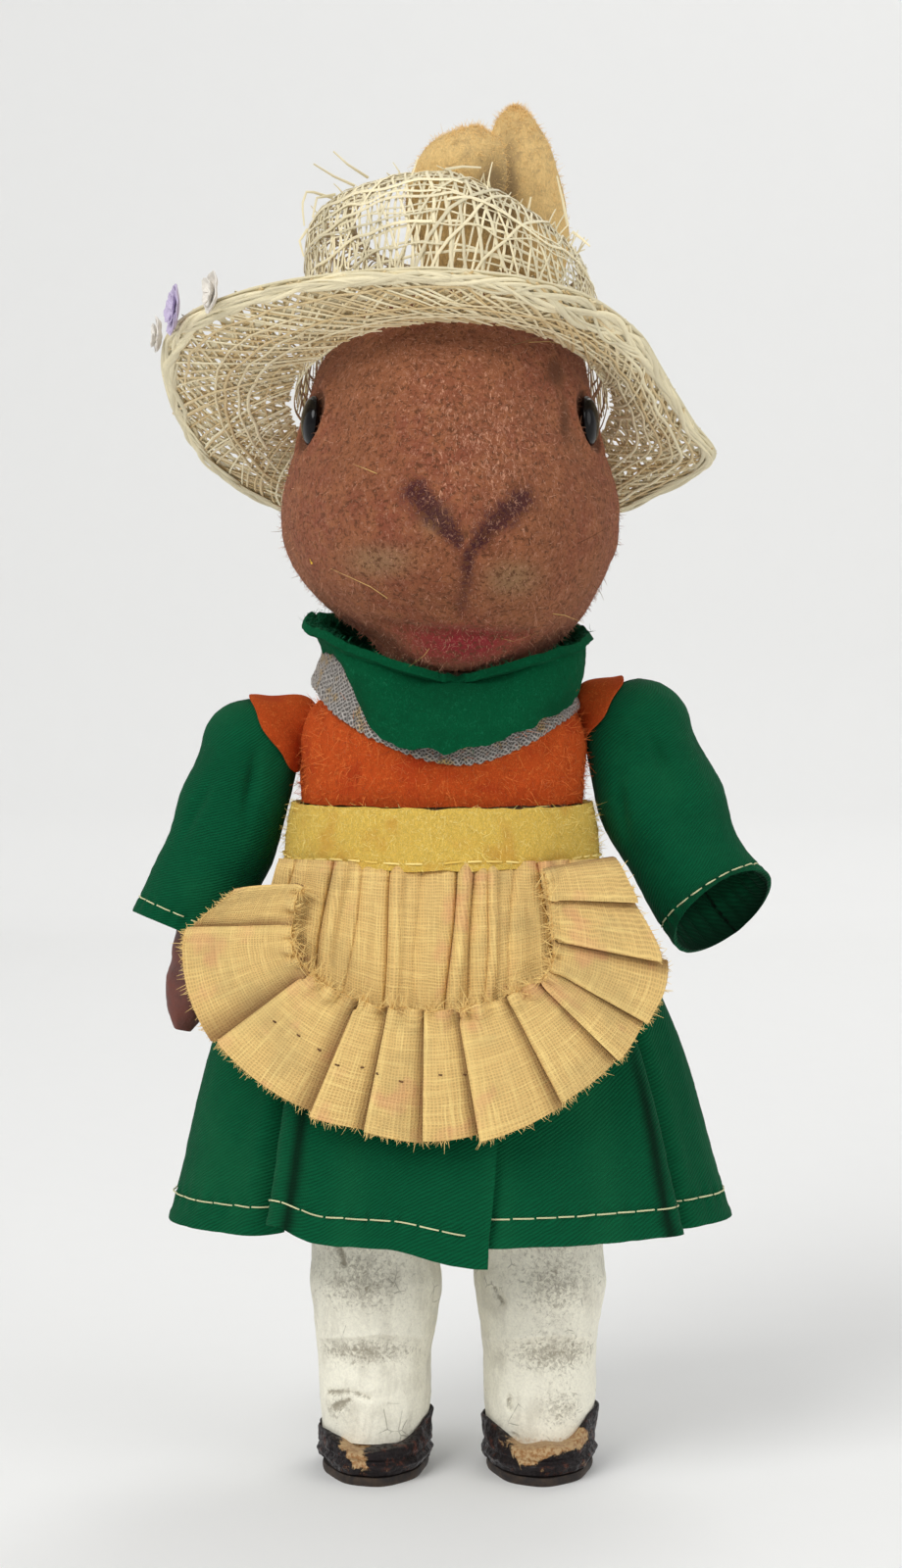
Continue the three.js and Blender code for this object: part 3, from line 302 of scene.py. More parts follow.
def tube_faces(levels, sides, start=0):
    """The faces of one closed tube: its walls ring by ring, and its two ends."""
    faces = []
    for level in range(levels - 1):
        a = start + level * sides
        for i in range(sides):
            j = (i + 1) % sides
            faces.append((a + i, a + j, a + sides + j, a + sides + i))
    last = start + (levels - 1) * sides
    faces.append(tuple(range(start + sides - 1, start - 1, -1)))
    faces.append(tuple(range(last, last + sides)))
    return faces


def tube(name, lines, radii, sides=6, squeeze=1, normals=None, tones=None):
    """One mesh of many tubes. Each line is a row of points in millimetres, with its own radii.

    A tube is squeezed along its normal, and tones holds a number for each line.
    """
    points, faces, tone_values = [], [], []
    start = 0
    turns = np.arange(sides) * TURN / sides
    for number, line in enumerate(lines):
        line = np.asarray(line, float)
        count = len(line)
        radius = np.broadcast_to(radii[number], (count,))[:, None, None]
        along = unit(np.gradient(line, axis=0))
        guide = np.array([0.31, 0.9, 0.29]) if abs(along[0][1]) < 0.9 else np.array([1.0, 0, 0])
        side = unit(np.cross(along, guide if normals is None else normals[number]))
        up = np.cross(side, along)
        ring = line[:, None, :] + side[:, None, :] * (np.cos(turns)[None, :, None] * radius)
        ring = ring + up[:, None, :] * (np.sin(turns)[None, :, None] * radius * squeeze)
        points.append(ring.reshape(-1, 3))
        faces.extend(tube_faces(count, sides, start))
        start += count * sides
        tone_values.extend([0.5 if tones is None else tones[number]] * (count * sides))
    return new_piece(name, np.concatenate(points), faces, tone_values)


def hairs(name, roots, ways, lengths, radius, draw, bend=0.5, sides=3):
    """Short tapered fibres in one mesh, each from its root along its way, bent at random."""
    count = len(roots)
    ways = unit(ways)
    sideways = draw.normal(size=(count, 3)) * bend
    side = unit(np.cross(ways, sideways))
    other = np.cross(ways, side)
    rings = []
    for share, width in ((0.0, 1.0), (0.5, 0.8), (1.0, 0.25)):
        centre = roots + ways * (lengths * share)[:, None] + sideways * (lengths * share**2)[:, None]
        for turn in range(sides):
            angle = TURN * turn / sides
            rings.append(centre + (side * math.cos(angle) + other * math.sin(angle)) * radius * width)
    per = len(rings)
    cell = tube_faces(per // sides, sides)
    faces = [tuple(corner + per * k for corner in face) for k in range(count) for face in cell]
    tones = np.repeat(draw.uniform(size=count), per)
    return new_piece(name, np.stack(rings, axis=1).reshape(-1, 3), faces, tones)


def stitches(name, path, ups, length, gap, radius, draw, wander=0.25):
    """Hand stitches along a path of points: short threads that rise over the cloth and dip in."""
    steps = np.linalg.norm(np.diff(path, axis=0), axis=1)
    walked = np.concatenate([[0], np.cumsum(steps)])
    at, lines = gap / 2, []
    while at + length < walked[-1]:
        long = length * draw.uniform(0.8, 1.15)
        places = at + long * np.linspace(0, 1, 6)
        line = np.stack([np.interp(places, walked, path[:, k]) for k in range(3)], axis=1)
        up = np.stack([np.interp(places, walked, ups[:, k]) for k in range(3)], axis=1)
        lift = np.sin(np.linspace(0, math.pi, 6)) * radius * 1.7 - radius * 0.9
        aside = unit(np.cross(line[-1] - line[0], up[2]))
        slant = np.linspace(-1, 1, 6)[:, None] * draw.normal() * wander * radius
        lines.append(line + up * lift[:, None] + aside * slant)
        at += long + gap * draw.uniform(0.75, 1.25)
    tones = draw.uniform(size=len(lines))
    return tube(name, lines, [radius] * len(lines), tones=tones)


def wear(piece, material, slot, body, *nodes, smooth=None):
    """Gives a finished piece its material, its body and the frame nodes that it stands for."""
    if smooth:
        only(piece)
        bpy.ops.object.shade_smooth_by_angle(angle=math.radians(smooth))
    piece.data.materials.clear()
    piece.data.materials.append(material)
    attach(piece, body)
    if nodes:
        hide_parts(*nodes)
    return piece


# Materials


class Tree:
    """One material's nodes, built with short calls. Places are in millimetres."""

    def __init__(self, name, roughness, gloss=0.5, **sockets):
        self.material = bpy.data.materials.new(name)
        self.material.use_nodes = True
        self.nodes = self.material.node_tree.nodes
        self.links = self.material.node_tree.links
        self.shader = self.nodes["Principled BSDF"]
        self.put(self.shader.inputs["Roughness"], roughness)
        self.put(self.shader.inputs["Specular IOR Level"], gloss)
        for socket, value in sockets.items():
            self.put(self.shader.inputs[socket.replace("_", " ").title()], value)
        self.base = self.normal = None

    def put(self, socket, value):
        if isinstance(value, bpy.types.NodeSocket):
            self.links.new(value, socket)
        else:
            socket.default_value = value

    def node(self, kind, inputs=(), **settings):
        made = self.nodes.new(kind)
        for key, value in settings.items():
            setattr(made, key, value)
        for key, value in dict(inputs).items():
            self.put(made.inputs[key], value)
        return made

    def places(self, stretch=(1, 1, 1)):
        found = self.node("ShaderNodeTexCoord").outputs["Object"]
        scale = tuple(part / MM for part in stretch)
        return self.node("ShaderNodeMapping", {"Vector": found, "Scale": scale}).outputs["Vector"]

    def thread(self, stretch=(1, 1, 1), turn=0.0):
        """The place on the flat cloth, in millimetres."""
        found = self.node("ShaderNodeAttribute", attribute_name="thread").outputs["Vector"]
        inputs = {"Vector": found, "Scale": stretch, "Rotation": (0, 0, math.radians(turn))}
        return self.node("ShaderNodeMapping", inputs).outputs["Vector"]

    def share(self, name):
        return self.node("ShaderNodeAttribute", attribute_name=name).outputs["Fac"]

    def along(self, places, axis):
        return self.node("ShaderNodeSeparateXYZ", {"Vector": places}).outputs[axis]

    def math(self, operation, first, second=0.0):
        inputs = {0: first, 1: second}
        return self.node("ShaderNodeMath", inputs, operation=operation).outputs[0]

    def times(self, first, second):
        return self.math("MULTIPLY", first, second)

    def plus(self, first, second, weight=None):
        """The first value and the second one, which may be weighted."""
        return self.math("ADD", first, second if weight is None else self.times(second, weight))

    def wave(self, value, pitch):
        """A smooth wave from 0 to 1 with a pitch in millimetres."""
        turned = self.times(value, TURN / pitch)
        return self.plus(0.5, self.math("SINE", turned), 0.5)

    def noise(self, places, scale, detail=2.0, rough=0.5, distort=0.0):
        inputs = {"Vector": places, "Scale": scale, "Detail": detail}
        inputs |= {"Roughness": rough, "Distortion": distort}
        return self.node("ShaderNodeTexNoise", inputs).outputs["Fac"]

    def cells(self, places, scale, feature="F1"):
        inputs = {"Vector": places, "Scale": scale}
        return self.node("ShaderNodeTexVoronoi", inputs, feature=feature).outputs["Distance"]

    def between(self, value, low, high):
        """0 below low, 1 above high, and smooth in between. High may be the lower one."""
        inputs = {"Value": value, "From Min": low, "From Max": high}
        made = self.node("ShaderNodeMapRange", inputs, interpolation_type="SMOOTHSTEP")
        return made.outputs["Result"]

    def mix(self, share, first, second):
        made = self.node("ShaderNodeMix", data_type="RGBA")
        self.put(made.inputs[0], share)
        for number, value in ((6, first), (7, second)):
            linked = isinstance(value, bpy.types.NodeSocket)
            self.put(made.inputs[number], value if linked else tinted(value))
        return made.outputs[2]

    def ground(self, value, low, high, first, second):
        """The base colour: the first one at low and the second one at high."""
        self.base = self.mix(self.between(value, low, high), first, second)

    def lay(self, colour, amount, value, low=None, high=None):
        """Lays a colour over the base: none of it at low, and the whole amount at high."""
        share = value if low is None else self.between(value, low, high)
        self.base = self.mix(self.times(share, amount), self.base, colour)

    def bump(self, height, distance, strength=1.0):
        inputs = {"Height": height, "Distance": distance * MM, "Strength": strength}
        if self.normal is not None:
            inputs["Normal"] = self.normal
        self.normal = self.node("ShaderNodeBump", inputs).outputs["Normal"]

    def done(self, roughness=None):
        self.put(self.shader.inputs["Base Color"], self.base)
        if roughness is not None:
            self.put(self.shader.inputs["Roughness"], roughness)
        if self.normal is not None:
            self.put(self.shader.inputs["Normal"], self.normal)
        return self.material


def flock_material(size):
    """Short brown flock: specked, lighter with a painted sheen on the bridge of the nose, and with the nose
    and lip painted on.
    """
    colour, worn = size.flock, size.worn
    tint = tinted(srgb(215, 180, 155))
    tree = Tree("flock", 0.95, 0.15, sheen_weight=0.16, sheen_roughness=0.5, sheen_tint=tint)
    places = tree.places()
    broad = tree.noise(places, 0.06, 3)
    blotch = tree.noise(places, 0.4, 4, 0.6)
    speck = tree.noise(places, 1.5, 4, 0.72, 0.6)
    fine = tree.noise(places, 5.0, 2)
    fibre = tree.noise(tree.places((1.5, 1, 0.5)), 1.9, 4, 0.7, 1.2)
    tree.ground(broad, 0.35, 0.65, srgb(134, 74, 54), colour)
    tree.lay(shade(colour, 1.25), 1, blotch, 0.4, 0.7)
    tree.lay(size.patch, 0.6, tree.plus(tree.share("patch"), speck, 0.7), 0.45, 1.5)
    grain = tree.between(speck, 0.3, 0.62)
    tree.lay(size.nose, 0.92, tree.plus(tree.share("nose"), grain, 0.9), 0.7, 1.6)
    tree.lay(size.lip, 0.85, tree.plus(tree.share("lip"), speck, 1.2), 0.75, 1.5)
    tree.lay(shade(colour, 0.34), 0.8, speck, 0.5, 0.38)
    tree.lay(shade(worn, 0.75), 0.6, speck, 0.56, 0.7)
    # Pale worn flecks where the fibre noise is high, and a painted sheen on the bridge of the nose and the
    # brow
    tree.lay(worn, 0.8, tree.plus(fibre, tree.share("worn"), 0.09), 0.6, 0.72)
    # Darker with the stains beside the toy's left eye, along the mouth groove and round each eye socket
    tree.lay(shade(colour, 0.3), 0.75, tree.plus(tree.share("soil"), blotch, 0.5), 0.5, 1.1)
    tree.bump(blotch, 0.35, 0.5)
    tree.bump(speck, 0.4, 0.7)
    tree.bump(tree.plus(fine, fibre), 0.12, 0.6)
    return tree.done()


def hair_material(name, colour, light):
    """Loose fibres, each with its own tone."""
    tree = Tree(name, 0.9, 0.15, sheen_weight=0.1)
    tree.base = tree.mix(tree.share("tone"), colour, light)
    return tree.done()


def plush_material(colour, grime):
    """Napped tan plush, mottled with grey-brown grime, with painted shade where the two ears overlap."""
    tint = tinted(srgb(240, 225, 190))
    tree = Tree("plush", 0.95, 0.15, sheen_weight=0.25, sheen_roughness=0.4, sheen_tint=tint)
    places = tree.places()
    cloud = tree.noise(places, 0.16, 5, 0.62)
    mottle = tree.noise(places, 0.8, 5, 0.7, 0.4)
    nap = tree.noise(tree.places((1, 1, 0.5)), 4.5, 3, 0.6, 1.0)
    tree.ground(nap, 0.34, 0.66, shade(colour, 0.86), shade(colour, 1.08))
    tree.lay(grime, 0.5, tree.plus(tree.times(cloud, 0.55), mottle, 0.55), 0.54, 0.68)
    # Painted shade where the two ears overlap
    tree.lay(shade(grime, 0.55), 0.8, tree.share("crease"))
    tree.bump(mottle, 0.3, 0.5)
    tree.bump(nap, 0.3, 0.8)
    return tree.done()


def straw_material(name, colour, aged):
    """Split straw strands, each with its own tone."""
    tree = Tree(name, 0.55, sheen_weight=0.1)
    places = tree.places()
    streak = tree.noise(places, 1.6, 3, 0.6)
    stain = tree.noise(places, 0.12, 3)
    tone = tree.plus(tree.times(tree.share("tone"), 0.75), streak, 0.35)
    tree.ground(tone, 0.2, 0.85, aged, colour)
    tree.lay(shade(aged, 0.75), 0.35, stain, 0.5, 0.7)
    tree.bump(tree.noise(places, 7.0, 2), 0.08, 0.6)
    return tree.done()


def felt_material(name, colour, rubbed, stain):
    """Pressed wool: matted fibres, nap rubbed thin in places, and grime."""
    tint = tinted(rubbed)
    tree = Tree(name, 0.97, 0.1, sheen_weight=0.2, sheen_roughness=0.45, sheen_tint=tint)
    places = tree.places()
    matted = tree.noise(places, 1.7, 5, 0.7, 1.6)
    wool = tree.noise(tree.places((1.6, 1, 0.6)), 4.2, 4, 0.65, 1.8)
    tree.ground(wool, 0.36, 0.66, shade(colour, 0.72), shade(colour, 1.1))
    tree.lay(rubbed, 0.75, matted, 0.52, 0.7)
    tree.lay(stain, 0.55, tree.noise(places, 0.17, 4, 0.55), 0.5, 0.68)
    tree.bump(matted, 0.35, 0.6)
    tree.bump(wool, 0.25, 0.8)
    return tree.done()


def twill_material(size):
    """Green cotton twill: fine diagonal ribs, faded along the folds, with painted shade in the skirt's slits
    and inside the sleeves.
    """
    colour, faded, pitch = size.green, size.faded, size.pitch / MM
    tree = Tree("twill", 0.9, 0.1, sheen_weight=0.02, sheen_roughness=0.5)
    ribs = tree.thread(turn=58)
    slub = tree.noise(tree.thread((0.25, 2.2, 1)), 1.4, 3, 0.6)
    wobble = tree.noise(tree.thread(), 0.5, 2)
    rib = tree.wave(tree.plus(tree.along(ribs, "X"), wobble, pitch * 0.8), pitch)
    yarn = tree.wave(tree.along(ribs, "Y"), pitch * 0.62)
    places = tree.places()
    tree.ground(rib, 0.05, 0.75, shade(colour, 0.66), shade(colour, 0.98))
    tree.lay(shade(colour, 1.2), 0.4, slub, 0.45, 0.75)
    tree.lay(faded, 0.3, tree.noise(places, 0.06, 4, 0.55), 0.5, 0.72)
    tree.lay(shade(faded, 1.15), 0.5, tree.share("rubbed"))
    tree.lay(shade(faded, 1.3), 0.35, tree.noise(places, 5.0, 3, 0.7), 0.62, 0.8)
    # Painted shade in the skirt's slits and inside the sleeves
    tree.lay(shade(colour, 0.12), 0.9, tree.share("deep"))
    tree.bump(rib, 0.09, 0.8)
    tree.bump(tree.times(yarn, rib), 0.05, 0.6)
    return tree.done()


def linen_material(colour, light, pitch):
    """Coarse linen: uneven threads over and under, with slubs and old stains, and painted shade in its folds.
    """
    tree = Tree("linen", 0.9, 0.12, sheen_weight=0.06)
    flat = tree.thread()
    wander = tree.times(tree.noise(flat, 0.35, 3), pitch * 1.6)
    across = tree.wave(tree.plus(tree.along(flat, "X"), wander), pitch)
    down = tree.wave(tree.plus(tree.along(flat, "Y"), wander), pitch)
    weave = tree.math("MAXIMUM", tree.times(across, 0.9), down)
    warp = tree.noise(tree.thread((2.0, 0.07, 1)), 1.3, 2, 0.7)
    weft = tree.noise(tree.thread((0.07, 2.0, 1)), 1.3, 2, 0.7)
    places = tree.places()
    tree.ground(weave, 0.3, 0.95, shade(colour, 0.8), shade(colour, 1.03))
    tree.lay(light, 0.65, warp, 0.5, 0.7)
    tree.lay(light, 0.6, weft, 0.5, 0.7)
    tree.lay(srgb(176, 152, 100), 0.4, tree.noise(places, 0.11, 4, 0.6), 0.48, 0.68)
    tree.lay(srgb(212, 138, 108), 0.35, tree.noise(places, 0.16, 3), 0.55, 0.7)
    tree.lay(light, 0.5, tree.share("rubbed"))
    # Painted shade in the apron panel's folds and under the ruffle's pleats
    tree.lay(srgb(98, 50, 28), 0.85, tree.share("fold"))
    tree.bump(weave, 0.1, 0.9)
    tree.bump(tree.plus(warp, weft), 0.1, 0.6)
    return tree.done()


def braid_material(gold, silver, pitch):
    """Metallic braid, tarnished: gold where it is clean and grey where it is rubbed."""
    tree = Tree("braid", 0.45, metallic=0.5)
    flat = tree.thread()
    along, across = tree.along(flat, "X"), tree.along(flat, "Y")
    wander = tree.times(tree.noise(flat, 0.8, 2), pitch * 0.6)
    one = tree.wave(tree.plus(tree.plus(along, across), wander), pitch)
    other = tree.wave(tree.plus(tree.math("SUBTRACT", along, across), wander), pitch)
    plait = tree.math("MAXIMUM", one, other)
    tree.ground(tree.noise(tree.places(), 0.35, 4, 0.65), 0.32, 0.5, gold, silver)
    tree.lay(shade(silver, 0.35), 1, plait, 0.7, 0.3)
    tree.bump(plait, 0.22, 0.9)
    return tree.done()


def leg_material(colour, dirt_and_shade, crack_scale):
    """Old cream paint: grimy, stained and darkened in its creases, with painted shade under the skirt and
    below the knees, crackled and rubbed down to the pulp.
    """
    tree = Tree("leg_paint", 0.6)
    places = tree.places()
    grime = tree.noise(places, 0.14, 5, 0.66, 0.4)
    smear = tree.noise(tree.places((1, 1, 0.35)), 0.5, 5, 0.7)
    pits = tree.noise(places, 2.4, 4, 0.7)
    speck = tree.noise(places, 1.5, 5, 0.8, 0.8)
    crackle = tree.cells(places, crack_scale, "DISTANCE_TO_EDGE")
    broken = tree.noise(places, 0.2, 3)
    tree.ground(pits, 0.35, 0.65, shade(colour, 0.93), shade(colour, 1.04))
    tree.lay(dirt_and_shade, 0.25, tree.plus(tree.times(grime, 0.6), smear, 0.5), 0.5, 0.68)
    # Stains, darkened creases, and painted shade under the skirt and below the knees
    hollow = tree.plus(tree.share("soil"), tree.math("SUBTRACT", speck, 0.5), 2.6)
    tree.lay(shade(dirt_and_shade, 0.9), 0.72, hollow, 0.25, 0.95)
    line = tree.times(tree.between(crackle, 0.03, 0.006), tree.between(broken, 0.56, 0.66))
    tree.lay(shade(dirt_and_shade, 0.55), 0.5, line)
    tree.lay(srgb(176, 134, 82), 1, tree.plus(tree.share("bare"), pits, 0.5), 0.72, 0.95)
    tree.bump(tree.math("SUBTRACT", pits, line), 0.18, 0.5)
    tree.bump(smear, 0.3, 0.35)
    return tree.done(tree.between(grime, 0.9, 0.2))


def shoe_material(colour, bare):
    """Black shoe paint that is chipped to tan pulp along its edges."""
    tree = Tree("shoe_paint", 0.5, 0.2)
    places = tree.places()
    chip = tree.noise(places, 0.55, 6, 0.72, 0.6)
    dust = tree.noise(places, 1.8, 4, 0.7)
    lost = tree.between(tree.plus(tree.share("bare"), chip), 0.74, 0.82)
    tree.ground(dust, 0.5, 0.8, colour, shade(colour, 2.4))
    tree.lay(srgb(84, 46, 34), 0.8, chip, 0.53, 0.62)
    tree.lay(tree.mix(tree.between(dust, 0.42, 0.6), bare, srgb(150, 108, 66)), 1, lost)
    tree.bump(lost, -0.25, 0.8)
    tree.bump(dust, 0.25, 0.5)
    return tree.done(tree.between(dust, 0.85, 0.2))


def hand_material(colour):
    """Brown painted composition with a dull, handled shine."""
    tree = Tree("hand_paint", 0.55)
    places = tree.places()
    cloud = tree.noise(places, 0.3, 4, 0.6)
    grain = tree.noise(places, 3.0, 4, 0.7)
    tree.ground(cloud, 0.35, 0.65, shade(colour, 0.75), shade(colour, 1.25))
    tree.lay(shade(colour, 1.9), 0.5, grain, 0.6, 0.8)
    tree.bump(grain, 0.15, 0.7)
    return tree.done(tree.between(cloud, 0.0, 1.0))


def plain_material(name, colour, other, scale, roughness, metallic=0.0, depth=0.1, stretch=(1, 1, 1)):
    """A plain stuff with a grain, such as wood, wire, card or pulp."""
    tree = Tree(name, roughness, metallic=metallic)
    grain = tree.noise(tree.places(stretch), scale, 5, 0.65)
    tree.ground(grain, 0.35, 0.65, colour, other)
    tree.bump(grain, depth, 0.7)
    return tree.done()


def eye_material(colour):
    """Black glass, glossy under a film of dust."""
    tree = Tree("eye_glass", 0.2, 0.25)
    dust = tree.noise(tree.places(), 2.5, 4, 0.7)
    tree.ground(dust, 0.55, 0.85, colour, shade(colour, 3.0))
    return tree.done(tree.plus(0.12, tree.between(dust, 0.4, 0.9), 0.3))


def petal_material(name, colour, edge):
    """Crumpled paper petal, deeper in colour towards its middle."""
    tree = Tree(name, 0.75, sheen_weight=0.1)
    crumple = tree.noise(tree.places(), 1.1, 4, 0.6, 0.5)
    tree.base = tree.mix(tree.share("tone"), edge, colour)
    tree.lay(shade(edge, 0.8), 0.4, crumple, 0.45, 0.7)
    tree.bump(crumple, 0.35, 0.6)
    return tree.done()


# Sizes and colours that a user would change


def length(default, name, description):
    """A size in metres that the sidebar shows with a unit."""
    return bpy.props.FloatProperty(
        name=name, description=description, default=default, min=0.0, precision=5, unit="LENGTH"
    )


def colour(default, name, description):
    return bpy.props.FloatVectorProperty(
        name=name, description=description, default=default, size=3, min=0.0, max=1.0, subtype="COLOR"
    )


class RabbitHeadSettings(bpy.types.PropertyGroup):
    """The flocked head, its eyes and its plush ears."""

    height: length(0.057, "Head height", "From the chin to the top of the head")
    half_width: length(0.0244, "Half width", "From the middle of the head to a cheek")
    front_reach: length(0.0335, "Muzzle reach", "From the neck's axis to the front of the muzzle")
    back_reach: length(0.0233, "Back reach", "From the neck's axis to the back of the head")
    wall: length(0.0022, "Shell wall", "Thickness of the moulded shell")
    fibre: length(0.0006, "Flock length", "Length of the loose flock fibres")
    ear_thickness: length(0.0088, "Ear thickness", "How plump an ear is")
    flock: colour(srgb(136, 84, 56), "Flock", "Brown of the flocked head")
    # Pale worn flecks, and the painted sheen on the bridge of the nose and the brow
    worn: colour(srgb(206, 152, 124), "Worn flock", "Where handling has rubbed the flock pale")
    nose: colour(srgb(58, 26, 34), "Nose paint", "Strokes that draw the nose")
    lip: colour(srgb(132, 18, 42), "Lip paint", "Red along the mouth")
    patch: colour(srgb(146, 122, 88), "Muzzle stain", "Greenish stain beside the nose")
    plush: colour(srgb(226, 192, 130), "Ear plush", "Tan nap of the ears")
    # Also laid darker as painted shade where the two ears overlap
    grime: colour(srgb(150, 124, 92), "Ear grime", "Grey-brown dirt on the nap")
    glass: colour(srgb(7, 6, 8), "Eye glass", "Black glass of the eyes")


class RabbitHatSettings(bpy.types.PropertyGroup):
    """The straw net hat and its blossoms."""

    strand: length(0.00038, "Strand width", "Width of a split straw strand")
    cell: length(0.0019, "Net cell", "Distance between strands")
    straw: colour(srgb(246, 234, 196), "Straw", "Clean straw")
    aged: colour(srgb(214, 186, 132), "Aged straw", "Straw that has darkened")
    lilac: colour(srgb(206, 192, 222), "Lilac petal", "Middle of the lilac blossom")
    white: colour(srgb(238, 232, 222), "White petal", "Middle of the white blossoms")


class RabbitBodiceSettings(bpy.types.PropertyGroup):
    """Felt bodice, collar and waistband, and the braid at the neck."""

    felt: length(0.0012, "Felt thickness", "Of the bodice, the collar and the waistband")
    braid: length(0.0008, "Braid thickness", "Of the metallic neck braid")
    orange: colour(srgb(208, 84, 34), "Orange felt", "The bodice")
    orange_rubbed: colour(srgb(236, 134, 66), "Rubbed orange", "Where the bodice nap is thin")
    orange_stain: colour(srgb(172, 48, 24), "Red stain", "Darker patches of the bodice")
    green: colour(srgb(0, 84, 50), "Green felt", "The collar")
    green_rubbed: colour(srgb(24, 110, 74), "Rubbed green", "Where the collar nap is thin")
    yellow: colour(srgb(236, 198, 92), "Yellow felt", "The waistband")
    yellow_rubbed: colour(srgb(248, 226, 146), "Rubbed yellow", "Where the waistband nap is thin")
    gold: colour(srgb(176, 146, 96), "Gold braid", "Clean metal thread")
    silver: colour(srgb(168, 162, 156), "Tarnished braid", "Rubbed metal thread")


class RabbitSkirtSettings(bpy.types.PropertyGroup):
    """The green twill skirt and sleeves."""

    length: length(0.060, "Skirt length", "From the waistband's top to the hem")
    fold: length(0.0026, "Fold depth", "How far the folds stand in and out")
    thickness: length(0.001, "Cloth thickness", "Of the turned twill")
    hem: length(0.0039, "Hem", "From the edge to the hand-sewn line")
    pitch: length(0.00044, "Twill pitch", "Between two ribs of the twill")
    green: colour(srgb(0, 82, 50), "Twill green", "The skirt and the sleeves")
    faded: colour(srgb(22, 98, 60), "Faded green", "Where light has faded the twill")
    thread: colour(srgb(210, 208, 164), "Sewing thread", "Hand stitches at the hems")


class RabbitApronSettings(bpy.types.PropertyGroup):
    """The gathered linen apron with its pleated ruffle."""

    thickness: length(0.0007, "Linen thickness", "Of one layer")
    gather: length(0.0014, "Gather depth", "How far the panel's folds stand out")
    pleat: length(0.0017, "Pleat depth", "How far a knife pleat stands out")
    pitch: length(0.00042, "Thread pitch", "Between two threads of the weave")
    linen: colour(srgb(218, 182, 116), "Linen", "Unbleached linen")
    light: colour(srgb(242, 212, 138), "Linen slub", "Thick pale threads")


class RabbitLimbSettings(bpy.types.PropertyGroup):
    """Painted legs, shoes and hands."""

    leg: colour(srgb(243, 239, 221), "Leg paint", "Cream paint")
    # Grime on the legs, also laid as painted shade under the skirt and below the knees
    dirt_and_shade: colour(srgb(128, 116, 92), "Leg dirt", "Grime in the hollows")
    shoe: colour(srgb(24, 18, 19), "Shoe paint", "Black paint")
    bare: colour(srgb(184, 156, 116), "Bare pulp", "Where the shoe paint has chipped off")
    hand: colour(srgb(98, 52, 42), "Hand paint", "Brown hands")


class RabbitStageSettings(bpy.types.PropertyGroup):
    """Floor, lamps and camera."""

    floor: colour((0.86, 0.86, 0.85), "Floor", "Pale floor and backdrop")
    distance: length(0.5, "Camera distance", "From the toy's middle to the camera")
    eye_level: length(0.1257, "Camera height", "Of the camera over the floor")
    look_down: bpy.props.FloatProperty(
        name="Look down",
        description="How far the camera looks below the horizon",
        default=math.radians(3.0),
        subtype="ANGLE",
    )
    view_angle: bpy.props.FloatProperty(
        name="View angle",
        description="Upright angle of view of the whole picture",
        default=math.radians(25.6),
        subtype="ANGLE",
    )
    key_light: bpy.props.FloatProperty(
        name="Key lamp", description="Power of the large soft lamp", default=7.5, unit="POWER"
    )


# Head: two moulded shells under brown flock

# Rows of the head from the chin up: height, left, right, front and back as shares of its size
HEAD_SHARES = [
    (0, 0.36, 0.36, 0.36, 0.37), (0.033, 0.4, 0.52, 0.5, 0.43), (0.082, 0.5, 0.66, 0.61, 0.57),
    (0.132, 0.66, 0.77, 0.71, 0.71), (0.181, 0.79, 0.845, 0.8, 0.81), (0.23, 0.89, 0.905, 0.88, 0.875),
    (0.304, 0.975, 0.975, 0.96, 0.94), (0.375, 1, 0.99, 1, 0.98), (0.449, 0.99, 0.975, 0.99, 1),
    (0.547, 0.92, 0.905, 0.93, 1), (0.621, 0.87, 0.86, 0.87, 0.987), (0.742, 0.79, 0.8, 0.76, 0.914),
    (0.816, 0.68, 0.735, 0.655, 0.815), (0.909, 0.48, 0.52, 0.46, 0.58), (0.97, 0.28, 0.3, 0.26, 0.34),
    (1, 0.1, 0.1, 0.08, 0.1),
]

# Marks on the face: points across and up in millimetres, from the neck's axis and the ground
NOSE_STROKES = [
    [(-4.6, 140.6), (-2.6, 137.9), (0.9, 134.2)],
    [(9.6, 139.6), (6.4, 136.8), (3.4, 133.6)],
    [(2.4, 132.4), (2.0, 128.5), (1.3, 124.8)],
]
MOUTH_LINE = [(-9.6, 123.2), (-5.0, 122.0), (0.8, 121.6), (6.0, 121.2), (10.8, 121.6)]
# Spots of the face: across, up, width and tallness
NOSE_PAD = (2.4, 136.5, 5.5, 4.2)
CHIN_PAD = (0.8, 118.3, 8.0, 1.6)
MUZZLE_PADS = [(-8.0, 129.6, 7.0, 5.5), (9.4, 128.6, 7.0, 5.5)]
MUZZLE_STAINS = [(-9.6, 131.4, 5.4, 2.8), (8.2, 129.0, 4.4, 3.0), (-2.0, 137.0, 2.6, 2.4)]
# Painted sheen: lighter flock on the bridge of the nose and on the brow
BRIDGE_SHEEN = (5.5, 147.0, 9.0, 10.0)
BROW_SHEEN = (-6.0, 158.0, 8.0, 7.0)
EYE_HEIGHT = 35.0
EYE_FORWARD = 11.5
EYE_RADIUS = 3.7
EYE_BULGE = 1.9
EYE_BACK = 0.9
EYE_SUNK = 0.35
FLOCK_FIBRES = 8000
STRAY_HAIRS = 26
YELLOW_SHRED = [(-19.4, -17.2, 135.4), (-19.9, -16.4, 133.4), (-19.3, -16.6, 131.2)]


def head_surface(size):
    reaches = (size.half_width / MM, size.front_reach / MM, size.back_reach / MM)
    return form(HEAD_SHARES, NECK[0], NECK[1], HEAD_BASE, size.height / MM, *reaches)


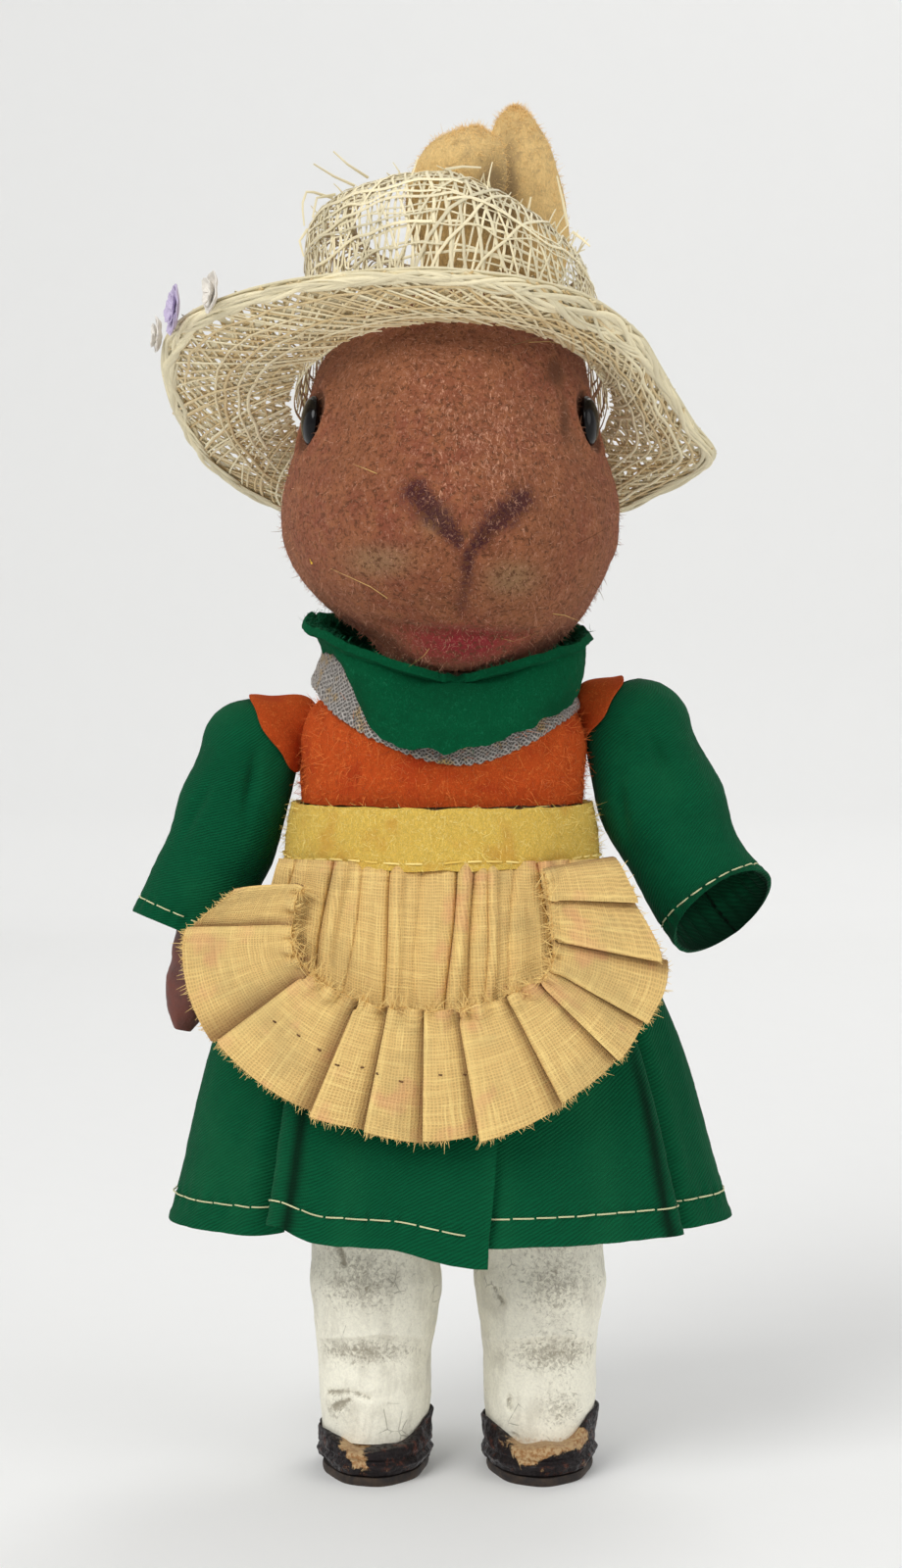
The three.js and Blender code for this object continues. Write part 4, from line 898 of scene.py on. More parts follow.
def from_line(x, z, line):
    """How far points of the face are from a line drawn on it, seen from the front."""
    nearest = np.full(np.shape(x), 1e9)
    for (x0, z0), (x1, z1) in zip(line, line[1:]):
        long = (x1 - x0) ** 2 + (z1 - z0) ** 2
        t = np.clip(((x - x0) * (x1 - x0) + (z - z0) * (z1 - z0)) / long, 0, 1)
        nearest = np.minimum(nearest, np.hypot(x - x0 - t * (x1 - x0), z - z0 - t * (z1 - z0)))
    return nearest


def eye_seats(size):
    """The middle of each eye and the way it faces, the toy's right eye first."""
    head = head_surface(size)
    row = rows_at(head, HEAD_BASE + EYE_HEIGHT)
    seats = []
    for side in (-1, 1):
        turns = side * np.linspace(0.05, 0.25, 200)
        places = head(turns, np.full(200, row))
        nearest = np.argmin(np.abs(places[:, 1] - NECK[1] + EYE_FORWARD))
        seats.append((places[nearest], np.array([side, -0.08, 0.04])))
    return seats


def face_relief(size, places):
    """How far the moulded face stands out, where it is painted and stained, where a painted sheen lightens
    it, and where it is darker.
    """
    x, z = places[:, 0] - NECK[0], places[:, 2]
    front = smooth_step(NECK[1] - 7, NECK[1] - 13, places[:, 1])
    strokes = np.minimum.reduce([from_line(x, z, line) for line in NOSE_STROKES])
    mouth = from_line(x, z, MOUTH_LINE)
    out = spots(x, z, [NOSE_PAD]) + 0.9 * spots(x, z, MUZZLE_PADS) + 0.6 * spots(x, z, [CHIN_PAD])
    out = front * (out - 0.4 * hill(strokes, 0, 0.9) - 0.6 * hill(mouth, 0, 0.8))
    # Darker along the mouth groove
    soil = front * 0.5 * hill(mouth, 0, 0.9)
    seats = eye_seats(size)
    for place, _ in seats:
        away = np.linalg.norm(places - place, axis=1)
        out += 0.55 * hill(away, EYE_RADIUS + 1.6, 1.1) - 0.8 * hill(away, 0, EYE_RADIUS)
        # A darker ring round each eye socket
        soil += 1.1 * hill(away, EYE_RADIUS, 1.0)
    beside, eye_level = seats[1][0][0] - NECK[0], seats[1][0][2]
    soil += front * 0.8 * spots(x, z, [(beside - 3.6, eye_level - 0.5, 1.0, 4.5)])
    soil += front * 0.9 * spots(x, z, [(beside - 5.0, eye_level + 6.5, 1.6, 2.4)])
    out += 0.3 * ripple(places, 0.09, 3) + 0.12 * ripple(places, 0.35, 9) + 0.07 * ripple(places, 1.3, 5)
    # Painted sheen on the bridge of the nose and the brow
    worn = 0.9 * spots(x, z, [BRIDGE_SHEEN]) + 0.4 * spots(x, z, [BROW_SHEEN])
    fading = smooth_step(126.5, 133.0, z) * 0.5 + 0.5
    blunt = 1.7 + 1.5 * smooth_step(132.5, 138.0, z) + 0.8 * ripple(places, 0.9, 12)
    shares = {
        "nose": front * fading * smooth_step(1.1, 0, strokes / blunt),
        "lip": front * (0.8 * hill(x, 1.2, 9.0) * hill(z, 119.4, 3.2) + 0.25 * hill(mouth, 0, 1.6)),
        "patch": np.clip(front * spots(x, z, MUZZLE_STAINS), 0, 1),
        "worn": np.clip(worn, 0, 1) * front,
        "soil": np.clip(soil, 0, 1),
    }
    return out, shares


def head_shell(size, name, from_turn, to_turn, across, down):
    """One half of the head with its relief, and points and ways for its loose fibres."""
    surface = head_surface(size)

    def place(u, v):
        turn = from_turn + (to_turn - from_turn) * u
        places = surface(turn, v)
        out, _ = face_relief(size, places)
        return places + normals_of(surface, turn, v) * out[:, None]

    piece = lay_grid(name, across, down, place)
    places, ways = corners_of(piece) / MM, ways_of(piece)
    _, shares = face_relief(size, places)
    for key, values in shares.items():
        set_share(piece, key, values)
    thicken(piece, size.wall / MM, outwards=False)
    return piece, places, ways


def make_head(size):
    material = flock_material(size)
    front, places, ways = head_shell(size, "head_front", -0.25, 0.25, 230, 165)
    back, more_places, more_ways = head_shell(size, "head_back", 0.25, 0.75, 130, 100)
    wear(front, material, "flock", "head", "head_front_shell", smooth=60)
    wear(back, material, "flock", "head", "head_back_shell", smooth=60)
    draw = np.random.default_rng(7)
    roots, facing = np.concatenate([places, more_places]), np.concatenate([ways, more_ways])
    kept = draw.choice(len(roots), FLOCK_FIBRES, replace=False)
    facing = facing[kept] + np.array([0, 0, -0.5]) + draw.normal(size=(FLOCK_FIBRES, 3)) * 0.55
    lengths = size.fibre / MM * draw.uniform(0.4, 1.2, FLOCK_FIBRES)
    fibres = hairs("head_flock", roots[kept] - unit(facing) * 0.1, facing, lengths, 0.05, draw)
    brown = hair_material("flock_fibre", shade(size.flock, 0.75), shade(size.worn, 0.9))
    wear(fibres, brown, "flock", "head")
    line = np.array(YELLOW_SHRED) + stacked(NECK[0], NECK[1], 0)
    shred = tube("yellow_shred", [line], [0.32], sides=5, squeeze=0.5)
    wear(shred, hair_material("yellow_wool", srgb(214, 170, 50), srgb(226, 190, 80)), "flock", "head")
    stray = draw.choice(len(places), STRAY_HAIRS, replace=False)
    long = draw.uniform(1.5, 4.5, STRAY_HAIRS)
    leaning = ways[stray] + draw.normal(size=(STRAY_HAIRS, 3)) * 0.9
    strands = hairs("head_stray_hairs", places[stray], leaning, long, 0.055, draw, bend=0.8)
    mixed = hair_material("stray_hair", shade(size.flock, 0.25), srgb(230, 196, 120))
    wear(strands, mixed, "flock", "head")


# Eyes: glass domes set in sockets


def turned_to(way, points):
    """Points about +Z, turned so that +Z looks along a way."""
    turn = Vector((0, 0, 1)).rotation_difference(Vector(way))
    return np.array([turn @ Vector(point) for point in points])


def make_eyes(size):
    glass = eye_material(size.glass)
    for (place, way), name in zip(eye_seats(size), ("right_eye", "left_eye")):
        clear_selection()
        bpy.ops.mesh.primitive_uv_sphere_add(segments=64, ring_count=40, radius=1)
        dome = bpy.context.object
        dome.name = dome.data.name = f"{name}_glass"
        ball = corners_of(dome)
        rise = np.where(ball[:, 2] > 0, EYE_BULGE, EYE_BACK) * ball[:, 2] - EYE_SUNK
        local = np.column_stack([ball[:, :2] * EYE_RADIUS, rise])
        set_corners(dome, (turned_to(way, local) + place) * MM)
        wear(dome, glass, "bead", "head", name, smooth=80)


# Ears: stuffed plush

# Rows of an ear from its root up: height, width, thickness and sideways shift as shares
LEFT_EAR_SHARES = [
    (0, 0.6, 0.7, 0), (0.18, 0.84, 0.95, 0.02), (0.36, 1, 1, 0.04), (0.6, 0.96, 0.96, 0),
    (0.8, 0.78, 0.8, -0.06), (0.92, 0.52, 0.58, -0.09), (0.98, 0.28, 0.3, -0.1), (1, 0.04, 0.05, -0.1),
]
RIGHT_EAR_SHARES = [
    (0, 0.6, 0.7, 0), (0.3, 0.85, 0.95, -0.12), (0.55, 1, 1, -0.2), (0.76, 1, 1, -0.15),
    (0.9, 0.8, 0.84, -0.08), (0.98, 0.42, 0.46, -0.04), (1, 0.04, 0.05, 0.02),
]
EARS = {
    "left": {"x": 10.6, "y": 6.0, "length": 31.0, "width": 12.4, "lean": 0, "rows": LEFT_EAR_SHARES},
    "right": {"x": 3.2, "y": -5.2, "length": 26.0, "width": 13.6, "lean": 4, "rows": RIGHT_EAR_SHARES},
}
EAR_ROOT = 6.6
EAR_FIBRES = 3200
# Painted shade of each ear where the two ears overlap: across, up, width and tallness
EAR_SHADE = {
    "left": [(8.3, 187.0, 1.3, 6.5), (6.6, 180.0, 3.0, 5.0)],
    "right": [(6.0, 185.0, 2.6, 3.4), (5.0, 181.0, 3.0, 3.0), (9.2, 189.0, 0.8, 4.0)],
}


def height_over_head(size, x, y):
    """The height of the head's upper surface under points beside its axis."""
    surface = head_surface(size)
    rows = np.linspace(0.62, 1, 60)
    turn = np.arctan2(x - NECK[0], -(y - NECK[1])) / (TURN)
    ring = surface(turn[:, None], rows[None, :])
    reach = np.hypot(ring[..., 0] - NECK[0], ring[..., 1] - NECK[1])
    away = np.hypot(x - NECK[0], y - NECK[1])
    return np.array([np.interp(away[i], reach[i][::-1], ring[i, ::-1, 2]) for i in range(len(x))])


def make_ears(size):
    material = plush_material(size.plush, size.grime)
    nap = hair_material("plush_nap", shade(size.plush, 0.9), shade(size.plush, 1.25))
    base = HEAD_BASE + size.height / MM - EAR_ROOT
    for seed, (side, ear) in enumerate(EARS.items()):
        draw = np.random.default_rng(20 + seed)
        up, wide, deep, shift = columns(ear["rows"])

        def surface(turn, row):
            angle = TURN * turn
            across = ear["x"] + ear["width"] * (shift(row) + wide(row) / 2 * np.sin(angle))
            plump = size.ear_thickness / MM / 2 * deep(row) * np.cos(angle)
            along = ear["y"] - ear["lean"] * up(row) - plump
            return stacked(NECK[0] + across, NECK[1] + along, base + ear["length"] * up(row))

        def place(u, v):
            places = surface(u, v)
            seam = hill((u * 2) % 1, 0.5, 0.035) * 0.45
            out = 0.32 * ripple(places, 0.16, seed) + 0.12 * ripple(places, 0.6, seed + 4) - seam
            ways = normals_of(surface, u, np.clip(v, 0.01, 0.97))
            moved = places + ways * out[:, None]
            floor = height_over_head(size, moved[:, 0], moved[:, 1]) + 0.45
            moved[:, 2] = np.maximum(moved[:, 2], floor)
            return moved

        piece = lay_grid(f"{side}_ear_plush", 97, 90, place, wrap=True)
        turn_outwards(piece, close=True)
        places = corners_of(piece) / MM
        # Painted shade where the two ears overlap
        crease = spots(places[:, 0] - NECK[0], places[:, 2], EAR_SHADE[side])
        set_share(piece, "crease", np.clip(crease, 0, 1))
        wear(piece, material, "plush", "head", f"{side}_ear", smooth=80)
        ways = ways_of(piece)
        shown = np.nonzero(places[:, 2] > base + ear["length"] * 0.3)[0]
        kept = draw.choice(shown, EAR_FIBRES)
        facing = ways[kept] + draw.normal(size=(EAR_FIBRES, 3)) * 0.6
        roots = places[kept] + draw.normal(size=(EAR_FIBRES, 3)) * 0.12
        long = draw.uniform(0.2, 0.55, EAR_FIBRES)
        fibres = hairs(f"{side}_ear_nap", roots, facing, long, 0.04, draw, bend=0.7)
        wear(fibres, nap, "plush", "head")


# Hat: a straw net crown and a brim turned up in front

HEAD_LINE_HALF_WIDTH = 22.2
HEAD_LINE_HALF_DEPTH = 24.4
HEAD_LINE_HEIGHT = 37.8
HEAD_LINE_TILT = 10.5
CROWN_HEIGHT = 25.8
BRIM_RISE = 16.5
BRIM_SAG = 1.5
BRIM_GAP = 0.95
BRIM_LEFT_REACH = 34.0
BRIM_RIGHT_REACH = 40.8
BRIM_FRONT_REACH = 34.5
BRIM_BACK_REACH = 35.0

# Rows of the crown: height, left, right, front, back, drop of the left side and tilt as shares
CROWN_SHARES = [
    (0, 1, 1, 1, 1, 0, 1), (0.3, 0.93, 0.97, 0.98, 1, 0.03, 0.88), (0.6, 0.915, 0.94, 0.94, 0.98, 0.12, 0.74),
    (0.85, 0.92, 0.9, 0.86, 0.94, 0.24, 0.6), (1, 0.86, 0.86, 0.76, 0.86, 0.28, 0.5),
    (1.02, 0.62, 0.83, 0.5, 0.76, 0.28, 0.5),
]
CROWN_LINES = columns(CROWN_SHARES)
# The brim's outer edge: degrees from the front, and its reach and rise as shares
BRIM_EDGE_SHARES = [
    (0, 1, 1), (28, 1, 0.86), (50, 0.96, 0.594), (72, 0.93, 0.242), (88, 1.02, -0.121),
    (102, 1.16, -0.424), (120, 1.02, -0.739), (140, 0.98, -0.933), (160, 1, -1.03), (182, 1, -1.067),
    (205, 1, -0.97), (225, 1, -0.752), (245, 1, -0.388), (262, 1, 0), (278, 1.02, 0.388),
    (296, 1.03, 0.679), (318, 1, 0.885), (340, 1, 0.982),
]
BRIM_REACH, BRIM_LIFT = (round_through([(row[0], row[k]) for row in BRIM_EDGE_SHARES]) for k in (1, 2))
# Where the crown's strands are drawn together, in front
CROWN_PINCH = {"turn": -0.04, "row": 0.1, "width": 0.055, "pull": 0.35, "reach": 0.35}
LOOSE_ENDS = 70
LOOSE_END_ROWS = [0.84, 0.95, 0.99]
# Long loose straws round the crown, each from its root outwards
LOOSE_STRAWS = [
    [(-13.5, -12, 184.2), (-16.4, -13, 185.4), (-19.2, -14, 187.0)],
    [(-11.6, -13, 185.2), (-14.4, -15, 186.8), (-16.4, -15, 188.6)],
    [(-16.6, -11, 182.6), (-20.2, -12, 183.6), (-20.9, -12, 181.6), (-20.6, -12, 178.6)],
    [(-16.2, -12, 183.0), (-18.8, -13, 182.4), (-19.4, -13, 179.6)],
    [(-20.3, -8, 178.6), (-21.4, -9, 176.8), (-20.8, -9, 174.6)],
    [(-0.8, -14, 186.2), (1.6, -14, 186.6), (4.2, -14.6, 186.4)],
    [(16.6, -6, 179.2), (15.8, -6.5, 183.0), (15.0, -7, 186.2)],
    [(10.6, -8, 179.4), (11.0, -8.6, 181.6), (11.3, -9, 183.0)],
    [(17.2, -8, 178.2), (18.6, -9, 177.0), (19.6, -9.5, 176.0)],
    [(1.6, -28.0, 151.4), (1.3, -29.9, 147.2), (0.5, -31.4, 143.2)],
]


def head_line(turn, grow=0.0):
    """Where the crown meets the brim."""
    angle = TURN * turn
    return stacked(
        NECK[0] + (HEAD_LINE_HALF_WIDTH + grow) * np.sin(angle),
        NECK[1] - (HEAD_LINE_HALF_DEPTH + grow) * np.cos(angle),
        HEAD_BASE + HEAD_LINE_HEIGHT + HEAD_LINE_TILT * np.cos(angle),
    )


def crown_surface(turn, row):
    up, left, right, front, back, drop, tilt = (line(row) for line in CROWN_LINES)
    angle = TURN * turn
    across, along = np.sin(angle), -np.cos(angle)
    foot = head_line(turn) - stacked(NECK[0], NECK[1], 0)
    return stacked(
        NECK[0] + foot[..., 0] * np.where(across < 0, left, right),
        NECK[1] + foot[..., 1] * np.where(along < 0, front, back),
        foot[..., 2] + CROWN_HEIGHT * (up - drop * np.maximum(across, 0))
        + HEAD_LINE_TILT * np.cos(angle) * (tilt - 1),
    )


def brim_surface(turn, row):
    angle = TURN * turn
    across, along = np.sin(angle), -np.cos(angle)
    degrees = turn * 360
    reach = BRIM_REACH(degrees)
    edge = stacked(
        NECK[0] + np.where(across < 0, BRIM_RIGHT_REACH, BRIM_LEFT_REACH) * reach * across,
        NECK[1] + np.where(along < 0, BRIM_FRONT_REACH, BRIM_BACK_REACH) * reach * along,
        HEAD_BASE + HEAD_LINE_HEIGHT + BRIM_RISE * BRIM_LIFT(degrees),
    )
    share = np.expand_dims(row, -1)
    place = head_line(turn, BRIM_GAP) * (1 - share) + edge * share
    place[..., 2] -= np.sin(np.clip(row, 0, 1) * math.pi) * BRIM_SAG
    return place


def strand_on(surface, turns, rows, lift, draw, wander=0.25):
    """A strand laid on a surface with a slow wander, and the way its flat side faces."""
    ways = normals_of(surface, turns, rows)
    places = surface(turns, rows)
    slow = ripple(places, 0.22, draw.uniform(0, 90)) * wander
    aside = unit(np.cross(np.gradient(places, axis=0), ways))
    return places + ways * (lift + draw.normal() * 0.06) + aside * slow[:, None], ways


def net(surface, count, lean, rows, lift, draw, steps=16, pinch=None, wander=0.25, shown=1.0):
    """Strands that run from row to row and lean sideways by a share of a turn."""
    strands = []
    for i in range(count):
        if draw.uniform() > shown:
            continue
        start = (i + draw.uniform(-0.32, 0.32)) / count
        tilt = lean * draw.uniform(0.75, 1.25)
        low = rows[0] + draw.uniform(0, 0.02)
        at = np.linspace(low, rows[1] + draw.uniform(-0.03, 0.03), steps)
        share = (at - rows[0]) / (rows[1] - rows[0])
        turns = start + tilt * (share - 0.5)
        if pinch is not None:
            away = (turns - pinch["turn"] + 0.5) % 1 - 0.5
            pull = pinch["pull"] * hill(away, 0, pinch["width"])
            turns = turns - away * pull * hill(share, pinch["row"], pinch["reach"])
        strands.append(strand_on(surface, turns, at, lift, draw, wander))
    return strands


def hoops(surface, rows, lift, draw, steps=150, wander=0.6, sweep=None):
    """Strands that run round the surface, or only over a sweep of it."""
    strands = []
    for row in rows:
        begin = sweep[0] + draw.uniform(-0.02, 0.02) if sweep else draw.uniform(0, 1)
        end = begin + (sweep[1] - sweep[0] if sweep else draw.uniform(0.55, 1.0))
        turns = np.linspace(begin, end, int(steps * (end - begin)) + 6)
        slow = np.sin(turns * TURN * 3 + draw.uniform(0, 6)) * 0.02
        strands.append(strand_on(surface, turns, np.clip(row + slow, 0, 1), lift, draw, wander))
    return strands


def straw_piece(name, sets, width, draw, material, *nodes):
    lines, ways = zip(*[strand for strands in sets for strand in strands])
    radii = [width / 2 * draw.uniform(0.6, 1.35) for _ in lines]
    tones = draw.uniform(size=len(lines))
    piece = tube(name, lines, radii, squeeze=0.42, normals=ways, tones=tones)
    return wear(piece, material, "straw", "head", *nodes, smooth=60)


def make_crown(size):
    """Leaning sets of strands and loose hoops, drawn together at a pinch in front."""
    draw = np.random.default_rng(31)
    cell = size.cell / MM
    material = straw_material("crown_straw", size.straw, shade(size.straw, 0.72))
    count = int(TURN * HEAD_LINE_HALF_WIDTH / cell * 1.5)
    pinched = {"pinch": CROWN_PINCH, "wander": 0.5}
    arches, side_arches = [0.3, 0.42, 0.5, 0.56, 0.62, 0.7], [0.42, 0.55, 0.58]
    sets = [
        net(crown_surface, count, 0.035, (0, 1), 0.12, draw, **pinched),
        net(crown_surface, count * 2 // 3, -0.045, (0, 1), 0.32, draw, **pinched),
        net(crown_surface, count // 4, 0.13, (0, 1), 0.45, draw, pinch=CROWN_PINCH, wander=0.9),
        hoops(crown_surface, np.arange(0.06, 0.99, cell / CROWN_HEIGHT * 0.6), 0.2, draw),
        hoops(crown_surface, [0.93, 0.95, 0.97, 0.985, 0.99], 0.3, draw, wander=0.5),
        hoops(crown_surface, arches, 0.6, draw, sweep=(-0.24, 0.0), wander=1.0),
        hoops(crown_surface, side_arches, 0.6, draw, sweep=(-0.02, 0.2), wander=1.4),
        hoops(crown_surface, [0.0, 0.02, 0.04], 0.4, draw, wander=0.4),
    ]
    straw_piece("hat_crown_net", sets, size.strand / MM, draw, material, "hat_crown")


def loose_straws(size):
    """Broken ends that stand out of the crown's top edge."""
    draw = np.random.default_rng(35)
    lines = []
    for _ in range(LOOSE_ENDS):
        turn = np.array([draw.uniform(0, 1)])
        start = crown_surface(turn, np.array([draw.choice(LOOSE_END_ROWS)]))[0]
        way = normals_of(crown_surface, turn, np.array([0.7]))[0]
        way = way * draw.uniform(0.1, 0.9) + np.array([0, 0, 0.75]) + draw.normal(size=3) * 0.5
        along = np.linspace(0, draw.uniform(1.2, 3.6), 7)[:, None]
        lines.append(start + unit(way) * along + draw.normal(size=3) * along**2 * 0.03)
    for points in LOOSE_STRAWS:
        places = np.array(points) + stacked(NECK[0], NECK[1], 0)
        walked, fine = np.linspace(0, 1, len(places)), np.linspace(0, 1, 9)
        lines.append(np.stack([np.interp(fine, walked, places[:, k]) for k in range(3)], axis=1))
    stout = [0.75] * LOOSE_ENDS + [1.25] * len(LOOSE_STRAWS)
    thin = size.strand / MM / 2
    radii = [thin * share * np.linspace(1, 0.55, len(line)) for share, line in zip(stout, lines)]
    tones = draw.uniform(size=len(lines))
    piece = tube("hat_loose_straws", lines, radii, sides=5, squeeze=0.6, tones=tones)
    material = straw_material("loose_straw", size.straw, shade(size.straw, 0.8))
    wear(piece, material, "straw", "head", smooth=60)


def make_brim(size):
    """A dense double net with a plaited rim that is turned up in front."""
    draw = np.random.default_rng(41)
    width = size.strand / MM
    count = int(TURN * BRIM_LEFT_REACH / (size.cell / MM) * 1.15)
    outer = straw_material("brim_straw", size.straw, size.aged)
    inner = straw_material("brim_lining_straw", shade(size.straw, 0.82), size.aged)
    lining = [
        net(brim_surface, count, 0.05, (0.0, 0.97), -0.3, draw, steps=9),
        net(brim_surface, count, -0.05, (0.0, 0.97), -0.15, draw, steps=9),
        hoops(brim_surface, np.arange(0.04, 0.95, 0.055), -0.05, draw, steps=110),
    ]
    straw_piece("hat_brim_lining", lining, width * 1.7, draw, inner)
    face = [
        net(brim_surface, count, 0.085, (0.0, 0.98), 0.3, draw, steps=12),
        net(brim_surface, count, -0.085, (0.0, 0.98), 0.5, draw, steps=12),
        hoops(brim_surface, np.arange(0.1, 0.9, 0.1), 0.55, draw),
    ]
    straw_piece("hat_brim_net", face, width, draw, outer, "hat_brim")
    rim = plaited_rim(draw)
    rim_straw = straw_material("rim_straw", size.straw, shade(size.straw, 0.8))
    straw_piece("hat_brim_rim", [rim], width * 1.75, draw, rim_straw)


def plaited_rim(draw, strands=18, steps=420):
    """Flat strands that run round the rim and cross each other as a plait does."""
    rim = []
    turns = np.linspace(0, 1, steps)
    for i in range(strands):
        phase = TURN * i / strands
        swing = np.sin(turns * TURN * 11 + phase + 0.4 * np.sin(turns * 40 + i))
        spread = 0.055 + 0.12 * hill((turns + 0.5) % 1 - 0.5, 0.1, 0.07)
        rows = 0.985 - spread + spread * swing * (0.7 + 0.3 * math.sin(i * 2.1))
        line, facing = strand_on(brim_surface, turns, np.clip(rows, 0, 1), 0.0, draw, wander=0.15)
        depth = 0.45 * np.cos(turns * TURN * 9 + phase) * (-1) ** i + 0.35
        rim.append((line + facing * depth[:, None], facing))
    rim.append(strand_on(brim_surface, turns, np.full(steps, 0.995), 0.1, draw, wander=0.1))
    return rim


# Blossoms: crumpled petals stitched to the rim

BLOSSOMS = {
    "lilac_flower": {"turn": 0.822, "petals": 5, "radius": 3.7, "tint": "lilac"},
    "white_flower": {"turn": 0.858, "petals": 4, "radius": 3.1, "tint": "white"},
    "flower_bud": {"turn": 0.79, "petals": 4, "radius": 2.6, "tint": "white"},
}
PETAL_LAYERS = 2
PETAL_CUP = 0.35
PETAL_WALL = 0.22


def make_petal(node, blossom, layer, i, draw):
    """One petal of a blossom, which opens away from the brim."""
    low, high = node_box(node)
    middle = (low + high) / 2
    ends = brim_surface(np.array([blossom["turn"]] * 2), np.array([0.0, 1.0]))
    facing = (ends[1] - ends[0]) * np.array([1, 1, 0.25])
    heading = TURN * (i + layer / 2 + draw.uniform(-0.12, 0.12)) / blossom["petals"]
    reach = blossom["radius"] * (1 - 0.32 * layer) * draw.uniform(0.88, 1.08)
    curl = draw.uniform(0.6, 1.5)

    def place(u, v):
        wide = np.sin(math.pi * np.clip(v, 0.06, 0.94) ** 1.15) * reach * 0.85
        along, aside = v * reach, (u - 0.5) * wide * 1.5
        rise = PETAL_CUP * (aside / reach) ** 2 * 5 + curl * (v - 0.35) ** 2 * 1.6 + layer * 0.5
        x = along * math.cos(heading) - aside * math.sin(heading)
        y = along * math.sin(heading) + aside * math.cos(heading)
        local = np.column_stack([x, y, rise - 0.6])
        local[:, 2] += ripple(local, 0.9, 3 * i + layer) * 0.22
        return turned_to(facing, local) + middle

    petal = lay_grid("petal", 9, 10, place)
    set_share(petal, "tone", 1 - np.linalg.norm(corners_of(petal) / MM - middle, axis=1) / reach)
    thicken(petal, PETAL_WALL)
    return petal


def make_blossoms(size):
    draw = np.random.default_rng(51)
    for node, blossom in BLOSSOMS.items():
        tint = getattr(size, blossom["tint"])
        material = petal_material(f"{node}_petal", tint, shade(tint, 0.85))
        layers, petals = range(PETAL_LAYERS), range(blossom["petals"])
        parts = [make_petal(node, blossom, layer, i, draw) for layer in layers for i in petals]
        clear_selection()
        for part in parts:
            part.select_set(True)
        bpy.context.view_layer.objects.active = parts[0]
        bpy.ops.object.join()
        piece = parts[0]
        piece.name = piece.data.name = f"{node}_petals"
        finish_modifier(piece, "SUBSURF", levels=1, render_levels=1)
        wear(piece, material, blossom["tint"], "head", node, smooth=60)


# Cloth: helpers for cut sheets and frayed edges


def area_of(piece):
    """The area of a sheet that has no wall yet, in square metres."""
    areas = np.empty(len(piece.data.polygons), np.float32)
    piece.data.polygons.foreach_get("area", areas)
    return float(areas.sum())


def cut_away(piece, gone):
    """Deletes the corners of a sheet where gone is true."""
    only(piece)
    for element in ("polygons", "edges"):
        flags = np.zeros(len(getattr(piece.data, element)), bool)
        getattr(piece.data, element).foreach_set("select", flags)
    piece.data.vertices.foreach_set("select", np.asarray(gone, bool))
    bpy.context.tool_settings.mesh_select_mode = (True, False, False)
    bpy.ops.object.mode_set(mode="EDIT")
    bpy.ops.mesh.delete(type="VERT")
    bpy.ops.object.mode_set(mode="OBJECT")


def fuzz(name, piece, count, lengths, radius, draw, material, slot, body, lean=(0, 0, -0.3), bend=0.8):
    """Loose fibres that stand out of a sheet's outer face, taken before it gets its wall."""
    places, ways = corners_of(piece) / MM, ways_of(piece)
    kept = draw.choice(len(places), count)
    facing = ways[kept] + np.array(lean) + draw.normal(size=(count, 3)) * 0.6
    roots = places[kept] + ways[kept] * lengths[2] + draw.normal(size=(count, 3)) * 0.15
    long = draw.uniform(lengths[0], lengths[1], count)
    return wear(hairs(name, roots, facing, long, radius, draw, bend=bend), material, slot, body)


def fray(name, roots, ways, lengths, radius, draw, material, slot, body, bend=0.45):
    """Threads that hang out of a cut edge."""
    count = len(roots)
    facing = ways + draw.normal(size=(count, 3)) * 0.38
    long = draw.uniform(lengths[0], lengths[1], count)
    return wear(hairs(name, roots, facing, long, radius, draw, bend=bend, sides=4), material, slot, body)


# Bodice, collar, braid and waistband

TORSO_SHIFT = -1.3
TORSO_SHARES = [
    (0, 0.86, 0.86, 0.84, 0.84), (0.03, 0.96, 0.96, 0.98, 0.98), (0.18, 1.05, 1.05, 1.06, 1.06),
    (0.38, 1, 1, 1.02, 1.02), (0.55, 0.96, 0.96, 0.97, 0.97), (0.66, 0.95, 0.95, 0.94, 0.94),
    (0.77, 0.98, 0.98, 0.96, 0.95), (0.86, 0.99, 0.99, 0.93, 0.92), (0.905, 0.9, 0.9, 0.84, 0.84),
    (0.94, 0.7, 0.7, 0.73, 0.73),
]
TORSO_BASE = 47.3
TORSO_HEIGHT = 68.6
TORSO_HALF_WIDTH = 18.8
TORSO_HALF_DEPTH = 13.5
TORSO = form(
    TORSO_SHARES, NECK[0] + TORSO_SHIFT, NECK[1], TORSO_BASE, TORSO_HEIGHT,
    TORSO_HALF_WIDTH, TORSO_HALF_DEPTH, TORSO_HALF_DEPTH,
)
LAYER_GAP = 0.35
WAIST = 88.6
WAIST_TOP = 96.8
RIGHT_SLEEVE_RADIUS = 7.2
LEFT_SLEEVE_RADIUS = 7.8
# Creases of the bodice: across and up, and how wide and how tall
BODICE_CREASES = [
    (-19.6, 104.0, 0.8, 6.0), (-17.4, 108.5, 0.7, 2.6), (15.6, 104.5, 0.8, 4.2), (12.6, 105.5, 0.7, 2.4),
]


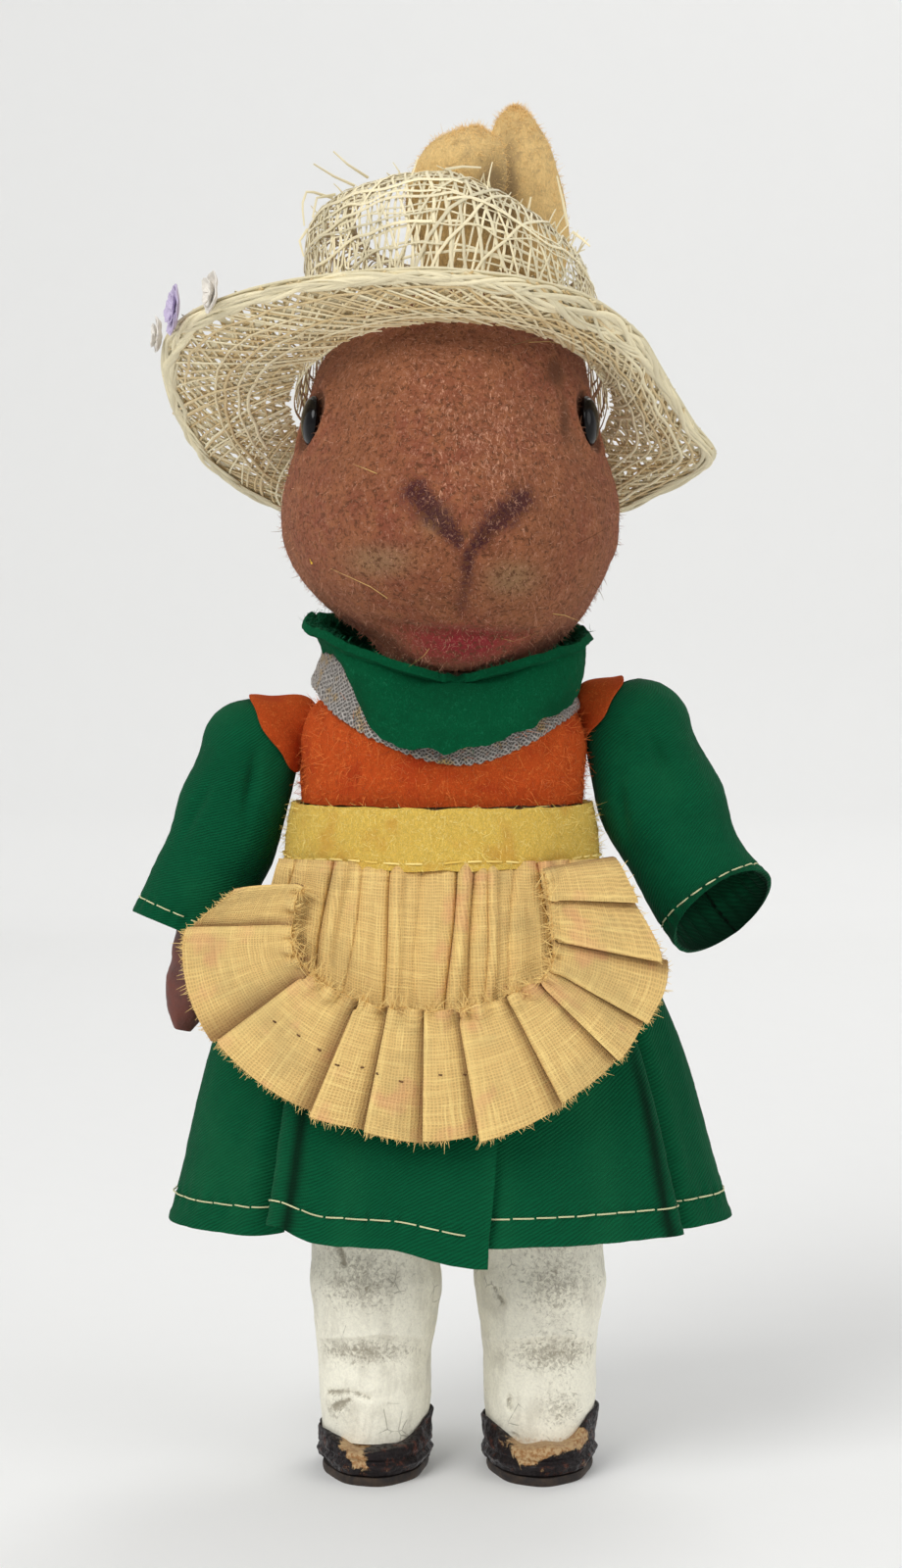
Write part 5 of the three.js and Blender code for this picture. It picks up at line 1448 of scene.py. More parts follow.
def make_bodice(size):
    draw = np.random.default_rng(61)
    low, high = rows_at(TORSO, WAIST_TOP + 0.3), 1.0
    felt = size.felt / MM

    def place(u, v):
        row = low + (high - low) * v
        places = TORSO(u, row)
        ways = normals_of(TORSO, u, row)
        out = LAYER_GAP + 0.12 + 0.22 * ripple(places, 0.22, 2) + 0.1 * ripple(places, 0.8, 7)
        x, z = places[:, 0] - NECK[0], places[:, 2]
        front = places[:, 1] < NECK[1]
        out += 0.6 * np.abs(np.sin(TURN * u)) ** 6
        out -= front * 0.7 * spots(x, z, BODICE_CREASES)
        return places + ways * np.maximum(out, 0.05)[:, None]

    piece = lay_grid("bodice_felt", 230, 70, place, cut=(120, 24), wrap=True)
    places = corners_of(piece) / MM
    right = np.linalg.norm(places - RIGHT_SHOULDER, axis=1) < RIGHT_SLEEVE_RADIUS + LAYER_GAP + 0.1
    left = np.linalg.norm(places - LEFT_SHOULDER, axis=1) < LEFT_SLEEVE_RADIUS + LAYER_GAP + 0.1
    cut_away(piece, right | left)
    area = area_of(piece)
    fibre = hair_material("bodice_fibre", shade(size.orange, 0.7), shade(size.orange_rubbed, 1.1))
    fuzz("bodice_fuzz", piece, 3600, (0.5, 1.3, felt), 0.045, draw, fibre, "orange_felt", "torso")
    thicken(piece, felt)
    material = felt_material("orange_felt", size.orange, size.orange_rubbed, size.orange_stain)
    wear(piece, material, "orange_felt", "torso", "bodice", smooth=60)
    for cap in SHOULDER_FELTS:
        felt_cap(cap, felt, material)


# Felt over each shoulder: the middle it points to, half its angle, and its cut size in metres
SHOULDER_FELTS = [
    {"side": "right", "way": (0.85, -0.08, 0.52), "spread": 57, "flat": (0.019, 0.0125)},
    {"side": "left", "way": (-0.84, -0.05, 0.54), "spread": 41, "flat": (0.0135, 0.0115)},
]
SHOULDER_STAND = 0.3
SHOULDER_SADDLE = {"right": 3.6, "left": 2.4}


def felt_cap(cap, felt, material):
    """The bodice's felt where it goes over a shoulder, clear of the sleeve that turns beneath it."""
    side = cap["side"]
    middle = RIGHT_SHOULDER if side == "right" else LEFT_SHOULDER
    radius = (RIGHT_SLEEVE_RADIUS if side == "right" else LEFT_SLEEVE_RADIUS) + SHOULDER_STAND
    way = unit(np.array(cap["way"]))
    aside = unit(np.cross(way, [0, 1, 0]))
    other = np.cross(way, aside)

    def place(u, v):
        heading = TURN * u
        spread = math.radians(cap["spread"]) * v * (1 + 0.03 * np.sin(heading * 5 + 1))
        around = np.cos(heading)[:, None] * aside + np.sin(heading)[:, None] * other
        facing = np.cos(spread)[:, None] * way + np.sin(spread)[:, None] * around
        out = radius + 0.12 * ripple(facing * radius, 0.5, 3) + 0.1
        inwards = np.array([0.8 * np.sign(cap["way"][0]), 0, 0.6])
        from_saddle = np.degrees(np.arccos(np.clip(facing @ inwards, -1, 1)))
        out += SHOULDER_SADDLE[side] * hill(from_saddle, 0, 20)
        return middle + facing * out[:, None]

    piece = lay_grid(f"{side}_shoulder_felt", 90, 26, place, cut=(46, 9), wrap=True)
    turn_outwards(piece)
    area = area_of(piece)
    thicken(piece, felt * 0.25)
    wear(piece, material, "orange_felt", "torso", smooth=60)


COLLAR_FALL = round_through([
    (-170, 0.2), (-118, -0.1), (-84, -0.34), (-56, -0.2), (-41, 0.5), (-24, 0.94),
    (0, 1), (22, 0.84), (45, 0.56), (70, 0.32), (100, 0.1), (140, 0.2),
])
COLLAR_FLARE = round_through([
    (-170, 0.74), (-118, 1), (-88, 1), (-62, 0.78), (-38, 0.48), (-16, 0.18), (4, 0.05),
    (22, 0.2), (42, 0.42), (64, 0.6), (88, 0.74), (115, 0.84), (150, 0.72),
])
JAW_GAP = 1.5
COLLAR_OUTER = 18.4
COLLAR_TIP = 21.4
COLLAR_FLARE_HEIGHT = 8.6
COLLAR_FALL_HEIGHT = 10.0
COLLAR_BULGE = 1.7


def jaw_reach(head, turn, height):
    """How far the jaw reaches at a height, over all the ways that the head turns."""
    rows = rows_at(head, height)
    rings = [head(turn + swing / 360, rows) for swing in range(-30, 31, 10)]
    return np.max([np.hypot(ring[:, 0] - NECK[0], ring[:, 1] - NECK[1]) for ring in rings], axis=0)


def make_collar(size, head_size):
    """A ragged felt ring that cups the jaw at the sides and falls over the braid in front."""
    draw = np.random.default_rng(67)
    felt = size.felt / MM
    head = head_surface(head_size)

    def surface(turn, row):
        degrees, angle = turn * 360, TURN * turn
        flare = np.clip(COLLAR_FLARE(degrees), 0, 1)
        high = HEAD_BASE - LAYER_GAP - felt + COLLAR_FLARE_HEIGHT * flare
        top = np.minimum(jaw_reach(head, turn, high) + JAW_GAP, COLLAR_TIP)
        low = HEAD_BASE - COLLAR_FALL_HEIGHT * COLLAR_FALL(degrees) - felt
        low = np.minimum(low, high - felt)
        bulge = np.sin(np.clip(row, 0, 1) * math.pi) * (1 - flare) * COLLAR_BULGE
        reach = COLLAR_OUTER + (top - COLLAR_OUTER) * row + bulge
        height = low + (high - low) * row + 1.3 * row**2
        reach = np.maximum(reach, jaw_reach(head, turn, height) + JAW_GAP)
        return stacked(
            NECK[0] + reach * np.sin(angle), NECK[1] - reach * np.cos(angle), low + (high - low) * row
        )

    def place(u, v):
        places = surface(u, v)
        ways = normals_of(surface, u, np.clip(v, 0.02, 0.98))
        around = places * np.array([1, 1, 0])
        ragged = ripple(around, 0.3, 4) * 0.8 + ripple(around, 0.8, 8) * 0.5
        flare = np.clip(COLLAR_FLARE(u * 360), 0, 1)
        places[:, 2] += ragged * (v**3 * flare - (1 - v) ** 3) * 0.8 - 0.5 * v**3 * (1 - flare)
        out = 0.2 + 0.25 * ripple(places, 0.2, 5) + 0.1 * ripple(places, 0.9, 3)
        return places + ways * out[:, None]

    piece = lay_grid("collar_felt", 250, 34, place, cut=(116, 14), wrap=True)
    area = area_of(piece)
    fibre = hair_material("collar_fibre", shade(size.green, 0.75), shade(size.green_rubbed, 1.2))
    lean = (0, 0, -0.4)
    fuzz("collar_fuzz", piece, 4200, (0.35, 0.8, felt), 0.042, draw, fibre, "green_felt", "torso", lean)
    thicken(piece, felt)
    material = felt_material("green_felt", size.green, size.green_rubbed, shade(size.green, 0.6))
    wear(piece, material, "green_felt", "torso", "felt_collar", smooth=60)


# The braid's lower and upper edge, by degrees from the front
RIBBON_LOW = round_through([
    (-170, 112.5), (-100, 114.4), (-72, 113.2), (-47, 109.6), (-26, 106.4), (-8, 104.0), (6, 103.0),
    (20, 103.8), (38, 106.2), (58, 108.8), (82, 110.6), (115, 111.6), (150, 112),
])
RIBBON_HIGH = round_through([
    (-170, 117), (-100, 119.4), (-72, 119.4), (-47, 115.6), (-26, 111.2), (-8, 108.6), (6, 107.6),
    (20, 108.4), (38, 110.8), (58, 113.2), (82, 114.8), (115, 116), (150, 116.6),
])
RIBBON_STAND = 2.05


def make_ribbon(size):
    """Woven metal braid with a raised edge, laid over the bodice below the collar."""

    def surface(turn, row):
        low, high = RIBBON_LOW(turn * 360), RIBBON_HIGH(turn * 360)
        height = low + (high - low) * row
        places = TORSO(turn, rows_at(TORSO, np.minimum(height, 107.5)))
        inwards = (RIBBON_STAND - 0.3 * np.maximum(height - 107.5, 0)) / 17
        places[:, 0] += (places[:, 0] - NECK[0]) * inwards
        places[:, 1] += (places[:, 1] - NECK[1]) * inwards * 1.2
        places[:, 2] = height
        return places

    def place(u, v):
        ways = normals_of(surface, u, np.clip(v, 0.02, 0.98))
        places = surface(u, v)
        edge = 0.14 * (hill(v, 0.08, 0.08) + hill(v, 0.92, 0.08))
        plait = 0.09 * np.sin(u * TURN * 74 + v * 9) * np.sin(v * math.pi * 3)
        out = edge + plait + 0.12 * ripple(places, 0.5, 6)
        places[:, 2] += 0.12 * np.sin(u * TURN * 90) * (1 - v)
        return places + ways * out[:, None]

    piece = lay_grid("neck_braid", 620, 14, place, cut=(112, 5), wrap=True)
    area = area_of(piece)
    thicken(piece, 0.7 * size.braid / MM)
    wear(piece, braid_material(size.gold, size.silver, 0.6), "braid", "torso", "neck_ribbon", smooth=50)


WAISTBAND_SHARES = [(0, 1.005, 1.005, 1.05, 1.02), (0.5, 0.985, 0.985, 1.02, 1), (1, 0.955, 0.955, 0.99, 1)]
WAISTBAND_HALF_WIDTH = 21.7
WAISTBAND_HALF_DEPTH = 17.7


def make_waistband(size):
    draw = np.random.default_rng(71)
    felt = size.felt / MM
    band = form(
        WAISTBAND_SHARES, NECK[0] + TORSO_SHIFT, NECK[1], WAIST - 0.4, WAIST_TOP - WAIST + 0.4,
        WAISTBAND_HALF_WIDTH, WAISTBAND_HALF_DEPTH, WAISTBAND_HALF_DEPTH,
    )

    def place(u, v):
        places, ways = band(u, v), normals_of(band, u, np.clip(v, 0.02, 0.98))
        dent = 0.32 * hill(v, 0.13, 0.05) * (0.6 + 0.4 * np.sin(u * TURN * 44))
        out = 0.22 * ripple(places, 0.2, 8) + 0.12 * ripple(places, 0.8, 1) - dent
        places[:, 2] += 0.22 * ripple(places * np.array([1, 1, 0]), 0.25, 6) * (2 * v - 1)
        return places + ways * out[:, None]

    piece = lay_grid("waistband_felt", 300, 26, place, cut=(127, 8.4), wrap=True)
    area = area_of(piece)
    fibre = hair_material("waistband_fibre", shade(size.yellow, 0.8), shade(size.yellow_rubbed, 1.15))
    fuzz("waistband_fuzz", piece, 2600, (0.3, 0.8, felt), 0.042, draw, fibre, "yellow_felt", "torso")
    thicken(piece, felt)
    material = felt_material("yellow_felt", size.yellow, size.yellow_rubbed, srgb(208, 150, 62))
    wear(piece, material, "yellow_felt", "torso", "waistband", smooth=60)
    turns = np.linspace(0, 1, 700)
    rows = 0.13 + 0.02 * np.sin(turns * TURN * 7)
    ups = normals_of(band, turns, rows)
    path = band(turns, rows) + ups * (felt + 0.08)
    line = stitches("waistband_stitches", path, ups, 2.2, 0.8, 0.15, draw)
    thread = hair_material("waistband_thread", shade(size.yellow, 0.85), size.yellow_rubbed)
    wear(line, thread, "yellow_felt", "torso", smooth=60)


# Skirt: one wrap-over sheet of twill

SKIRT_SHARES = [(0, 1, 0), (0.14, 0.94, 0), (0.3, 0.69, 0.15), (0.6, 0.32, 0.75), (1, 0, 1)]
SKIRT_TOP = 96.5
SKIRT_TOP_HALF_WIDTH = 19.6
SKIRT_TOP_HALF_DEPTH = 14.4
SKIRT_HEM_HALF_WIDTH = 39.2
SKIRT_HEM_HALF_DEPTH = 26.5
SKIRT_LAP = 1.4
SKIRT_FOLDS = [
    (-44, 3.6, -2.2), (60, 3.6, -2.2), (-37, 7, 0.5), (53, 7, 0.5), (-52, 9, -0.6), (68, 9, -0.6),
    (-78, 20, 0.45), (92, 18, 0.45), (128, 12, -0.9),
    (158, 16, 0.7), (190, 12, -0.9), (220, 16, 0.7), (252, 12, -0.9),
]
SKIRT_TOP_SHARE = through([(place, top) for place, top, _ in SKIRT_SHARES])
SKIRT_FOLD_SHARE = through([(place, fold) for place, _, fold in SKIRT_SHARES])


def skirt_half_depth(row):
    return SKIRT_HEM_HALF_DEPTH + (SKIRT_TOP_HALF_DEPTH - SKIRT_HEM_HALF_DEPTH) * SKIRT_TOP_SHARE(row)


def skirt_surface(size):
    """The skirt at a share of its turn and a row that rises from the hem to the top."""
    long = size.length / MM
    fold_depth = size.fold / MM

    def surface(turn, up):
        row = 1 - up
        lapped = smooth_step(0.82, 0.95, turn)
        degrees = 20 - 376 * (1 - turn) - 13 * row * smooth_step(0.86, 1.0, turn)
        folds = np.zeros(np.shape(degrees))
        for at, width, share in SKIRT_FOLDS:
            away = (degrees - at + 180) % 360 - 180
            folds = folds + share * np.exp(-((away / width) ** 2))
        angle = np.radians(degrees)
        half_width = SKIRT_HEM_HALF_WIDTH
        half_width += (SKIRT_TOP_HALF_WIDTH - SKIRT_HEM_HALF_WIDTH) * SKIRT_TOP_SHARE(row)
        out = fold_depth * folds * SKIRT_FOLD_SHARE(row) + lapped * SKIRT_LAP
        lap_drop = 2.6 * smooth_step(0.93, 1.0, turn) * row**3
        front_lift = 2.4 * hill(degrees, -37, 6) * row**4
        return stacked(
            NECK[0] + TORSO_SHIFT * (1 - row) + (half_width + out) * np.sin(angle),
            NECK[1] - (skirt_half_depth(row) + out) * np.cos(angle),
            SKIRT_TOP - long * row - lap_drop + front_lift,
        )

    return surface


def make_skirt(size):
    draw = np.random.default_rng(81)
    surface = skirt_surface(size)
    long, hem = size.length / MM, size.hem / MM

    def place(u, v):
        places, ways = surface(u, v), normals_of(surface, u, v)
        row = 1 - v
        degrees = 376 * u
        soft = 0.55 * np.sin(np.radians(degrees * 7) + 1.1 * ripple(places, 0.04, 2)) * row * 0.6
        slack = 0.5 * ripple(places * np.array([1, 1, 0.45]), 0.09, 9) * row
        gathers = 0.28 * np.sin(np.radians(degrees * 46)) * hill(row, 0.1, 0.09)
        down, turned = row * long, long - hem
        pucker = 0.16 * np.sin(u * TURN * 70) * hill(down, turned, 1.6)
        dent = -0.22 * hill(down, turned, 0.35)
        bead = 0.16 * hill(down, long - 0.5, 0.6)
        out = soft + slack + gathers + pucker + dent + bead + 0.08 * ripple(places, 0.7, 4)
        places = places + ways * out[:, None]
        places[:, 2] += 0.22 * ripple(places * np.array([1, 1, 0]), 0.12, 5) * smooth_step(0.9, 1, row)
        return places

    piece = lay_grid("skirt_twill", 520, 90, place, cut=(205, 60))
    rubbed = corners_of(piece) / MM
    degrees = np.degrees(np.arctan2(rubbed[:, 0] - NECK[0], -(rubbed[:, 1] - NECK[1])))
    crests = sum(hill((degrees - at + 180) % 360 - 180, 0, 5) for at in (-54, -30, 46, 70, 15))
    set_share(piece, "rubbed", np.clip(crests * 0.35, 0, 1) * (rubbed[:, 2] < 80))
    # Painted shade in the skirt's two deep slits, darker towards the hem
    slit_shade = hill(degrees, -44.3, 1.5) + hill(degrees, 60.3, 1.5)
    set_share(piece, "deep", slit_shade * smooth_step(72, 52, rubbed[:, 2]))
    area = area_of(piece)
    thicken(piece, size.thickness / MM * 0.75)
    wear(piece, twill_material(size), "twill", "torso", "skirt", smooth=50)
    rows = np.full(1500, hem / long)
    turns = np.linspace(0.01, 0.995, 1500)
    ups = normals_of(surface, turns, rows)
    places = surface(turns, rows)
    soft = 0.55 * np.sin(np.radians(376 * turns * 7) + 1.1 * ripple(places, 0.04, 2)) * 0.6
    path = places + ups * (size.thickness / MM * 0.75 + 0.06 + soft)[:, None]
    line = stitches("skirt_hem_stitches", path, ups, 2.9, 0.4, 0.12, draw)
    thread = hair_material("hem_thread", shade(size.thread, 0.85), size.thread)
    wear(line, thread, "twill", "torso", smooth=60)


# Apron: a gathered linen panel and a knife-pleated ruffle

APRON_STAND = 0.8
APRON_BOW = 4.4
APRON_HALF_WIDTH = 25.5
APRON_DROP = 28.0
APRON_TOP = 89.4
PANEL_EDGE = 0.94
RUFFLE_SHIFT = -3.2
RUFFLE_CENTRE_DROP = 9.3
RUFFLE_OUTER = (34.2, 29.5)
RUFFLE_INNER = (18.9, 9.6)
RUFFLE_SEAT = 1.0
# Walls of the thin linen, in millimetres
PANEL_WALL = 0.4
RUFFLE_WALL = 0.32
# Folds of the panel: place across at its top and at its foot, depth and width
PANEL_FOLDS = [
    (-21.5, -25.0, 0.7, 0.9), (-16.6, -19.4, 1.9, 0.85), (-12.4, -15.4, 0.6, 0.9), (-8.0, -10.2, 1.7, 0.75),
    (-4.4, -5.4, 0.35, 1.3), (0.7, -1.0, 1.9, 0.85), (3.3, 1.7, 0.9, 1.2), (5.4, 4.0, 1.2, 0.55),
    (8.8, 7.8, 0.4, 1.2), (12.2, 15.2, 2.0, 0.85), (16.8, 20.4, 0.8, 0.9),
]
# Where the folded edge of each pleat lies, in degrees from straight down, the toy's left first
PLEAT_EDGES = [105, 93, 81, 66, 54, 36, 13, -1, -16, -30, -60, -93, -112]
OUTER_THREADS = 1700
HEADING_THREADS = 1100
# How far the ruffle reaches, as shares by degrees
RUFFLE_REACH = through([
    (-112, 0.86), (-95, 0.97), (-80, 1), (-61, 1), (-46, 0.97), (-31, 0.94), (-17, 0.91), (0, 0.93),
    (34, 0.93), (53, 0.96), (66, 0.97), (81, 0.99), (94, 0.86), (105, 0.8),
])


def apron_depth(x, z, fit):
    """Where the apron's back face lies, in front of the skirt."""
    row = np.clip((SKIRT_TOP - z) / fit, 0, 1)
    stand = SKIRT_LAP + 1.0 + APRON_STAND
    return -(skirt_half_depth(row) + stand) + APRON_BOW * ((x - TORSO_SHIFT) / APRON_HALF_WIDTH) ** 2


def make_apron_panel(size, fit):
    gather = size.gather / MM
    fold_shade = {}

    def place(u, v):
        across = u * 2 - 1
        drop = APRON_DROP * np.sqrt(np.maximum(1 - (across * PANEL_EDGE) ** 2, 0))
        x = TORSO_SHIFT + APRON_HALF_WIDTH * across * (0.9 + 0.1 * (1 - v))
        z = APRON_TOP - drop * (1 - v)
        out = np.zeros(len(u))
        dark = np.zeros(len(u))
        for top, foot, deep, wide in PANEL_FOLDS:
            centre = top + (foot - top) * (1 - v) + 0.35 * np.sin((1 - v) * 5 + top)
            out -= deep * 0.95 * hill(x, centre, 0.4 * wide)
            out += deep * 0.6 * hill(x, centre + 1.35 * wide, 1.0 * wide)
            out += deep * 0.25 * hill(x, centre - 1.5 * wide, 1.1 * wide)
            # Painted shade in the valley of each deep fold
            dark += (deep - 0.4) * 0.7 * hill(x, centre, 0.3 * wide)
        soft = 0.25 * ripple(stacked(x, 0, z), 0.22, 3)
        fold_shade["panel"] = np.clip(dark, 0, 1)
        y = apron_depth(x, z, fit) - gather * out * (0.55 + 0.45 * v) - soft - 0.3
        y += 1.5 * smooth_step(0.93, 1.0, v)
        return stacked(NECK[0] + x, NECK[1] + y, z)

    piece = lay_grid("apron_panel_linen", 330, 70, place, cut=(66, 27))
    set_share(piece, "fold", fold_shade["panel"])
    area = min(area_of(piece), 0.0019)
    thicken(piece, PANEL_WALL)
    material = linen_material(size.linen, size.light, size.pitch / MM)
    wear(piece, material, "linen", "torso", "apron_panel", smooth=50)
    return material


def pleat_run():
    """A pleated band from end to end: place on the flat cloth, degrees and depth share."""
    flat, degrees, depth = [0.0], [PLEAT_EDGES[0]], [0.15]
    for i, (start, end) in enumerate(zip(PLEAT_EDGES, PLEAT_EDGES[1:])):
        wide = start - end
        under = 0.34 * wide * (0.8 + 0.4 * ((i * 7) % 5) / 5)
        pleat = [
            (wide * 0.5, start - wide * 0.5, 0.72), (wide * 0.47, end + 0.03 * wide, 1.0),
            (0.04 * wide, end, 0.94), (0.03 * wide, end + 0.03 * wide, 0.8),
            (under, end + under, 0.5), (0.03 * wide, end + under, 0.36), (under, end, 0.1),
        ]
        for step, at, deep in pleat:
            flat.append(flat[-1] + step)
            degrees.append(at)
            depth.append(deep)
    flat = np.array(flat)
    return flat / flat[-1], np.array(degrees), np.array(depth)


def make_apron_ruffle(size, fit, material):
    draw = np.random.default_rng(91)
    flat, degrees, depth = pleat_run()
    pleat = size.pleat / MM
    seat = RUFFLE_SEAT + size.thickness / MM + LAYER_GAP
    kept = {}

    def surface(u, v):
        """u runs along the flat band from the toy's right to its left, and v from the outer edge in."""
        t = 1 - u
        angle = np.radians(np.interp(t, flat, degrees))
        deep = np.interp(t, flat, depth)
        fan = 2.2 * (deep - 0.5) * (1 - v)
        half_width = RUFFLE_OUTER[0] + (RUFFLE_INNER[0] - RUFFLE_OUTER[0]) * v
        drop = RUFFLE_OUTER[1] + (RUFFLE_INNER[1] - RUFFLE_OUTER[1]) * v
        number = np.searchsorted(-np.array(PLEAT_EDGES), -np.interp(t, flat, degrees))
        uneven = 1 + 0.015 * np.sin(number * 2.4) * (1 - v)
        uneven = uneven * (1 + (RUFFLE_REACH(np.degrees(angle)) - 1) * (1 - v))
        x = RUFFLE_SHIFT + half_width * uneven * np.sin(angle)
        z = WAIST - RUFFLE_CENTRE_DROP - drop * uneven * np.cos(angle)
        z += smooth_step(72, 104, np.degrees(angle)) * (4.6 + 2.1 * v)
        x -= smooth_step(55, 100, np.degrees(angle)) * (0.6 + 1.6 * v)
        z += smooth_step(-84, -110, np.degrees(angle)) * (6.6 * v - 3.3)
        heading = smooth_step(0.82, 1.0, v)
        lump = 0.7 * np.sin(t * 230) + 1.3 * ripple(stacked(x, 0, z), 0.5, 2)
        out = seat + 0.2 + pleat * 1.25 * deep * (1 - v * 0.45) + fan * 0.12
        out = out + heading * (0.75 + lump * 0.9)
        out = out + 0.22 * ripple(stacked(x, 0, z), 0.3, 6) * (1 - 0.5 * v)
        z += 0.5 * heading * ripple(stacked(x, 3, z), 0.8, 8)
        y = apron_depth(x, z, fit) - out
        kept["deep"] = deep
        return stacked(NECK[0] + x, NECK[1] + y, z)

    piece = lay_grid("apron_ruffle_linen", 620, 34, surface, cut=(150, 17))
    # Painted shade on the pleats' under-runs, behind the folded edges
    set_share(piece, "fold", np.clip((0.42 - kept["deep"]) * 2.6, 0, 1))
    set_share(piece, "rubbed", np.clip((kept["deep"] - 0.93) * 9, 0, 1))
    thicken(piece, RUFFLE_WALL)
    wear(piece, material, "linen", "torso", "apron_ruffle", smooth=45)
    thread = hair_material("linen_fray", shade(size.linen, 1.0), size.light)
    at = draw.uniform(0, 1, OUTER_THREADS)
    roots = surface(at, np.zeros(OUTER_THREADS)) + draw.normal(size=(OUTER_THREADS, 3)) * 0.1
    outer = unit(roots - surface(at, np.full(OUTER_THREADS, 0.12)))
    fray("ruffle_outer_fray", roots - outer * 0.4, outer, (0.35, 1.05), 0.07, draw, thread, "linen", "torso")
    at = draw.uniform(0, 1, HEADING_THREADS)
    roots = surface(at, np.ones(HEADING_THREADS))
    inner = unit(roots - surface(at, np.full(HEADING_THREADS, 0.9)) + np.array([0, -0.5, 0]))
    roots = roots - inner * 0.3
    fray("ruffle_heading_fray", roots, inner, (0.5, 1.5), 0.075, draw, thread, "linen", "torso", 0.9)
    at = np.linspace(0.3, 0.62, 1500)
    rows = np.full(1500, 0.5) + 0.03 * np.sin(at * 60)
    path = surface(at, rows) + np.array([0, -0.36, 0])
    ups = np.tile([0.0, -1.0, 0.0], (1500, 1))
    specks = stitches("ruffle_stitches", path, ups, 0.5, 3.1, 0.12, draw)
    wear(specks, hair_material("gathering_thread", srgb(70, 44, 30), srgb(110, 76, 48)), "linen", "torso")


# Sleeves and hands

CUFF_HALF_WIDTH = 8.4
CUFF_HALF_DEPTH = 7.4
# Stations of a sleeve: share of its length, lean in degrees, width, depth and tilt shares
RIGHT_SLEEVE_SHARES = [
    (0.2, -14, 0.02, 0.02, 0), (0.5, -19, 0.4, 0.4, 0), (0.8, -21, 0.8, 0.8, 0), (1, -22, 1, 1, 0.1),
]
LEFT_SLEEVE_SHARES = [
    (0.2, 14, 0.3, 0.1, 0), (0.5, 20, 1, 0.6, 0), (0.8, 29, 1.06, 0.9, 0.1), (1, 38, 1.12, 1.05, 0.62),
]
ARMS = {
    "right": {
        "shoulder": RIGHT_SHOULDER, "radius": RIGHT_SLEEVE_RADIUS, "length": 28.5,
        "rows": RIGHT_SLEEVE_SHARES, "lean": -14, "start": 17.3, "reach": 25.0,
    },
    "left": {
        "shoulder": LEFT_SHOULDER, "radius": LEFT_SLEEVE_RADIUS, "length": 29.2,
        "rows": LEFT_SLEEVE_SHARES, "lean": 20, "start": 10.9, "reach": 13.0,
    },
}
ARM_SHARES = [(0, 0.72), (0.12, 0.9), (0.4, 1), (0.7, 0.95), (0.88, 0.74), (1, 0.34)]
ARM_HALF_WIDTH = 4.1
CUFF_STITCH = 2.6


def sleeve_surface(arm):
    """A sleeve from its cuff (row 0) up to the crown of its cap (row 1)."""
    x, z = arm["shoulder"][0], arm["shoulder"][2]
    radius = arm["radius"]
    stations = []
    for polar in np.radians([1.5, 22, 45, 67, 90]):
        reach = radius * math.sin(polar)
        stations.append((x, z + radius * math.cos(polar), 0.0, reach, reach, 0.0))
    walked = 0.0
    for share, lean, wide, deep, tilt in arm["rows"]:
        angle = math.radians(lean)
        step = (share - walked) * arm["length"]
        x, z = x + math.sin(angle) * step, z - math.cos(angle) * step
        walked = share
        stations.append((
            x, z, angle,
            radius + (CUFF_HALF_WIDTH - radius) * wide,
            radius + (CUFF_HALF_DEPTH - radius) * deep,
            tilt * CUFF_HALF_DEPTH,
        ))
    heights = [arm["shoulder"][2] + radius - station[1] for station in stations]
    walks = np.cumsum([0] + [max(b - a, 0.5) for a, b in zip(heights, heights[1:])])
    walks = walks / walks[-1]
    lines = columns(stations, walks)

    def surface(turn, row):
        middle_x, middle_z, lean, wide, deep, tilt = (line(1 - row) for line in lines)
        angle = TURN * turn
        tip = -tilt * np.cos(angle)
        return stacked(
            middle_x + np.cos(lean) * wide * np.sin(angle) + np.sin(lean) * tip,
            arm["shoulder"][1] - deep * np.cos(angle),
            middle_z + np.sin(lean) * wide * np.sin(angle) - np.cos(lean) * tip,
        )

    return surface


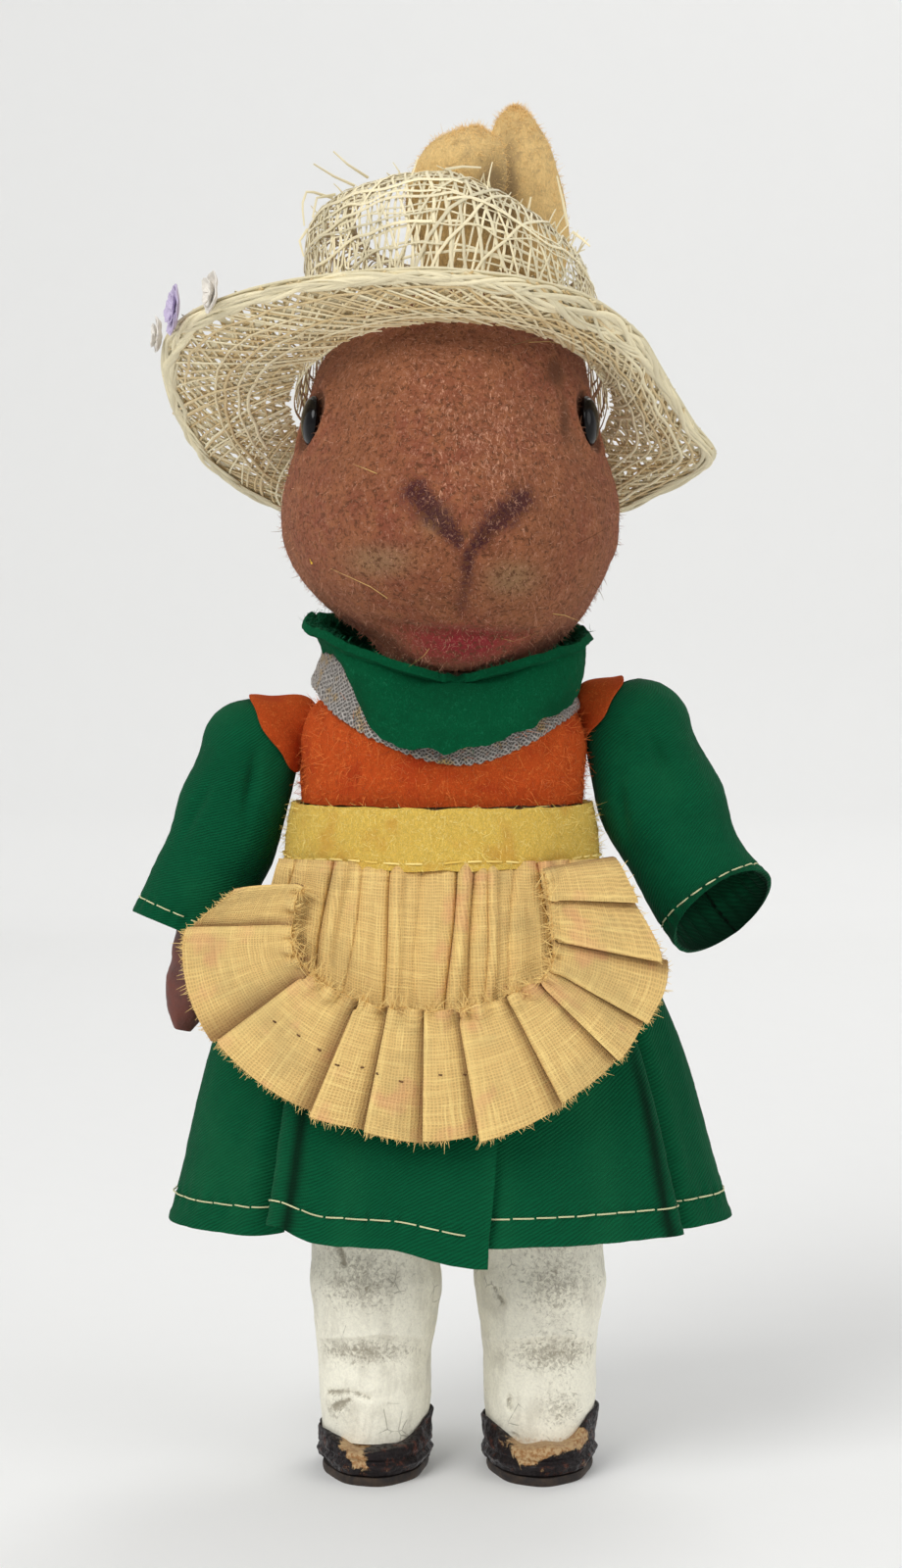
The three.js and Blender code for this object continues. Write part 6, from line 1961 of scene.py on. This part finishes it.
def make_sleeves(size):
    material = twill_material(size)
    thread = hair_material("cuff_thread", shade(size.thread, 0.85), size.thread)
    for seed, (side, arm) in enumerate(ARMS.items()):
        draw = np.random.default_rng(101 + seed)
        surface = sleeve_surface(arm)
        long = arm["length"] + arm["radius"] * 1.4
        sign = -1 if side == "right" else 1

        def relief(places, u, v):
            """Folds that run down and across the sleeve, strongest at the bend."""
            x, z = places[:, 0] - arm["shoulder"][0], places[:, 2] - arm["shoulder"][2]
            drag = (x * sign * 0.75 + z * 0.66) / 4.6
            cross = (x * sign * -0.5 + z * 0.86) / 5.6
            bend = hill(v, 0.5, 0.3)
            strong = 0.65 if side == "right" else 1.15
            out = strong * 0.62 * np.sin(drag * 2.2 + 1.3 * ripple(places, 0.07, seed)) * bend
            wavy = np.sin(cross * 2.4 + 2.0 * ripple(places, 0.06, seed + 5))
            out += strong * 0.42 * wavy * hill(v, 0.42, 0.26)
            slack = ripple(places * np.array([1, 1, 0.5]), 0.11, seed + 3)
            out += strong * 0.5 * slack * (1 - hill(v, 1, 0.26))
            out -= 0.9 * hill((u + 0.5) % 1 - 0.5, 0.03 + 0.1 * (0.75 - v), 0.022) * hill(v, 0.66, 0.11)
            out -= 0.7 * hill((u + 0.5) % 1 - 0.5, -0.11 + 0.12 * (v - 0.5), 0.02) * hill(v, 0.5, 0.12)
            down = v * long
            out -= 0.2 * hill(down, CUFF_STITCH, 0.35)
            out += 0.16 * hill(down, 0.5, 0.6) + 0.14 * np.sin(u * TURN * 24) * hill(down, 2.2, 1.4)
            return out + 0.07 * ripple(places, 0.8, 9)

        def place(u, v):
            turn = u + 0.5
            places = surface(turn, v)
            ways = normals_of(surface, turn, np.clip(v, 0.0, 0.93))
            return places + ways * relief(places, turn, v)[:, None]

        piece = lay_grid(f"{side}_sleeve_twill", 190, 110, place, cut=(52, 40), wrap=True)
        at = corners_of(piece) / MM - arm["shoulder"]
        rise = np.degrees(np.arctan2(at[:, 2], -sign * at[:, 0]))
        slot = (np.abs(at[:, 1]) < 1.5) & (rise > -10) & (rise < 80)
        cut_away(piece, slot & (np.linalg.norm(at, axis=1) < arm["radius"] + 1.2))
        area = min(area_of(piece), 0.00226)
        crown = corners_of(piece)[:, 2] / MM
        set_share(piece, "rubbed", hill(crown, arm["shoulder"][2] + arm["radius"], 3.0) * 0.5)
        seam_pole(piece, arm["shoulder"][2] + arm["radius"] - 0.4)
        outer = corners_of(piece) / MM
        thicken(piece, size.thickness / MM * 0.75, outwards=False)
        both = corners_of(piece) / MM
        # Painted shade on the inside of the sleeve, darker further from the cuff
        inner = np.ones(len(both))
        moved = np.linalg.norm(both[: len(outer)] - outer, axis=1) > 0.01
        inner[: len(outer)] = moved
        inner[len(outer):] = not moved.any()
        from_cuff = surface(np.linspace(0, 1, 9), np.zeros(9)).mean(axis=0)
        away = np.linalg.norm(both - from_cuff, axis=1)
        set_share(piece, "deep", inner * smooth_step(5.5, 8.8, away))
        wear(piece, material, "twill", f"{side}_limb", f"{side}_sleeve", smooth=50)
        turns = np.linspace(0, 1, 420)
        rows = np.full(420, CUFF_STITCH / long)
        ups = normals_of(surface, turns, rows)
        base = surface(turns, rows)
        path = base + ups * (relief(base, turns, rows) + 0.1)[:, None]
        line = stitches(f"{side}_cuff_stitches", path, ups, 2.2, 0.45, 0.11, draw)
        wear(line, thread, "twill", f"{side}_limb", smooth=60)


def seam_pole(piece, above):
    """Fills the small hole at the crown of a cap."""
    only(piece)
    bpy.context.tool_settings.mesh_select_mode = (False, True, False)
    for element in ("polygons", "vertices", "edges"):
        flags = np.zeros(len(getattr(piece.data, element)), bool)
        getattr(piece.data, element).foreach_set("select", flags)
    high = corners_of(piece)[:, 2] / MM > above
    for edge in piece.data.edges:
        edge.select = bool(high[edge.vertices[0]] and high[edge.vertices[1]])
    bpy.ops.object.mode_set(mode="EDIT")
    bpy.ops.mesh.fill_holes(sides=0)
    bpy.ops.object.mode_set(mode="OBJECT")
    bpy.context.tool_settings.mesh_select_mode = (True, False, False)


def make_hands(size):
    """Hands and forearms: simple paws with the grooves of moulded fingers."""
    material = hand_material(size.hand)
    width = through(ARM_SHARES)
    for seed, (side, arm) in enumerate(ARMS.items()):
        angle = math.radians(arm["lean"])
        down = np.array([math.sin(angle), 0, -math.cos(angle)])
        across = np.array([math.cos(angle), 0, math.sin(angle)])
        start = arm["shoulder"] + down * arm["start"]

        def place(u, v):
            share = 1 - v
            turn = TURN * (u + 0.5)
            wide = width(share) * ARM_HALF_WIDTH
            tip = smooth_step(0.72, 1.0, share)
            fingers = 0.35 * tip * np.abs(np.sin(turn * 1.5 + 0.6))
            wide = wide - fingers - 0.25 * hill(share, 0.62, 0.05)
            middle = start + down * (share * arm["reach"])[:, None]
            around = across * (np.sin(turn) * wide)[:, None]
            around = around + np.array([0, -1, 0]) * (np.cos(turn) * wide)[:, None]
            places = middle + around
            lump = 0.16 * ripple(places, 0.35, seed) + 0.07 * ripple(places, 1.1, 4)
            return places + around / np.maximum(wide, 0.1)[:, None] * lump[:, None]

        piece = lay_grid(f"{side}_hand_paint", 72, 70, place, wrap=True)
        turn_outwards(piece, close=True)
        wear(piece, material, "hand", f"{side}_limb", f"{side}_arm", smooth=60)


# Legs and shoes

FOOT_SPACING = 24.0
FOOT_CENTRE = 0.9
LEG_BASE = 4.8
LEG_LENGTH = 42.2
LEG_HALF_WIDTH = 9.6
LEG_HALF_DEPTH = 10.0
LEG_SHARES = [
    (0, 0.8, 0.8, 0.92, 0.84), (0.12, 0.85, 0.85, 0.88, 0.82), (0.26, 0.86, 0.86, 0.84, 0.82),
    (0.4, 0.94, 0.94, 0.9, 0.9), (0.52, 1, 1, 0.98, 0.96), (0.62, 0.97, 0.97, 0.94, 0.96),
    (0.8, 0.98, 0.98, 1, 1), (1, 0.9, 0.9, 0.96, 0.98),
]
SHOE_BASE = 1.5
SHOE_HEIGHT = 9.0
SHOE_HALF_WIDTH = 8.3
SHOE_TOE = 15.0
SHOE_HEEL = 12.0
SHOE_SHARES = [
    (0, 0.9, 0.9, 0.97, 0.96), (0.25, 1, 1, 1, 1), (0.5, 0.99, 0.99, 0.97, 0.98),
    (0.8, 0.95, 0.95, 0.84, 0.93), (1, 0.9, 0.9, 0.66, 0.88),
]
# The top edge of each shoe in front, at its outer side and at its inner side
TOPLINES = {"right": (4.9, 6.0, 7.8), "left": (5.3, 8.6, 7.4)}
# Damage of each leg: across from its middle, height, width and tallness of stained places
LEG_STAINS = {
    "right": [(-2.0, 28.0, 8.0, 5.0), (-1.5, 18.0, 8.0, 2.0), (-5.2, 9.6, 2.0, 2.2)],
    "left": [(2.0, 27.5, 6.5, 5.5), (2.0, 17.6, 7.0, 2.6), (3.0, 10.0, 3.4, 3.4)],
}
LEG_CREASES = {
    "right": [
        [(-6.5, 11.6), (-3.4, 12.2), (-0.6, 11.4)], [(-5.6, 9.6), (-3.6, 11.0)], [(-5.2, 33.8), (-4.2, 30.8)],
    ],
    "left": [[(-4.6, 11.2), (-4.4, 9.6)], [(-6.6, 27.0), (-5.6, 25.2)]],
}
BARE_PATCHES = {
    "right": [(-3.2, 5.4, 2.2, 1.6), (-1.8, 3.6, 1.2, 1.0)],
    "left": [(-0.6, 5.6, 5.0, 1.5), (5.2, 6.0, 3.0, 1.2), (-2.2, 4.2, 2.0, 1.2)],
}


def foot_x(side):
    return NECK[0] + FOOT_CENTRE + (-1 if side == "right" else 1) * FOOT_SPACING / 2


def leg_surface(side):
    return form(
        LEG_SHARES, foot_x(side), NECK[1], LEG_BASE, LEG_LENGTH,
        LEG_HALF_WIDTH, LEG_HALF_DEPTH, LEG_HALF_DEPTH,
    )


def make_legs(size):
    material = leg_material(size.leg, size.dirt_and_shade, 0.32)
    for seed, side in enumerate(("right", "left")):
        surface = leg_surface(side)
        middle = foot_x(side)

        def marks(places):
            x, z = places[:, 0] - middle, places[:, 2]
            front = smooth_step(2, -5, places[:, 1])
            stain = spots(x, z, LEG_STAINS[side])
            crease = sum(hill(from_line(x, z, line), 0, 0.4) for line in LEG_CREASES[side])
            knee = 20.6 - 0.018 * x**2 + 0.5 * ripple(places, 0.12, seed)
            ridge = np.exp(-np.abs(z - knee) / 0.8) * smooth_step(9.5, 6.5, np.abs(x))
            # The hollow below the knee: dented, and darkened a little as painted shade
            under = hill(z, knee - 2.6, 2.4) * smooth_step(9.5, 5.5, np.abs(x))
            return front, stain, crease, ridge, under

        def place(u, v):
            turn = u + 0.5
            places = surface(turn, v)
            front, _, crease, ridge, under = marks(places)
            out = 0.32 * ripple(places, 0.13, seed + 2) + 0.1 * ripple(places, 0.5, seed + 6)
            out += front * (0.6 * ridge - 0.4 * under - 0.42 * crease)
            out += 0.035 * ripple(places, 1.8, 3)
            return places + normals_of(surface, turn, v) * out[:, None]

        piece = lay_grid(f"{side}_leg_paint", 190, 150, place, wrap=True)
        turn_outwards(piece, close=True)
        places = corners_of(piece) / MM
        front, stain, crease, _, under = marks(places)
        # Painted shadow of the skirt over the tops of the legs; the share below also holds stains and
        # darkened creases
        skirt_shadow = smooth_step(27, 38, places[:, 2]) * 0.55
        soil = np.clip(front * (0.6 * stain + 0.7 * crease + 0.12 * under) + skirt_shadow * 0.6, 0, 1)
        set_share(piece, "soil", soil)
        worn_low = hill(places[:, 2], 5.2, 1.5) * front
        set_share(piece, "bare", np.clip(worn_low * (0.55 if side == "left" else 0.3), 0, 1))
        wear(piece, material, "leg_paint", "torso", f"{side}_leg", smooth=60)


def make_shoes(size):
    """Moulded shoes: low in front, high round the heel, over a card sole."""
    material = shoe_material(size.shoe, size.bare)
    card = plain_material("sole_card", srgb(30, 24, 22), srgb(58, 44, 32), 0.6, 0.8, depth=0.2)
    for seed, side in enumerate(("right", "left")):
        middle = foot_x(side)
        leg = leg_surface(side)
        foot = form(
            SHOE_SHARES, middle, NECK[1], SHOE_BASE, SHOE_HEIGHT, SHOE_HALF_WIDTH, SHOE_TOE, SHOE_HEEL
        )

        def reach_of(surface, turn, height, grow):
            places = surface(turn, rows_at(surface, height))
            away = places[:, :2] - np.array([middle, NECK[1]])
            return np.linalg.norm(away, axis=1) + grow

        def place(u, v):
            turn = u + 0.5
            angle = np.abs((turn * 360 + 180) % 360 - 180)
            toe, outer_side, inner_side = TOPLINES[side]
            outwards = 0.5 + 0.5 * np.sin(TURN * turn) * (-1 if side == "right" else 1)
            high = inner_side + (outer_side - inner_side) * outwards
            top = toe + (high - toe) * smooth_step(22, 92, angle)
            top += 0.3 * np.sin(turn * TURN * 5 + seed)
            rise, fold = np.clip(v / 0.7, 0, 1), np.clip((v - 0.7) / 0.3, 0, 1)
            height = SHOE_BASE + (top - SHOE_BASE) * rise
            outer = reach_of(foot, turn, np.minimum(height, SHOE_BASE + SHOE_HEIGHT), 0)
            inner = reach_of(leg, turn, np.maximum(height, LEG_BASE), 0.1)
            outer = np.maximum(outer * 0.985, inner + 0.35)
            reach = outer + (inner - outer) * fold**1.2
            rounded = np.sin(fold * math.pi) * 0.35 - fold * 0.25
            # The plan keeps each point's own direction, which differs from the heading on an ellipse
            plan = unit(foot(turn, np.full(len(u), 0.3))[:, :2] - np.array([middle, NECK[1]]))
            places = stacked(middle + plan[:, 0] * reach, NECK[1] + plan[:, 1] * reach, height + rounded)
            welt = 0.35 * hill(height, 2.6, 0.5) - 0.35 * hill(height, 3.5, 0.35)
            out = 0.4 * ripple(places, 0.22, seed) + 0.3 * ripple(places, 0.6, seed + 3)
            out = (out + welt * (1 - fold)) * (1 - 0.6 * fold)
            places[:, :2] += plan * out[:, None]
            return places

        piece = lay_grid(f"{side}_shoe_paint", 200, 52, place, wrap=True)
        turn_outwards(piece, close=True)
        places = corners_of(piece) / MM
        x, z = places[:, 0] - middle, places[:, 2]
        front = smooth_step(-2, -8, places[:, 1])
        bare = spots(x, z, BARE_PATCHES[side]) * front
        edges = 0.14 * hill(z, 2.4, 0.6) + 0.14 * hill(z, SHOE_BASE, 0.5)
        set_share(piece, "bare", np.clip(bare * 0.5 + edges, 0, 1))
        wear(piece, material, "shoe_paint", "torso", f"{side}_shoe", smooth=55)

        def sole_place(u, v):
            turn = u + 0.5
            plan = foot(turn, np.full(len(u), 0.12))
            grow = 0.14 * np.sin(turn * TURN * 9 + seed) + 0.15 * np.sin(v * math.pi) - 0.35
            away = plan[:, :2] - np.array([middle, NECK[1]])
            away *= (1 + grow / np.linalg.norm(away, axis=1))[:, None]
            return stacked(middle + away[:, 0], NECK[1] + away[:, 1], 1.2 * v)

        sole = lay_grid(f"{side}_sole_card", 120, 5, sole_place, wrap=True)
        turn_outwards(sole, close=True)
        wear(sole, card, "card", "torso", f"{side}_sole", smooth=40)


# Pieces that lie inside and are seen only from below or through an opening

INNER_FINISHES = {
    "wood": {
        "nodes": ["neck_peg", "left_leg_peg", "right_leg_peg"],
        "colours": (srgb(196, 150, 98), srgb(160, 112, 66)),
        "grain": (1.2, 0.7, 0.0, 0.1, (1, 1, 0.12)),
    },
    "iron": {
        "nodes": ["shoulder_wire", "right_arm_wire", "left_arm_wire", "right_eye_pin", "left_eye_pin"],
        "colours": (srgb(120, 112, 104), srgb(92, 70, 56)),
        "grain": (1.4, 0.45, 0.85, 0.06, (1, 1, 1)),
    },
    "composition": {
        "nodes": ["torso_core"],
        "colours": (srgb(182, 160, 134), srgb(148, 124, 98)),
        "grain": (0.5, 0.92, 0.0, 0.25, (1, 1, 1)),
    },
}


def finish_inner_pieces():
    for name, finish in INNER_FINISHES.items():
        scale, roughness, metallic, depth, stretch = finish["grain"]
        first, second = finish["colours"]
        material = plain_material(f"{name}_grain", first, second, scale, roughness, metallic, depth, stretch)
        for node in finish["nodes"]:
            for slot in frame["nodes"][node].material_slots:
                slot.material = material


# Stage: a pale floor that curves up behind, three soft lamps and the camera


def make_stage(size):
    tree = Tree("stage_paper", 0.9)
    grain = tree.noise(tree.places((0.2, 0.2, 0.2)), 0.5, 2)
    tree.base = tree.mix(grain, shade(size.floor, 0.99), size.floor)
    material = tree.done()
    shader = tree.shader.outputs["BSDF"]
    seen = tree.node("ShaderNodeLightPath")
    rays = tree.math("MAXIMUM", seen.outputs["Is Glossy Ray"], seen.outputs["Is Transmission Ray"])
    glow = tree.node("ShaderNodeEmission", {"Color": tinted(size.floor), "Strength": 0.85})
    mixed = tree.node("ShaderNodeMixShader", {0: rays, 1: shader, 2: glow.outputs["Emission"]})
    tree.links.new(mixed.outputs["Shader"], tree.nodes["Material Output"].inputs["Surface"])

    def place(u, v):
        sweep = (v - 0.45) / 0.55
        bend = np.clip(sweep, 0, 1)
        y = -900 + 1700 * np.clip(v / 0.45, 0, 1) + 320 * np.sin(bend * math.pi / 2)
        z = 1500 * np.maximum(bend - 0.12, 0) + 260 * (1 - np.cos(np.minimum(bend * 3, 1) * math.pi / 2))
        return stacked((u - 0.5) * 5200, y, np.where(v < 0.45, 0.0, z))

    floor = lay_grid("stage_floor", 8, 60, place)
    only(floor)
    bpy.ops.object.shade_smooth_by_angle(angle=math.radians(80))
    floor.data.materials.append(material)
    lamps = [
        ("key_lamp", (-0.55, -0.75, 0.75), 0.7, 1.0),
        ("fill_lamp", (0.85, -0.6, 0.4), 0.9, 0.42),
        ("back_lamp", (0.3, 0.85, 0.85), 0.7, 0.5),
    ]
    target = Vector((0, 0, 0.1))
    for name, spot, wide, share in lamps:
        clear_selection()
        bpy.ops.object.light_add(type="AREA", location=spot)
        lamp = bpy.context.object
        lamp.name = lamp.data.name = name
        lamp.data.shape = "DISK"
        lamp.data.size = wide
        lamp.data.energy = size.key_light * share
        lamp.rotation_euler = (target - Vector(spot)).to_track_quat("-Z", "Y").to_euler()
    world = bpy.data.worlds.new("soft_room")
    world.use_nodes = True
    world.node_tree.nodes["Background"].inputs["Color"].default_value = (1, 1, 1, 1)
    world.node_tree.nodes["Background"].inputs["Strength"].default_value = 0.5
    bpy.context.scene.world = world
    clear_selection()
    bpy.ops.object.camera_add(
        location=(NECK[0] * MM, NECK[1] * MM - size.distance, size.eye_level),
        rotation=(math.pi / 2 - size.look_down, 0, 0),
    )
    camera = bpy.context.object
    camera.name = camera.data.name = "photo_camera"
    camera.data.sensor_fit = "VERTICAL"
    camera.data.angle = size.view_angle
    camera.data.clip_start = 0.01
    bpy.context.scene.camera = camera
    bpy.context.scene.view_settings.view_transform = "Standard"


# Operators, one for each piece or group of like pieces


class RABBIT_OT_stage(bpy.types.Operator):
    """Lay the floor, hang the lamps and set the camera"""

    bl_idname = "rabbit.stage"
    bl_label = "Stage"

    def execute(self, context):
        make_stage(context.scene.rabbit_stage)
        return {"FINISHED"}


class RABBIT_OT_head(bpy.types.Operator):
    """Mould both halves of the head and flock them"""

    bl_idname = "rabbit.head"
    bl_label = "Head"

    def execute(self, context):
        make_head(context.scene.rabbit_head)
        return {"FINISHED"}


class RABBIT_OT_eyes(bpy.types.Operator):
    """Set the glass eyes"""

    bl_idname = "rabbit.eyes"
    bl_label = "Eyes"

    def execute(self, context):
        make_eyes(context.scene.rabbit_head)
        return {"FINISHED"}


class RABBIT_OT_ears(bpy.types.Operator):
    """Stuff the plush ears"""

    bl_idname = "rabbit.ears"
    bl_label = "Ears"

    def execute(self, context):
        make_ears(context.scene.rabbit_head)
        return {"FINISHED"}


class RABBIT_OT_crown(bpy.types.Operator):
    """Knot the straw net of the hat's crown"""

    bl_idname = "rabbit.crown"
    bl_label = "Hat Crown"

    def execute(self, context):
        make_crown(context.scene.rabbit_hat)
        loose_straws(context.scene.rabbit_hat)
        return {"FINISHED"}


class RABBIT_OT_brim(bpy.types.Operator):
    """Knot the hat's double brim and plait its rim"""

    bl_idname = "rabbit.brim"
    bl_label = "Hat Brim"

    def execute(self, context):
        make_brim(context.scene.rabbit_hat)
        return {"FINISHED"}


class RABBIT_OT_blossoms(bpy.types.Operator):
    """Stitch the blossoms to the brim"""

    bl_idname = "rabbit.blossoms"
    bl_label = "Blossoms"

    def execute(self, context):
        make_blossoms(context.scene.rabbit_hat)
        return {"FINISHED"}


class RABBIT_OT_bodice(bpy.types.Operator):
    """Cut and fit the felt bodice"""

    bl_idname = "rabbit.bodice"
    bl_label = "Bodice"

    def execute(self, context):
        make_bodice(context.scene.rabbit_bodice)
        return {"FINISHED"}


class RABBIT_OT_collar(bpy.types.Operator):
    """Fit the ragged felt collar over the metal braid"""

    bl_idname = "rabbit.collar"
    bl_label = "Collar and Braid"

    def execute(self, context):
        make_ribbon(context.scene.rabbit_bodice)
        make_collar(context.scene.rabbit_bodice, context.scene.rabbit_head)
        return {"FINISHED"}


class RABBIT_OT_waistband(bpy.types.Operator):
    """Wrap the felt waistband and stitch its lower edge"""

    bl_idname = "rabbit.waistband"
    bl_label = "Waistband"

    def execute(self, context):
        make_waistband(context.scene.rabbit_bodice)
        return {"FINISHED"}


class RABBIT_OT_skirt(bpy.types.Operator):
    """Wrap the twill skirt and sew its hem"""

    bl_idname = "rabbit.skirt"
    bl_label = "Skirt"

    def execute(self, context):
        make_skirt(context.scene.rabbit_skirt)
        return {"FINISHED"}


class RABBIT_OT_apron(bpy.types.Operator):
    """Gather the linen apron and pleat its ruffle"""

    bl_idname = "rabbit.apron"
    bl_label = "Apron"

    def execute(self, context):
        skirt_length = context.scene.rabbit_skirt.length / MM
        linen = make_apron_panel(context.scene.rabbit_apron, skirt_length)
        make_apron_ruffle(context.scene.rabbit_apron, skirt_length, linen)
        return {"FINISHED"}


class RABBIT_OT_sleeves(bpy.types.Operator):
    """Set the twill sleeves and sew their cuffs"""

    bl_idname = "rabbit.sleeves"
    bl_label = "Sleeves"

    def execute(self, context):
        make_sleeves(context.scene.rabbit_skirt)
        return {"FINISHED"}


class RABBIT_OT_hands(bpy.types.Operator):
    """Mould the painted hands"""

    bl_idname = "rabbit.hands"
    bl_label = "Hands"

    def execute(self, context):
        make_hands(context.scene.rabbit_limb)
        return {"FINISHED"}


class RABBIT_OT_legs(bpy.types.Operator):
    """Mould the painted legs"""

    bl_idname = "rabbit.legs"
    bl_label = "Legs"

    def execute(self, context):
        make_legs(context.scene.rabbit_limb)
        return {"FINISHED"}


class RABBIT_OT_shoes(bpy.types.Operator):
    """Mould the shoes over their card soles"""

    bl_idname = "rabbit.shoes"
    bl_label = "Shoes"

    def execute(self, context):
        make_shoes(context.scene.rabbit_limb)
        return {"FINISHED"}


class RABBIT_OT_inner(bpy.types.Operator):
    """Finish the wood, wire and pulp that lie inside"""

    bl_idname = "rabbit.inner"
    bl_label = "Inner Pieces"

    def execute(self, context):
        finish_inner_pieces()
        return {"FINISHED"}


SETTINGS = {
    "rabbit_stage": RabbitStageSettings,
    "rabbit_head": RabbitHeadSettings,
    "rabbit_hat": RabbitHatSettings,
    "rabbit_bodice": RabbitBodiceSettings,
    "rabbit_skirt": RabbitSkirtSettings,
    "rabbit_apron": RabbitApronSettings,
    "rabbit_limb": RabbitLimbSettings,
}
OPERATORS = [
    RABBIT_OT_stage,
    RABBIT_OT_inner,
    RABBIT_OT_head,
    RABBIT_OT_eyes,
    RABBIT_OT_ears,
    RABBIT_OT_crown,
    RABBIT_OT_brim,
    RABBIT_OT_blossoms,
    RABBIT_OT_bodice,
    RABBIT_OT_collar,
    RABBIT_OT_waistband,
    RABBIT_OT_skirt,
    RABBIT_OT_apron,
    RABBIT_OT_sleeves,
    RABBIT_OT_hands,
    RABBIT_OT_legs,
    RABBIT_OT_shoes,
]


class RABBIT_PT_pieces(bpy.types.Panel):
    """Lists the toy's settings and the pieces that they make"""

    bl_idname = "RABBIT_PT_pieces"
    bl_label = "Rabbit Toy"
    bl_space_type = "VIEW_3D"
    bl_region_type = "UI"
    bl_category = "Rabbit Toy"

    def draw(self, context):
        for name, group in SETTINGS.items():
            box = self.layout.box()
            box.label(text=name.replace("_", " ").title())
            for key in group.__annotations__:
                box.prop(getattr(context.scene, name), key)
        column = self.layout.column()
        for operator in OPERATORS:
            column.operator(operator.bl_idname)


def register():
    for kind in (*SETTINGS.values(), *OPERATORS, RABBIT_PT_pieces):
        bpy.utils.register_class(kind)
    for name, group in SETTINGS.items():
        setattr(bpy.types.Scene, name, bpy.props.PointerProperty(type=group))


def unregister():
    for name in SETTINGS:
        delattr(bpy.types.Scene, name)
    for kind in reversed((*SETTINGS.values(), *OPERATORS, RABBIT_PT_pieces)):
        bpy.utils.unregister_class(kind)


def main():
    register()
    for operator in OPERATORS:
        name = operator.bl_idname.split(".")[1]
        getattr(bpy.ops.rabbit, name)()


if __name__ == "__main__":
    main()
